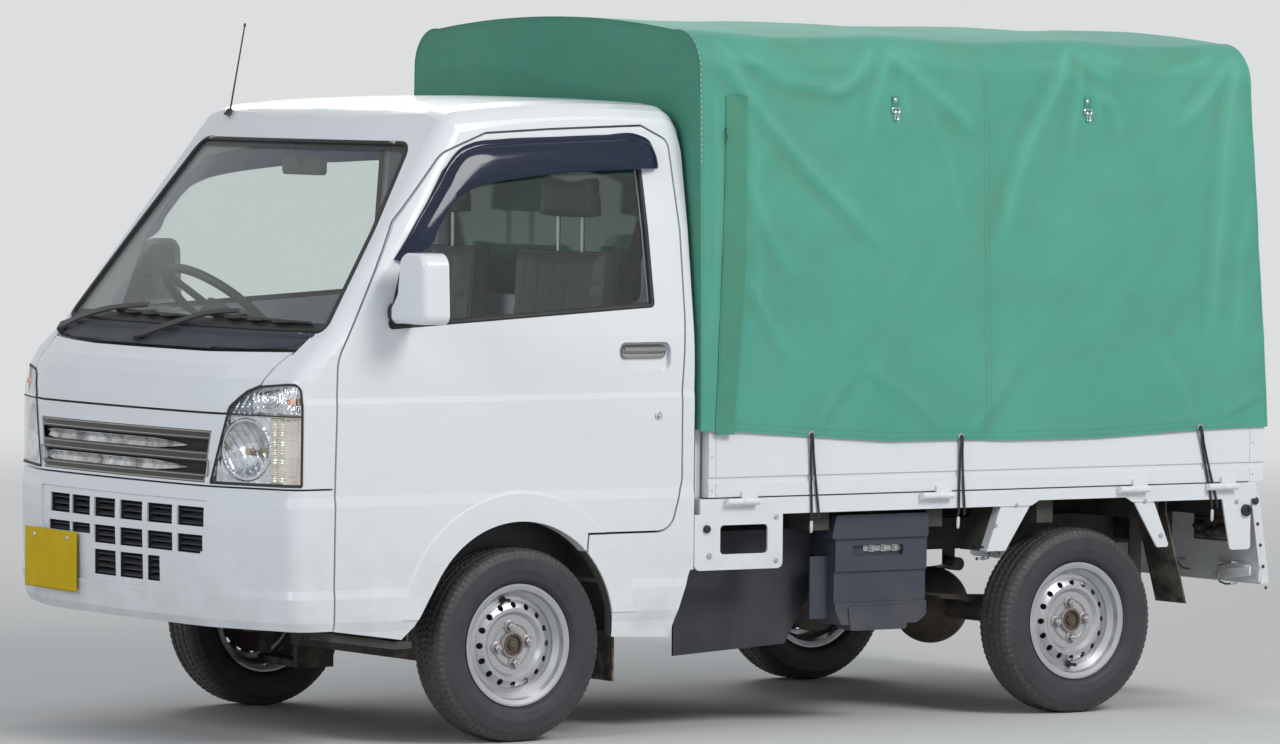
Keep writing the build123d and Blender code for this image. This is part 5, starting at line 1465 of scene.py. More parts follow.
def dense(line, step):
    """The same polyline with a place every step."""
    places = []
    for a, b in zip(line, line[1:]):
        count = max(1, round(math.dist(a, b) / step))
        places += [tuple(p + (q - p) * k / count for p, q in zip(a, b)) for k in range(count)]
    return places + [tuple(line[-1])]


def stitch_row(places, length, width, height, outward):
    """Small pointed stitches along a row of places, with a gap after each."""
    shapes = []
    for a, b in zip(places, places[1:]):
        a, b = at(*a), at(*b)
        run = b - a
        if run.length < 1e-6:
            continue
        run.normalize()
        out = Vector(outward)
        side = run.cross(out).normalized() * width * MM / 2
        end = a + run * length * MM
        middle = (a + end) / 2
        points = [a, end, middle + side, middle - side, middle + out * height * MM]
        shapes.append((points, [(0, 2, 4), (2, 1, 4), (1, 3, 4), (3, 0, 4), (0, 3, 1, 2)]))
    return shapes


side_hem = [(x, z + 9) for x, z in HEM[1:-1]]
side_lines = [
    [(575, 1925), (575, 1300), (574, 850)], [(1537, 1890), (1548, 1669), (1549, 1279), (1548, 800)],
    [(1545, 1890), (1562, 1669), (1563, 1279), (1562, 800)], side_hem, [(x, z + 15) for x, z in side_hem],
    [(2474, 1880), (2500, 1640), (2548, 820)],
]
threads = []
for line in side_lines:
    for side in (-1, 1):
        threads += stitch_row([on_cloth(x, z, 0.3, side) for x, z in dense(line, 9)], 6.0, 1.3, 0.8, (0, side, 0))
piece("canopy_stitches", threads, seam_thread)

worn = [on_cloth(572, z, 0.4) for _, z in dense([(0, 1915), (0, 1560)], 15)]
piece("front_edge_lacing", stitch_row(worn, 7.0, 3.4, 1.6, (-0.5, -0.86, 0)), white_tip)
front_places = []
for (y0, z0), (y1, z1) in zip(crown_line, crown_line[1:]):
    count = max(1, round(math.hypot(y1 - y0, z1 - z0) / 9))
    for k in range(count):
        y, z = y0 + (y1 - y0) * k / count, z0 + (z1 - z0) * k / count
        front_places.append((CANOPY_FRONT_X + 1.0, y * 0.991, z - 11))
piece("front_seam", stitch_row(front_places, 6.0, 1.3, 0.8, (-1, 0, 0)), seam_thread)
print("stitches", len(threads), "and", len(front_places))

# %% [markdown]
# A loose strip covers the lacing near the front corner. It is sewn along its front edge only, so its
# back edge and foot stand a little off the canvas.

# %% Corner strip
STRIP_LEFT = ((1750, 653), (1515, 651), (1287, 640), (853, 617), (821, 616))
STRIP_RIGHT = ((1750, 723), (1515, 722), (1286, 718), (853, 677), (821, 674))
STRIP_TOP_Z, STRIP_FOOT_Z = 1750, 821


def strip_edge(table, z):
    heights, places = zip(*table)
    return float(np.interp(-z, [-height for height in heights], places))


for label, side in SIGNS:
    rows = []
    for i in range(78):
        z = STRIP_TOP_Z - (STRIP_TOP_Z - STRIP_FOOT_Z) * i / 77
        edges = [strip_edge(table, z) for table in (STRIP_LEFT, STRIP_RIGHT)]
        row = []
        for j in range(9):
            t = j / 8
            x = edges[0] + (edges[1] - edges[0]) * t
            lift = 2.2 + 2.0 * t + 2.6 * math.sin(math.pi * t) + 1.6 * noise.noise((z / 70, t * 1.5, 5.0 + side))
            lift += 8.0 * t * max(0.0, (900 - z) / 80) ** 2 + 3.0 * math.exp(-(((z - 1180) / 160) ** 2)) * t
            row.append(on_cloth(x, max(z, 832.0), lift, side)[:2] + (z,))
        rows.append(row)
    points = np.array(rows)
    strip = cloth_piece(f"corner_strip_{label}", points, outward_of(points, (30, 4), 1, side), canvas_strip)
    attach(strip, "root")
    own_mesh(strip)
    edge = [on_cloth(strip_edge(STRIP_LEFT, z) + 5, z, 4.6, side) for _, z in dense([(0, 1740), (0, 960)], 9)]
    piece(f"corner_strip_stitches_{label}", stitch_row(edge, 6.0, 1.2, 0.7, (0, side, 0)), seam_thread)
tie_place = on_cloth(651, 1650, 5.0)
piece("strip_tie", [sweep([(651, tie_place[1] - 0.5, 1662), (648, tie_place[1] - 2.5, 1650),
                           (653, tie_place[1] - 3.0, 1638),
                           (650, tie_place[1] - 2.0, 1622)], round_section(1.6))], strap_cloth)

# %% [markdown]
# Two buckles hang on each side, on a sewn tab with a rivet. Black rubber loops run from the hem's
# eyelets down to the hooks under the bed. The loops cross the side gate.

# %% Buckles, eyelets and rubber loops
BUCKLES = ((1227, 1752), (1901, 1750))


def frame_ring(x, y, z, half_x, half_z, radius, lean):
    corners = [(-half_x, -half_z), (half_x, -half_z), (half_x, half_z), (-half_x, half_z)]
    path = []
    for (a, b), (c, d) in zip(corners, corners[1:] + corners[:1]):
        for t in (0.12, 0.5, 0.88):
            path.append((x + a + (c - a) * t, y - lean * (half_z - b - (d - b) * t) / (2 * half_z),
                         z + b + (d - b) * t))
    return sweep(path, round_section(radius, 8), closed=True, up=(0, 1, 0))


tabs, rings, rivets, buckle_tongues = [], [], [], []
for x, z in BUCKLES:
    for side in (-1, 1):
        if side == 1:
            x = mirror_of(x)
        y = on_cloth(x, z - 20, 1.2, side)[1]
        tab = grid([[(x - 11 + 22 * a, y + side * (2.2 * math.sin(math.pi * min(1, b * 1.2)) + 0.6), z - 36 * b)
                     for a in (0, 0.1, 0.5, 0.9, 1)]
                    for b in (0, 0.08, 0.3, 0.6, 0.85, 1)])
        tabs.append(([at(*p) for p in tab[0]], tab[1]))
        rivets.append(lathe(((0, 0), (6.4, 0), (6.4, 1.2), (4.8, 2.6), (2.2, 3.4), (0, 3.6)),
                            (x, y + side * 1.5, z - 12), (0, side, 0), 18))
        rings.append(frame_ring(x, y + side * 3.4, z - 40, 12, 6, 1.7, -side * 1.5))
        rings.append(frame_ring(x + 2, y + side * 4.2, z - 55, 6.5, 11, 1.5, -side * 2))
        buckle_tongues.append(rod((x - 2, y + side * 3.6, z - 38), (x + 5, y + side * 5.4, z - 64), 1.3, 8))
piece("buckle_tabs", tabs, canvas_dark, solid=1.6)
piece("buckle_rivets", rivets, steel)
piece("buckle_frames", rings + buckle_tongues, chrome)

# columns: eyelet x, eyelet z, hook x of the two strands, hook z
LOOPS = ((942, 815, 949, 974, 579), (1458, 798, 1455, 1476, 577), (2309, 807, 2363, 2383, 573))
for label, side in SIGNS:
    loops, tips, eyelets = [], [], []
    for x, z, foot_a, foot_b, foot_z in LOOPS:
        if side == 1:
            x, foot_a, foot_b = mirror_of(x), mirror_of(foot_a), mirror_of(foot_b)
        y = abs(on_cloth(x, z, 1.0, side)[1])
        eyelets.append(lathe(((4.2, 0), (9.6, 0), (9.9, 1.0), (8.6, 2.4), (6.4, 2.8), (4.2, 1.8), (4.2, 0)),
                             (x, side * y, z), (0, side, 0), 24))
        for foot, twist in ((foot_a, -1), (foot_b, 1)):
            path = []
            over_gate = [(share, SKIRT_HALF_LEAST) for share in (0.45, 0.72, 0.86)]
            for t, out in ((0, y + 1.5), (0.03, y + 4.0), (0.10, y + 3.4), (0.2, 744), *over_gate, (0.95, 741),
                           (1, GATE_FACE)):
                along_x = x + twist * 2.0 * (1 - t) + (foot - x) * t
                path.append((along_x, side * out, z + (foot_z - z) * t))
            loops.append(sweep(path, round_section(3.9, 8, 0.55), up=(0, side, 0)))
        knot = [(x + 5.2 * math.cos(k * 0.9), side * (y + 3.5 + 1.6 * math.sin(k * 1.7)),
                 z - 3 - 7 * math.sin(k * 0.9)) for k in range(8)]
        loops.append(sweep(knot, round_section(2.4, 8), up=(0, side, 0)))
        tips.append(lathe(((0, 0), (3.2, 1), (4.6, 6), (4.8, 26), (3.0, 34), (0, 35)), (foot_a, side * 738, foot_z - 3),
                          (0.05, -0.1 * side, -1), 14))
    rubber_loops = piece(f"rubber_loops_{label}", loops, rubber, sharp=60)
    loop_tips = piece(f"loop_tips_{label}", tips, white_tip)
    loop_eyelets = piece(f"hem_eyelets_{label}", eyelets, steel)
    for thing in (rubber_loops, loop_tips, loop_eyelets):
        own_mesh(thing)
print("rubber loops and eyelets for", len(LOOPS), "hooks a side")
# %% [markdown]
# Between the bonnet and the windscreen lies a black cowl. Its front edge is curved and its two outer
# corners are round. It is laid on the body by rays like the window borders, only a little thicker,
# and a few low ribs stand on it. It stops short of the bonnet, which has to lift.

# %% Cowl
COWL_HALF, COWL_LOW_HALF = 652.0, 470.0
COWL_LOW_Z, COWL_TOP_Z = 1058.0, 1119.0
screen_tree = tree_of("cab_body", "windshield", "cowl_panel")


def cowl_low(y):
    """Height of the cowl's front edge: level in the middle, then a round corner up to the side."""
    over = max(0.0, (abs(y) - COWL_LOW_HALF) / (COWL_HALF - COWL_LOW_HALF))
    return COWL_LOW_Z + (COWL_TOP_Z - 4 - COWL_LOW_Z) * (1 - math.sqrt(max(0.0, 1 - over * over)))


rows = []
for i in range(15):
    t = i / 14
    row = []
    for k in range(93):
        y = COWL_HALF * math.sin(math.pi / 2 * (k / 46 - 1))
        z = cowl_low(y) + (COWL_TOP_Z - cowl_low(y)) * t
        place = on_front(screen_tree, y, z)
        edge = min(1.0, t * 5, (1 - abs(y) / COWL_HALF) * 30)
        slat = 1.5 * max(0.0, math.sin(y / 11.0)) ** 4 if 0.25 < t < 0.75 and 60 < abs(y) < 420 else 0.0
        row.append((place[0] - 1.0 - 2.6 * edge - slat, y, z))
    rows.append(row)
cowl_rows = [[at(*p) for p in row] for row in rows]
piece("cowl_cover", [grid(cowl_rows)], cowl_plastic, solid=1.0, sharp=60)

# %% [markdown]
# Two wipers lie at rest on the glass, both pointing to the truck's left. An arm is a flat pressed
# channel on a round pivot; it ends over the middle of a sprung bar that holds the rubber blade.

# %% Wipers
# columns: pivot, points along the arm, ends of the blade
WIPERS = (
    ((-668, 636, 1080), ((-690, 600, 1098), (-672, 480, 1128), (-640, 330, 1152), (-628, 170, 1164)), (352, 1143),
     (-60, 1138)),
    ((-722, 100, 1078), ((-738, 60, 1092), (-700, -40, 1120), (-640, -170, 1152), (-628, -300, 1163)), (-170, 1146),
     (-612, 1137)),
)


def off_glass(y, z, lift):
    place = on_front(screen_tree, y, z)
    return place[0] - lift, y, z


arms, blades, pivots = [], [], []
for pivot, arm, start, end in WIPERS:
    foot = off_glass(pivot[1], pivot[2], 2)
    pivots.append(lathe(((16, -6), (16, 8), (12, 14), (6, 17), (0, 18)), foot, (-0.75, 0, 0.66), 22))
    path = [(foot[0] - 12, foot[1], foot[2] + 9)]
    path += [off_glass(p[1], p[2], lift) for p, lift in zip(arm, (26, 30, 26, 17))]
    fine = []
    for t in np.linspace(0, len(path) - 1, 26):
        k = min(int(t), len(path) - 2)
        before, a, b, after = path[max(k - 1, 0)], path[k], path[k + 1], path[min(k + 2, len(path) - 1)]
        u = t - k
        fine.append(tuple(
            0.5 * ((2 * a[n]) + (b[n] - before[n]) * u
                   + (2 * before[n] - 5 * a[n] + 4 * b[n] - after[n]) * u * u
                   + (3 * a[n] - before[n] - 3 * b[n] + after[n]) * u ** 3)
            for n in range(3)))
    widths = np.linspace(1.7, 0.75, len(fine))
    section = [(-9, -2.5), (-8, 2.5), (8, 2.5), (9, -2.5), (7, -2.5), (6.4, 1), (-6.4, 1), (-7, -2.5)]
    shape = sweep(fine, section, up=(-0.75, 0, 0.66))
    points = shape[0]
    for n, width in enumerate(widths):
        centre = at(*fine[n])
        for k in range(len(section)):
            points[n * len(section) + k] = centre + (points[n * len(section) + k] - centre) * width
    arms.append(shape)
    blade = [off_glass(*between(start, end, t), 9.0) for t in np.linspace(0, 1, 22)]
    curve = np.polyval(np.polyfit(np.linspace(0, 1, 22), [p[0] for p in blade], 2), np.linspace(0, 1, 22))
    blade = [(x, y, z) for x, (_, y, z) in zip(curve, blade)]
    blades.append(sweep(blade, [(-1.4, -8), (1.4, -8), (2.2, 0), (3.4, 2), (3.4, 5), (-3.4, 5), (-3.4, 2), (-2.2, 0)],
                        up=(-0.75, 0, 0.66)))
    for t in (0.25, 0.5, 0.75):
        y, z = between(start, end, t)
        a, b = off_glass(y + 34, z, 14), off_glass(y - 34, z, 14)
        middle = off_glass(y, z, 21)
        blades.append(sweep([a, middle, b], [(-4, -1.5), (4, -1.5), (4, 1.5), (-4, 1.5)], up=(-0.75, 0, 0.66)))
piece("wiper_arms", arms, black_plastic, sharp=50)
piece("wiper_pivots", pivots, black_plastic)
piece("wiper_blades", blades, rubber, sharp=40)

# %% [markdown]
# The antenna stands on the roof, on the truck's right: a rubber foot, a short mast that leans back a
# little, and a rounded tip.

# %% Antenna
ANTENNA_FOOT, ANTENNA_WAY = (-214, 462), (0.16, -0.05, 0.985)
top_hit = screen_tree.ray_cast(at(*ANTENNA_FOOT, 2100), Vector((0, 0, -1)))[0]
foot = from_frame(top_hit)
mast = [foot[n] + ANTENNA_WAY[n] * 10 for n in range(3)]
mast_end = [foot[n] + ANTENNA_WAY[n] * 250 for n in range(3)]
piece("antenna", [
    lathe(((0, -2), (17, -2), (16, 3), (10, 9), (6, 16), (0, 17)), foot, (0, 0, 1), 24),
    rod(mast, mast_end, 2.6, 12, 2.0), lathe(((0, -2), (3.2, 0), (3.6, 5), (2.4, 9), (0, 10)), mast_end, ANTENNA_WAY,
                                             14),
], black_plastic)
print("antenna stands at", [round(v) for v in foot])

# %% [markdown]
# A headlamp is a clear lens over a box of small mirrors. The lens keeps the body's curved surface.
# Behind it is one fine height field: a deep round bowl with slanting facets for the main bulb, two
# narrow columns with fine ribs, a wide ribbed side mirror, and above them a turn lamp with rings
# and an orange bulb. Distances run along a line of sight from ahead and to the left, because the
# lamp wraps round the corner and is looked into from there.

# %% Headlamp surfaces
SIGHT = Vector((0.5621, 0.8271, 0))
ACROSS = Vector((0.8271, -0.5621, 0))
LAMP_MIDDLE = (-690, -640)
LAMP_LOW_Z, LAMP_HIGH_Z, DIVIDER_Z = 710.0, 990.0, 895.0
LAMP_COLUMNS, LAMP_ROW_STEP = 92, 2.4


def lamp_meet(a, z):
    start = at(*LAMP_MIDDLE, z) + ACROSS * a * MM - SIGHT * 0.4
    return lamp_tree.ray_cast(start, SIGHT)[0]


def lamp_edges(z):
    """First and last place across the lamp at a height."""
    found = [a for a in range(-230, 100, 3) if lamp_meet(a, z)]
    if not found:
        return None
    ends = []
    for inside, step in ((found[0], -1), (found[-1], 1)):
        low, high = 0.0, 3.0
        for _ in range(6):
            middle = (low + high) / 2
            low, high = (middle, high) if lamp_meet(inside + step * middle, z) else (low, middle)
        ends.append(inside + step * low)
    return ends


lamp_heights = []
z = LAMP_LOW_Z
while z < LAMP_HIGH_Z + 12 and lamp_edges(z):
    lamp_heights.append(z)
    z += LAMP_ROW_STEP
lamp_ends = [lamp_edges(z) for z in lamp_heights]
print("headlamp from", lamp_heights[0], "to", round(lamp_heights[-1], 1), "widest",
      round(max(b - a for a, b in lamp_ends)))

BOWL, BOWL_HALF = (-112.0, 802.0), (63.0, 76.0)
TURN_MIDDLE, TURN_BULB = (-49.0, 944.0), (13.0, 934.0)


def lamp_depth(a, z, edge):
    """How far the mirrors stand behind the lens, and which of the four finishes they have."""
    u, v = (a - BOWL[0]) / BOWL_HALF[0], (z - BOWL[1]) / BOWL_HALF[1]
    r = math.hypot(u, v)
    finish = 0
    if z < DIVIDER_Z:
        if r < 0.97:
            facet = ((u * 0.82 + v * 0.57) * 3.6) % 1.0
            band = math.sin((v * 0.9 - u * 0.4) * 9.0)
            depth = 7 + 40 * (1 - r * r) + 5.5 * facet * (1 - r ** 4) + 1.2 * band
        elif r < 1.10:
            depth = 3.0 + 3.0 * ((r - 1.035) / 0.065) ** 2
        elif a < -46:
            depth = 8.0 + 1.2 * math.sin(a * 0.5) * (a < -150)
        elif a < -7:
            centre, half = (-38.0, 9.0) if a < -28.5 else (-18.5, 10.0)
            depth = 8.0 - 3.6 * max(0.0, 1 - ((a - centre) / half) ** 2) + 0.9 * math.sin(z * 1.18)
            finish = 1
        else:
            t = (a + 7) / 68
            depth = 9.0 + 14.0 * math.sin(math.pi * min(max(t, 0), 1)) + 0.45 * math.sin(z * 1.5)
            finish = 2
    else:
        rr = math.hypot(a - TURN_MIDDLE[0], (z - TURN_MIDDLE[1]) * 1.15)
        if a < -98:
            depth = 9.0 + 2.6 * math.sin(a * 0.42 + z * 0.20) * math.sin(z * 0.42)
            finish = 3
        else:
            ring = (rr / 11.0) % 1.0
            depth = 8.0 + 12.0 * math.exp(-((rr / 62) ** 2)) + 3.6 * ring + 0.8 * math.sin(a * 0.9)
            if a > 40:
                depth, finish = 8.0 + 0.5 * math.sin(z * 1.2), 2
        near_bulb = math.hypot(a - TURN_BULB[0], z - TURN_BULB[1])
        depth += 7.0 * math.exp(-((near_bulb / 17) ** 2))
    near_divider = abs(z - DIVIDER_Z)
    depth = min(depth, 3.0 + near_divider * 1.6)
    return min(depth, 1.2 + edge * 1.3), finish


lens_rows, mirror_rows, finishes = [], [], []
for z, (first, last) in zip(lamp_heights, lamp_ends):
    lens_row, mirror_row, finish_row = [], [], []
    for k in range(LAMP_COLUMNS + 1):
        a = first + (last - first) * (0.004 + 0.992 * k / LAMP_COLUMNS)
        hit = lamp_meet(a, z)
        edge = max(0.0, min(a - first, last - a, z - LAMP_LOW_Z, lamp_heights[-1] - z))
        depth, finish = lamp_depth(a, z, edge)
        lens_row.append(hit)
        mirror_row.append(hit + SIGHT * depth * MM)
        finish_row.append(finish)
    lens_rows.append(lens_row)
    mirror_rows.append(mirror_row)
    finishes.append(finish_row)

# The mirrors' bright and dark patches in lamp_chrome and lamp_grey are painted reflections.
for side, turn in SIDES:
    mirrors = piece(f"headlamp_mirrors_{side}", [turn(grid(mirror_rows))], lamp_chrome, sharp=28)
    for finish_material in (lamp_cream, lamp_rose, lamp_grey):
        mirrors.data.materials.append(finish_material)
    for polygon in mirrors.data.polygons:
        row, column = divmod(polygon.index, LAMP_COLUMNS)
        polygon.material_index = finishes[row][column]
    lens = piece(f"headlamp_lens_{side}", [turn(grid(lens_rows))], lens_clear, sharp=60)
    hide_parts("headlights")

# %% [markdown]
# A rubber gasket runs round the lens, a broad dark strip closes its foot, and a thin dark line parts
# the turn lamp from the main lamp. The bulbs' glass stands in the middle of each mirror.

# %% Headlamp trim
rim = [row[0] for row in lens_rows] + lens_rows[-1][4:-4:4]
rim += [row[-1] for row in reversed(lens_rows)] + lens_rows[0][-5:4:-4]
rim_path = [from_frame(p + Vector((-0.55, -0.83, 0)) * 0.0008) for p in rim]
gasket = sweep(rim_path, [(-3.4, -1.6), (3.4, -1.6), (3.0, 1.4), (0, 2.4), (-3.0, 1.4)], closed=True,
               up=(-0.56, -0.83, 0.1))
foot_rows = [[p - SIGHT * (0.0022 if 0 < i < 2 else 0.0002) for p in lens_rows[i]] for i in range(3)]
divide = min(range(len(lamp_heights)), key=lambda i: abs(lamp_heights[i] - DIVIDER_Z))
divider = sweep([from_frame(p - SIGHT * 0.0004) for p in lens_rows[divide][1:-1:3]],
                [(-1.8, -1.5), (1.8, -1.5), (1.8, 1.2), (-1.8, 1.2)],
                up=(-0.56, -0.83, 0))


def lamp_place(a, z, depth):
    return from_frame(lamp_meet(a, z) + SIGHT * depth * MM)


bulb = lathe(((0, -26), (5, -25), (7.5, -20), (7.5, -6), (10, -4), (10, 8), (0, 8)),
             lamp_place(BOWL[0] + 4, BOWL[1] - 6, 40), SIGHT, 18)
turn_bulb = lathe(((0, -13), (6, -12), (10, -6), (10.5, 1), (7, 8), (6, 16), (0, 16)), lamp_place(*TURN_BULB, 15),
                  SIGHT, 18)
for side, turn in SIDES:
    piece(f"headlamp_gasket_{side}", [turn(gasket), turn(divider), turn(grid(foot_rows))], rubber,
          sharp=50)
    piece(f"headlamp_bulb_{side}", [turn(bulb)], bulb_brown)
    piece(f"turn_bulb_{side}", [turn(turn_bulb)], amber)
print("headlamp mirrors", len(mirror_rows), "by", LAMP_COLUMNS + 1)

# %% [markdown]
# The bumper's openings are lined in black, so that only a narrow white edge shows round each. Thin
# slanting slats stand inside, and a black panel closes them off.

# %% Bumper openings
# columns: first y, last y, lowest z, highest z
OPENINGS = (
    (274, 391, 590, 642), (156, 262, 590, 642), (16, 132, 590, 642), (-127, -9, 590, 642), (-276, -152, 590, 642),
    (-424, -300, 590, 642), (274, 402, 540, 567), (156, 262, 540, 567), (16, 132, 518, 567), (-127, -9, 518, 567),
    (-276, -152, 518, 567), (-418, -300, 518, 567), (16, 132, 432, 500), (-127, -9, 432, 500), (-276, -152, 432, 500),
)
bumper_face = {y: on_front(bumper_tree, y, 578)[0] for y in range(-460, 461, 5)}


def bumper_x(y):
    ys = sorted(bumper_face)
    return float(np.interp(y, ys, [bumper_face[k] for k in ys]))


liners, slats = [], []
for y0, y1, z0, z1 in OPENINGS:
    corners = [(y0 + 0.6, z0 + 0.6), (y1 - 0.6, z0 + 0.6), (y1 - 0.6, z1 - 0.6), (y0 + 0.6, z1 - 0.6)]
    edge = []
    for first, second in zip(corners, corners[1:] + corners[:1]):
        edge += [between(first, second, t) for t in (0, 0.25, 0.5, 0.75)]
    liner = [[at(bumper_x(y) + depth, y, z) for y, z in edge] for depth in (4.5, 16, 40)]
    points, faces = grid(liner, close_columns=True)
    faces.append(tuple(range(2 * len(edge), 3 * len(edge))))
    liners.append((points, faces))
    count = max(1, round((z1 - z0) / 17))
    for k in range(count):
        z = z0 + (z1 - z0) * (k + 0.5) / count
        blade = [[at(bumper_x(y) + x, y, z + lift) for x, lift in ((11, -4), (24, 3), (24, 5), (11, -2))]
                 for y in np.linspace(y0 + 1, y1 - 1, 6)]
        slats.append(grid(blade, close_columns=True))
piece("bumper_liners", liners, black_plastic)
piece("bumper_slats", slats, grille_slat)
print("lined openings", len(liners), "slats", len(slats))

# %% [markdown]
# The battery box has a long slot that its clamp shows through: a galvanised bar with two bolts, set
# a few millimetres inside the slot.

# %% Battery clamp
CLAMP_Y, CLAMP_Z = -691.0, 490.0
clamp = [box(1160, 1292, CLAMP_Y - 1.5, CLAMP_Y + 1.2, CLAMP_Z - 8, CLAMP_Z + 8)]
for x in (1186, 1228, 1266):
    clamp.append(box(x - 9, x + 9, CLAMP_Y - 4.5, CLAMP_Y, CLAMP_Z - 10, CLAMP_Z + 10))
    clamp.append(lathe(((6, 0), (6, 4), (4.5, 5.5), (0, 5.5)), (x, CLAMP_Y - 4, CLAMP_Z), (0, -1, 0), 6))
piece("battery_clamp", clamp, galvanised, bevel=0.6)
print("battery clamp at z", CLAMP_Z)
# %% [markdown]
# Each seat is a vinyl cushion, a backrest and a small head pad. They are foam under a sewn cover, so
# they bulge between their edges and are flat only underneath. A block a little smaller than the
# real pad is remeshed into even faces and blown up as cloth under pressure. The swelling is capped,
# the simulation is applied, and then the sewn channels are pressed in.

# %% Seat pads
PAD_VOXEL = 0.007
PAD_PRESSURE, PAD_FRAMES = 4.0, 20
SEAT_MIDDLE_Y, CUSHION_FOOT_Z = 330.0, 714


def applied(obj):
    """The object's mesh as its modifiers show it, with the modifiers gone."""
    graph = bpy.context.evaluated_depsgraph_get()
    mesh = bpy.data.meshes.new_from_object(obj.evaluated_get(graph))
    obj.modifiers.clear()
    obj.data = mesh
    return mesh


def coordinates(mesh):
    values = np.empty(len(mesh.vertices) * 3)
    mesh.vertices.foreach_get("co", values)
    return values.reshape(-1, 3)


def blown_up(name, shapes, cap):
    """A block turned into a swollen pad. No point moves further than the cap."""
    pad = piece(name, shapes, seat_vinyl, sharp=180)
    remesh = pad.modifiers.new("even", "REMESH")
    remesh.mode = "VOXEL"
    remesh.voxel_size = PAD_VOXEL
    mesh = applied(pad)
    rest = coordinates(mesh)
    cloth = pad.modifiers.new("cloth", "CLOTH")
    cloth.settings.quality = 5
    cloth.settings.mass = 0.3
    cloth.settings.use_pressure = True
    cloth.settings.uniform_pressure_force = PAD_PRESSURE
    cloth.settings.effector_weights.gravity = 0.0
    cloth.point_cache.frame_start, cloth.point_cache.frame_end = 1, PAD_FRAMES
    for step in range(1, PAD_FRAMES + 1):
        bpy.context.scene.frame_set(step)
    mesh = applied(pad)
    bpy.context.scene.frame_set(1)
    moved = coordinates(mesh)
    shift = moved - rest
    length = np.linalg.norm(shift, axis=1, keepdims=True)
    rest = rest + shift * np.minimum(1.0, cap * MM / np.maximum(length, 1e-9))
    print(name, "swelled by", round(float(length.max() * 1000), 1), "mm at most, capped at", cap)
    mesh.vertices.foreach_set("co", rest.ravel())
    mesh.materials.clear()
    mesh.materials.append(seat_vinyl)
    mesh.polygons.foreach_set("use_smooth", [True] * len(mesh.polygons))
    mesh.update()
    return pad


def pressed(pad, middle_y, lines, depth, width, facing):
    """Presses sewn channels into the side of the pad that faces a direction."""
    mesh = pad.data
    points = coordinates(mesh)
    normals = np.array([v.normal[:] for v in mesh.vertices])
    toward = np.clip(normals @ np.array(facing), 0, 1) ** 2
    y = points[:, 1] / MM + MIDDLE_Y - middle_y
    sink = sum(np.exp(-(((y - line) / width) ** 2)) for line in lines)
    points -= normals * (toward * sink * depth * MM)[:, None]
    mesh.vertices.foreach_set("co", points.ravel())
    mesh.update()


def side_slab(outline, half, middle_y):
    return slab(outline, "y", middle_y - half, middle_y + half)


CUSHION = ((-28, 722), (-46, 838), (378, 818), (388, 722))
BACKREST = ((322, 812), (382, 1328), (434, 1336), (430, 812))
HEAD_PAD = ((384, 1412), (391, 1518), (432, 1518), (436, 1412))
# columns: name, outline, half width, cap, channels, channel depth, channel width, facing
PADS = (
    ("cushion", CUSHION, 238, 22, (-150, -75, 0, 75, 150), 5.0, 7.0, (0, 0, 1)),
    ("backrest", BACKREST, 228, 18, (-140, -70, 0, 70, 140), 5.0, 7.0, (-1, 0, 0.1)),
    ("head_pad", HEAD_PAD, 120, 12, (), 0.0, 1.0, (-1, 0, 0)),
)
first_pads = []
for label, outline, half, cap, channels, depth, width, facing in PADS:
    pad = blown_up(f"seat_{label}_left", [side_slab(outline, half, -SEAT_MIDDLE_Y)], cap)
    points = coordinates(pad.data)
    if label == "cushion":
        points[:, 2] = np.maximum(points[:, 2], CUSHION_FOOT_Z * MM)
    pad.data.vertices.foreach_set("co", points.ravel())
    if channels:
        pressed(pad, -SEAT_MIDDLE_Y, channels, depth, width, facing)
    first_pads.append(pad)
    twin = bpy.data.objects.new(f"seat_{label}_right", pad.data.copy())
    places = coordinates(twin.data)
    places[:, 1] += 2 * SEAT_MIDDLE_Y * MM
    twin.data.vertices.foreach_set("co", places.ravel())
    bpy.context.scene.collection.objects.link(twin)
    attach(twin, "root")
    for seat_pad in (pad, twin):
        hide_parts("seats")

# %% [markdown]
# Piping follows the seam round each pad's face. It is laid on the swollen pad by rays that come from
# outside its rim at a slant. The steel risers and the head pads' posts are rebuilt as hard parts.

# %% Piping, risers and posts
cushion_tree = BVHTree.FromObject(first_pads[0], bpy.context.evaluated_depsgraph_get())
back_tree = BVHTree.FromObject(first_pads[1], bpy.context.evaluated_depsgraph_get())


def seam(tree, corners, out, count=26):
    """A bead round a pad: corners are places, out the way the pad's face looks."""
    path = []
    middle = Vector([sum(c[n] for c in corners) / len(corners) for n in range(3)])
    for a, b in zip(corners, corners[1:] + corners[:1]):
        for k in range(count):
            place = Vector(a).lerp(Vector(b), (k + 0.5) / count)
            away = (place - middle).normalized() + Vector(out) * 0.8
            start = place + away * 90
            hit = tree.ray_cast(at(*start), -away.normalized())[0]
            if hit is not None:
                path.append(tuple(from_frame(hit)))
    return sweep(path, round_section(3.2, 8), closed=True, up=out)


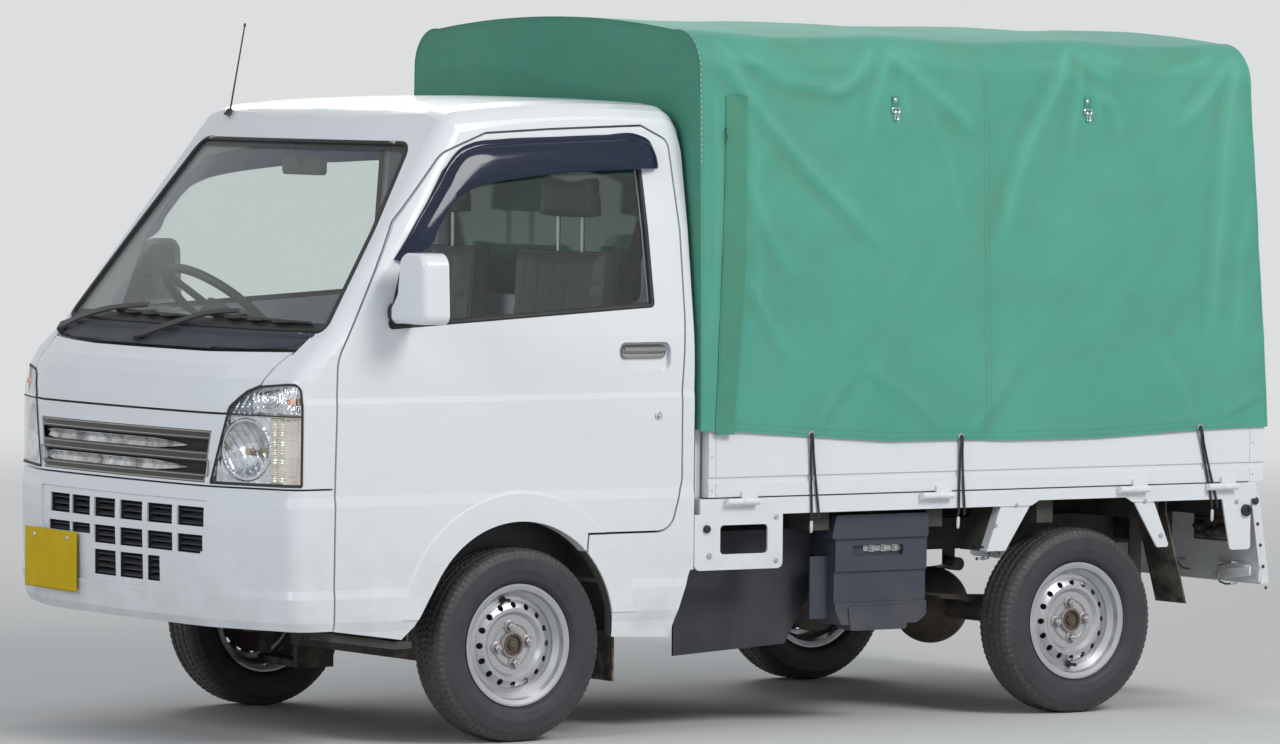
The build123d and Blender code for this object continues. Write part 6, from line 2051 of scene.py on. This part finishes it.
y = -SEAT_MIDDLE_Y
cushion_rim = [(-30, y - 225, 825), (370, y - 225, 808), (370, y + 225, 808), (-30, y + 225, 825)]
back_rim = [(345, y - 215, 850), (385, y - 215, 1315), (385, y + 215, 1315), (345, y + 215, 850)]
piping = [seam(cushion_tree, cushion_rim, (0, 0, 1)), seam(back_tree, back_rim, (-1, 0, 0.12))]
other = [([p + Vector((0, 2 * SEAT_MIDDLE_Y * MM, 0)) for p in points], faces) for points, faces in piping]
piece("seat_piping", piping + other, seat_vinyl, sharp=80)
hard = []
for y in (-SEAT_MIDDLE_Y, SEAT_MIDDLE_Y):
    hard.append(box(0, 360, y - 200, y + 200, 700, 717))
    for post_y in (y - 60, y + 60):
        hard.append(rod((412, post_y, 1300), (412, post_y, 1430), 6, 14))
seat_steel = piece("seat_steel", hard, steel, bevel=1.5)
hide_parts("seats")

# %% [markdown]
# What shows through the glass is plain moulded trim: a hood over the instruments, round air vents, a
# glovebox lid, two sun visors, the mirror on the windscreen, door trims with a grab and a winder,
# and the belts. The pieces stay clear of the steering wheel and of the doors' openings.

# %% Cab trim
dash_tree = tree_of("dashboard")


def on_dash(y, z):
    hit = dash_tree.ray_cast(at(300, y, z), Vector((-1, 0, 0)))[0]
    return from_frame(hit)[0] if hit is not None else -440.0


rows = []
for k in range(17):
    y = WHEEL_MIDDLE_Y - 170 + 340 * k / 16
    rise = math.sin(math.pi * k / 16) ** 0.5
    hood = ((-575, 1100), (-570, 1108 + 34 * rise), (-500, 1106 + 46 * rise), (-452, 1092 + 40 * rise),
            (-448, 1084 + 34 * rise), (-470, 1086))
    rows.append([at(x, y, z) for x, z in hood])
cluster = [grid(rows)]
dials = []
for y, radius in ((WHEEL_MIDDLE_Y - 70, 34), (WHEEL_MIDDLE_Y + 20, 44), (WHEEL_MIDDLE_Y + 98, 26)):
    dials.append(lathe(((radius, -6), (radius + 3, -2), (radius + 3, 2), (radius, 3), (radius - 2, 0), (0, 0)),
                       (-478, y, 1080), (1, 0, 0.35), 30))
vents = []
for y in (-600, -60, 60, 600):
    x = on_dash(y, 1030)
    vents.append(lathe(((38, -4), (38, 5), (34, 8), (31, 5), (31, -2), (0, -2)), (x, y, 1030), (1, 0, 0.1), 28))
    for k in range(-2, 3):
        vents.append(box(x - 1, x + 4, y - 28, y + 28, 1030 + k * 11 - 1.5, 1030 + k * 11 + 1.5))
panel_x = on_dash(0, 960) + 3
radio = [box(panel_x - 6, panel_x + 3, -95, 95, 905, 985), box(panel_x + 3, panel_x + 6, -80, 80, 945, 975)]
knobs = [lathe(((13, 0), (13, 8), (11, 13), (0, 13)), (panel_x + 2, y, 924), (1, 0, 0), 20) for y in (-60, 0, 60)]
glove_x = on_dash(-330, 960)
glove = [box(glove_x - 2, glove_x + 4, -480, -150, 900, 1000)]
piece("instrument_hood", cluster, black_plastic, solid=3.0)
piece("instrument_dials", dials, grille_slat)
piece("dashboard_trim", vents + radio + knobs, black_plastic, bevel=1.0)
piece("glovebox_lid", glove, trim_grey, bevel=3.0)

screen_x = on_front(glass_tree, 0, 1600)[0]
visors = []
for y in (-300, 300):
    rows = []
    for i in range(9):
        t = i / 8
        row = []
        for k in range(15):
            u = k / 14 * 2 - 1
            puff = 7 * (1 - u ** 6) * math.sin(math.pi * min(1, 0.08 + t * 0.9)) ** 0.4
            row.append(at(screen_x + 40 + 140 * t, y + 185 * u, 1618 + 34 * t - puff))
        rows.append(row)
    visors.append(grid(rows))
piece("sun_visors", visors, headliner, solid=9.0)
stem = rod((screen_x + 10, 0, 1602), (screen_x + 44, 0, 1556), 5)
mirror_case = []
for t in (0, 5, 12):
    outline = rounded(((-112, 1522), (-112, 1574), (112, 1574), (112, 1522)), 14)
    mirror_case.append([at(screen_x + 58 - t, p.x * (1 - t * 0.006), p.y) for p in outline])
case_points, case_faces = grid(mirror_case, close_columns=True)
ring = len(mirror_case[0])
case_faces += [tuple(range(ring)), tuple(range(2 * ring, 3 * ring))]
piece("cab_mirror", [stem, (case_points, case_faces)], black_plastic, bevel=0.8)

# %% [markdown]
# Each door has a grab handle, a window winder, a pocket and an arm rest inside. The belts hang
# from the pillars behind the seats.

# %% Door trims and belts
DOOR_INNER_Y = -602
for side, turn in SIDES:
    grab = [(-40, DOOR_INNER_Y + 3, 985), (-30, DOOR_INNER_Y + 34, 990), (60, DOOR_INNER_Y + 38, 1000),
            (150, DOOR_INNER_Y + 34, 1006), (160, DOOR_INNER_Y + 3, 1004)]
    crank = [lathe(((20, 0), (20, 7), (14, 11), (0, 11)), (-120, DOOR_INNER_Y, 900), (0, 1, 0), 20),
             rod((-120, DOOR_INNER_Y + 12, 900), (-52, DOOR_INNER_Y + 22, 868), 5.5),
             lathe(((0, 0), (9, 1), (10, 8), (9, 24), (0, 26)), (-52, DOOR_INNER_Y + 18, 868), (0, 1, 0), 16)]
    pocket = slab(rounded(((-330, 470), (-330, 620), (330, 640), (360, 470)), 24), "y", DOOR_INNER_Y + 1,
                  DOOR_INNER_Y + 26)
    arm = slab(rounded(((-60, 930), (-60, 962), (330, 962), (330, 930)), 12), "y", DOOR_INNER_Y + 1, DOOR_INNER_Y + 42)
    shapes = [turn(shape) for shape in (sweep(grab, round_section(8, 10)), *crank, pocket, arm)]
    piece(f"door_trim_{side}", shapes, black_plastic, body=f"cab_door_{side}", bevel=1.5)
belts = []
for _, turn in SIDES:
    strap = [(470, -604, 1400), (462, -596, 1360), (440, -560, 1180), (428, -548, 980), (425, -545, 800),
             (430, -548, 735)]
    belts.append(turn(sweep(strap, [(-23, -0.8), (23, -0.8), (23, 0.8), (-23, 0.8)], up=(0, 1, 0))))
piece("seat_belts", belts, strap_cloth)
lever = [rod((-250, 20, 700), (-280, 20, 900), 6),
         lathe(((0, -16), (12, -12), (17, 4), (14, 18), (0, 22)), (-281, 20, 912), (-0.15, 0, 1), 20)]
boot_rows = [[at(-250 + 60 * s * math.cos(t), 20 + 60 * s * math.sin(t), z)
              for t in np.linspace(0, 2 * math.pi, 20, endpoint=False)]
             for s, z in ((1, 701), (0.8, 716), (0.86, 722), (0.55, 742), (0.6, 748), (0.2, 772))]
piece("gear_lever", lever + [grid(boot_rows, close_columns=True)], black_plastic)
print("cab trim pieces ready")
# %% [markdown]
# A tyre is turned from its section like a bowl, but its tread needs relief. Each ring of points goes
# round in even steps, and the points of the tread are pressed in where a groove passes: three
# zigzag grooves round it, and short open cuts across each shoulder. The side walls get thin raised
# rings. Dust sits on the tread and fades down the side wall, and a point attribute tells the
# material where.

# %% Tyres
WHEEL_Z, TYRE_STEPS_PER_PITCH, TYRE_PITCHES = 263.0, 4, 88
# columns: name, x, half tread
AXLES = (("front", 0.0, 652.5), ("rear", 1905.0, 645.0))
TYRE_SECTION = (
    (155, 49.8), (167, 52.3), (178, 66), (205, 72.5), (238, 70), (256, 61), (263, 46), (263, -46),
    (256, -61), (238, -70), (205, -72.5), (178, -66), (167, -52.3), (155, -49.8),
)
TYRE_RADII = (0, 0, 10, 30, 30, 10, 10, 10, 10, 30, 30, 10, 0, 0)


def tyre_profile():
    """The section with its corners rounded, and its long runs cut up finely where the tread is."""
    smooth = rounded([tuple(p) for p in TYRE_SECTION], TYRE_RADII, 5)
    result = []
    for p, q in zip(smooth, smooth[1:] + smooth[:1]):
        high = max(p.x, q.x)
        step = 3.0 if high > 246 else 7.0
        if high < 160:
            step = 60.0
        pieces = max(1, round((q - p).length / step))
        result += [p.lerp(q, k / pieces) for k in range(pieces)]
    return result


def pulse(place, centre, half):
    """1 in the middle of a groove and 0 at its edges, with steep walls."""
    return min(1.0, max(0.0, (half - abs(place - centre)) / (0.3 * half)))


def groove(radius, out, pitch):
    """How deep the tread is cut at a place. pitch runs from 0 to 1 along one block."""
    zigzag = 3.0 * (abs(pitch * 2 - 1) * 2 - 1)
    depth = max(pulse(out, centre + zigzag * sign, 3.6) for centre, sign in ((-27, 1), (0, -1), (27, 1))) * 6.0
    if abs(out) > 36:
        shoulder = pulse(pitch, 0.5, 0.20) * min(1.0, (abs(out) - 36) / 6) * min(1.0, max(0.0, (radius - 240) / 10))
        depth = max(depth, 2.2 * shoulder)
    elif abs(out) < 24:
        depth = max(depth, 2.0 * pulse(pitch, 0.75 if out > 0 else 0.25, 0.09))
    return depth if radius > 240 else 0.0


profile = tyre_profile()
normals = []
for k, place in enumerate(profile):
    run = profile[(k + 1) % len(profile)] - profile[k - 1]
    normal = Vector((run.y, -run.x)).normalized()
    normals.append(normal if normal.dot(place - Vector((205, 0))) > 0 else -normal)


def build_tyre(name, axle_x, half_tread, side):
    steps = TYRE_PITCHES * TYRE_STEPS_PER_PITCH
    rows, dust = [], []
    for i in range(steps):
        angle = 2 * math.pi * i / steps
        cos, sin = math.cos(angle), math.sin(angle)
        pitch = (i % TYRE_STEPS_PER_PITCH) / TYRE_STEPS_PER_PITCH
        row = []
        for place, normal in zip(profile, normals):
            radius, out = place
            offset = -groove(radius, out, (pitch + (0.5 if out > 0 else 0.0)) % 1.0)
            if radius < 240 and abs(out) > 60:
                offset += 0.9 * sum(math.exp(-(((radius - ring) / 3.0) ** 2)) for ring in (184, 226, 236))
            radius, out = radius + normal.x * offset, out + normal.y * offset
            radius = min(radius, 262.9)
            row.append(at(axle_x + radius * cos, side * (half_tread + out), WHEEL_Z + radius * sin))
            dust.append(0.8 * min(1.0, max(0.0, (place.x - 232) / 22))
                        * (0.5 + 0.5 * min(1.0, -offset / 3.0 if offset < 0 else 0.4)))
        rows.append(row)
    tyre = piece(name, [grid(rows, close_rows=True, close_columns=True)], tyre_rubber, body=f"wheel_{name[5:]}",
                 sharp=38)
    attribute = tyre.data.attributes.new("tread_dust", "FLOAT", "POINT")
    attribute.data.foreach_set("value", dust)
    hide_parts(f"tyre_{name[5:]}")


for end, axle_x, half_tread in AXLES:
    for label, side in SIGNS:
        build_tyre(f"tyre_{end}_{label}", axle_x, half_tread, side)
print("tyre section has", len(profile), "points, and", TYRE_PITCHES * TYRE_STEPS_PER_PITCH, "of them go round")

# %% [markdown]
# Each wheel is held by four nuts on round seats. The hub shows a dark bore with the shaft's nut in it
# and a raised collar, and a rubber valve stands in the rim. The imported wheel keeps its own mesh. A mask
# inside its material darkens the drum behind the holes and the bore of the hub.

# %% Wheel fittings
NUT_CIRCLE, VALVE_CIRCLE = 50.0, 126
# columns: turn of the four nuts, angle of the valve, in degrees
WHEEL_TURNS = {"front": (-9, 76), "rear": (-4, -88)}
rim_paints = {}
for end, axle_x, half_tread in AXLES:
    def drum_mask(tree, spot, half_tread=half_tread):
        """The drum that shows through the dish's holes, and the dark bore of the hub."""
        drum = joined(tree, "MULTIPLY", short_of(tree, spot["Across"], (half_tread + 16) * MM),
                      short_of(tree, spot["Distance"], 0.115))
        return joined(tree, "MAXIMUM", drum, short_of(tree, spot["Distance"], 0.0315))

    rim_paints[end] = two_finishes(f"wheel_paint_{end}", wheel_paint, (0.15, 0.11, 0.085), (0.05, 0.04, 0.035), 0.75,
                                   drum_mask,
                                   (axle_x, WHEEL_Z))
for end, axle_x, half_tread in AXLES:
    for label, side in SIGNS:
        body = f"wheel_{end}_{label}"
        nut_turn, valve_turn = WHEEL_TURNS[end]

        def wheel_place(radius, degrees, out):
            angle = math.radians(degrees)
            x, z = axle_x + side * radius * math.cos(angle), WHEEL_Z + radius * math.sin(angle)
            return x, side * (half_tread + out), z

        way = (0, side, 0)
        hub = wheel_place(0, 0, 0)
        seats_up, nuts = [], []
        for k in range(4):
            origin = wheel_place(NUT_CIRCLE, nut_turn + 90 * k, 0)
            seats_up.append(lathe(((19, 23.5), (17.5, 28.5), (14, 30), (12, 28.5), (0, 28.5)), origin, way, 24))
            nuts.append(lathe(((10.5, 27), (10.5, 40), (8.5, 42.5), (4.5, 42.5), (4.5, 36), (0, 36)), origin, way, 6))
            nuts.append(lathe(((4, 34), (4, 45), (3.4, 46), (0, 46)), origin, way, 12))
        seats_up.append(lathe(((62, 23.6), (60, 27), (57, 27.6), (54, 25), (52, 23.6)), hub, way, 40))
        seats_up.append(lathe(((37, 24), (36.5, 30), (34, 34), (31.2, 34), (31.2, 20)), hub, way, 40))
        hub_nut = [lathe(((24, 24), (24, 26), (15.5, 26), (15.5, 25.5)), hub, way, 30),
                   lathe(((8, 20), (8, 34), (6.5, 36), (3, 36), (2, 33), (0, 33)), hub, way, 18)]
        valve = lathe(((9, 27), (8, 31), (5, 34), (4.2, 50), (5, 51), (5, 60), (3.5, 62), (0, 62)),
                      wheel_place(VALVE_CIRCLE, valve_turn, 0), way, 14)
        piece(f"wheel_seats_{end}_{label}", seats_up, hub_grey, body=body, sharp=40)
        piece(f"wheel_nuts_{end}_{label}", nuts, steel, body=body, bevel=0.6)
        piece(f"hub_nut_{end}_{label}", hub_nut, cast, body=body, sharp=40)
        piece(f"valve_{end}_{label}", [valve], rubber, body=body, sharp=50)

        nodes[f"rim_{end}_{label}"].material_slots[0].material = rim_paints[end]
print("wheel fittings for", 2 * len(AXLES), "wheels")

# %% [markdown]
# The back lamps are seen from behind as red, amber and clear windows in one frame, and from in front
# as a dirty housing with rubber plugs. The lens has fine upright ribs.

# %% Tail lamps
LAMP_BACK_X = 2506.0
# columns: first y, last y, finish
WINDOWS = ((-697, -640, red_lens), (-638, -582, amber_lens), (-580, -523, red_lens))
for number, (y0, y1, finish) in enumerate(WINDOWS):
    rows = []
    for i in range(41):
        y = y0 + (y1 - y0) * i / 40
        row = []
        for k in range(13):
            z = 473 + 69 * k / 12
            edge = min(1.0, min(y - y0, y1 - y, z - 473, 542 - z) / 5)
            row.append(at(LAMP_BACK_X + 1 + 2.2 * edge + 0.5 * edge * math.sin(i * 1.57), y, z))
        rows.append(row)
    shape = grid(rows)
    piece(f"tail_lens_{number}_left", [shape], finish, solid=0.8, sharp=50)
    piece(f"tail_lens_{number}_right", [mirrored(shape)], finish, solid=0.8, sharp=50)
# The frame round the windows, as y and z.
LAMP_FRAME = ((-698.5, 471.5), (-610, 471.5), (-521.5, 471.5), (-521.5, 507), (-521.5, 543.5), (-610, 543.5),
              (-698.5, 543.5), (-698.5, 507))
frame_path = [(LAMP_BACK_X + 0.5, y, z) for y, z in LAMP_FRAME]
edge_frame = [sweep(frame_path, round_section(1.8, 8), closed=True, up=(1, 0, 0))]
plugs = []
for y, z, radius in ((-660, 505, 19), (-612, 498, 15), (-566, 512, 17)):
    plugs.append(lathe(((radius, 0), (radius, 8), (radius * 0.8, 12), (radius * 0.8, 24), (radius * 0.45, 30), (6, 38),
                        (0, 38)), (2470, y, z), (-1, 0, 0), 22))
for a, b, sag in (((2434, -660, 505), (2436, -612, 498), 20), ((2436, -612, 498), (2434, -566, 512), 16)):
    wire = [tuple(a[n] + (b[n] - a[n]) * t + (0, 0, -sag * 4 * t * (1 - t))[n] for n in range(3))
            for t in np.linspace(0, 1, 13)]
    plugs.append(sweep(wire, round_section(3.2, 8)))
lamp_cover = [box(2462, 2471, -692, -530, 478, 538)]
for label, turn in SIDES:
    piece(f"tail_lamp_frame_{label}", [turn(s) for s in edge_frame], black_plastic)
    piece(f"tail_lamp_plugs_{label}", [turn(s) for s in plugs], rubber, sharp=50)
    piece(f"tail_lamp_back_{label}", [turn(s) for s in lamp_cover], cast, bevel=4)

# %% [markdown]
# Around the bed are small fittings: rubber stops and bolts on the brackets, flat latch handles with
# their wire bails on the tailgate, bent hooks for a rope, and rivets in the gates' end caps.

# %% Bed fittings
RAIL_FACE = 733
stops, bolts, handles, bails, hooks = [], [], [], [], []
stops.append(lathe(((17, 0), (17, 9), (14, 12), (7, 12), (6, 8), (0, 8)), (2486, -GATE_FACE, 564), (0, -1, 0), 26))
stops.append(lathe(((11, 0), (11, 6), (8, 9), (0, 9)), (597, -GATE_FACE, 562), (0, -1, 0), 22))
# columns: x, outward place, z, radius
BRACKET_BOLTS = (
    (606, GATE_FACE, 488, 9), (830, GATE_FACE, 590, 7), (830, GATE_FACE, 470, 7), (2452, GATE_FACE, 590, 7),
    (1588, RAIL_FACE, 545, 7), (1660, RAIL_FACE, 600, 7), (2120, RAIL_FACE, 600, 7), (2180, RAIL_FACE, 500, 7),
)
for x, out, z, radius in BRACKET_BOLTS:
    bolts.append(lathe(((radius, 0), (radius, 3.5), (radius * 0.8, 5), (0, 5)), (x, -out, z), (0, -1, 0), 6))
for x in (614, 2511):
    for z in (668, 760, 850, 915):
        bolts.append(lathe(((4, -0.5), (4, 0.6), (2.6, 1.8), (0, 2.1)), (x, -GATE_FACE, z), (0, -1, 0), 14))
fixed_bolts, gate_bolts = bolts[:8], bolts[8:]
for label, turn in SIDES:
    piece(f"bed_stops_{label}", [turn(s) for s in stops], rubber)
    piece(f"bed_bolts_{label}", [turn(s) for s in fixed_bolts], steel, bevel=0.5)
    piece(f"gate_rivets_{label}", [turn(s) for s in gate_bolts], bed_paint, body=f"side_gate_{label}")

gate_front_tree = tree_of("tailgate")


def on_tailgate(y, z):
    hit = gate_front_tree.ray_cast(at(2400, y, z), Vector((1, 0, 0)))[0]
    return from_frame(hit)[0] if hit is not None else 2575.0


handle_rows = []
for k in range(15):
    t = k / 14
    y = -690 + 178 * t
    half = 13.5 * (1 - max(0.0, (t - 0.9) / 0.1) ** 2 * 0.6)
    x, z = 2547 - 8 * math.sin(math.pi * t), 384 - 26 * t
    ring = ((-4, -half), (-7, -half * 0.6), (-7, half * 0.6), (-4, half), (0, half), (0, -half))
    handle_rows.append([at(x + a, y, z + b) for a, b in ring])
points, faces = grid(handle_rows, close_columns=True)
faces += [tuple(range(6)), tuple(range(14 * 6, 15 * 6))]
handles.append((points, faces))
bail = [(2558, -612, 402), (2540, -608, 404), (2532, -590, 398), (2532, -560, 392), (2533, -552, 376),
        (2534, -560, 346), (2535, -590, 340), (2540, -608, 342), (2558, -612, 344)]
bails.append(sweep(bail, round_section(3.4, 8)))
plate_x = on_tailgate(-640, 372)
handles.append(box(plate_x - 5, plate_x + 1, -698, -600, 350, 398))
hook = [(on_tailgate(-352, 400) + 2, -352, 398), (on_tailgate(-352, 400) - 22, -352, 398),
        (on_tailgate(-352, 372) - 26, -354, 384),
        (on_tailgate(-372, 366) - 24, -368, 372), (on_tailgate(-398, 370) - 20, -400, 370)]
hooks.append(sweep(hook, round_section(4.6, 10)))
edge_bolt = [lathe(((11, 0), (11, 4), (8, 6), (0, 6)), (2553, -698, 587), (0, -1, 0), 18)]
for k in range(4):
    edge_bolt.append(lathe(((5, 0), (5, 2), (3, 3), (0, 3)), (2563 + 12 * k * 0.9, -698, 520 - 62 * k), (0, -1, 0), 12))
for label, turn in SIDES:
    piece(f"tailgate_latch_{label}", [turn(s) for s in handles], paint, body="rear_gate", bevel=1.2)
    piece(f"tailgate_bails_{label}", [turn(s) for s in bails + hooks], galvanised, body="rear_gate")
    piece(f"tailgate_studs_{label}", [turn(s) for s in edge_bolt], chassis, body="rear_gate")
print("bed fittings ready")
# %% [markdown]
# The studio is a pale floor, a pale world and three soft lamps. The key lamp stands off the truck's
# left side, because that side is the brighter one in the photograph, and the front is lit by the
# sky. Far off, the floor turns into the same plain tone as the world, so no horizon line shows.

# %% Stage and lamps
FLOOR_HALF = 60.0
BACKGROUND = (0.72, 0.73, 0.74)
FADE_FROM, FADE_TO = 5.0, 16.0
scene = bpy.context.scene
scene.view_settings.view_transform = "Standard"

floor_mesh = bpy.data.meshes.new("studio_floor")
corners = [(-FLOOR_HALF, -FLOOR_HALF, 0), (FLOOR_HALF, -FLOOR_HALF, 0), (FLOOR_HALF, FLOOR_HALF, 0),
           (-FLOOR_HALF, FLOOR_HALF, 0)]
floor_mesh.from_pydata(corners, [], [(0, 1, 2, 3)])
floor = bpy.data.objects.new("studio_floor", floor_mesh)
scene.collection.objects.link(floor)


def seen_directly(tree):
    """1 for a ray that the camera, a mirror or a pane of glass sees."""
    path = add(tree, "ShaderNodeLightPath")
    either = maths(tree, "MAXIMUM", path.outputs["Is Camera Ray"], path.outputs["Is Glossy Ray"])
    return maths(tree, "MAXIMUM", either, path.outputs["Is Transmission Ray"])


def floor_material():
    material = bpy.data.materials.new("studio_floor")
    material.use_nodes = True
    tree = material.node_tree
    shader = tree.nodes["Principled BSDF"]
    shader.inputs["Base Color"].default_value = (0.62, 0.62, 0.62, 1)
    shader.inputs["Roughness"].default_value = 0.9
    place = add(tree, COORDINATE).outputs["Object"]
    distance = add(tree, "ShaderNodeVectorMath", {0: place}, operation="LENGTH").outputs["Value"]
    far = add(tree, "ShaderNodeMapRange", {"Value": distance, "From Min": FADE_FROM, "From Max": FADE_TO},
              interpolation_type="SMOOTHSTEP").outputs[0]
    amount = maths(tree, "MULTIPLY", far, seen_directly(tree))
    plain = add(tree, "ShaderNodeEmission", {"Color": (*BACKGROUND, 1)}).outputs[0]
    mixed = add(tree, "ShaderNodeMixShader", {0: amount, 1: shader.outputs[0], 2: plain}).outputs[0]
    tree.links.new(mixed, tree.nodes["Material Output"].inputs["Surface"])
    return material


floor_mesh.materials.append(floor_material())

world = bpy.data.worlds.new("studio")
scene.world = world
world.use_nodes = True
sky = world.node_tree
light = sky.nodes["Background"]
light.inputs["Color"].default_value = (0.84, 0.88, 0.92, 1)
light.inputs["Strength"].default_value = 0.43
shown = add(sky, "ShaderNodeBackground", {"Color": (*BACKGROUND, 1), "Strength": 1.0}).outputs[0]
both = add(sky, "ShaderNodeMixShader", {0: seen_directly(sky), 1: light.outputs[0], 2: shown}).outputs[0]
sky.links.new(both, sky.nodes["World Output"].inputs["Surface"])


def area_lamp(name, place, target, size, power, colour):
    data = bpy.data.lights.new(name, "AREA")
    data.shape = "DISK"
    data.size = size
    data.energy = power
    data.color = colour
    lamp = bpy.data.objects.new(name, data)
    lamp.location = place
    lamp.rotation_euler = (Vector(target) - Vector(place)).to_track_quat("-Z", "Y").to_euler()
    scene.collection.objects.link(lamp)


area_lamp("key", (2.0, -7.5, 6.5), (0, 0, 0.9), 4.0, 480, (1.0, 0.98, 0.95))
area_lamp("front_fill", (-8.0, -3.0, 4.0), (-1.0, 0, 0.9), 4.0, 178, (0.92, 0.96, 1.0))
area_lamp("back_fill", (4.0, 8.0, 6.0), (0, 0, 1.0), 5.0, 205, (1.0, 1.0, 1.0))
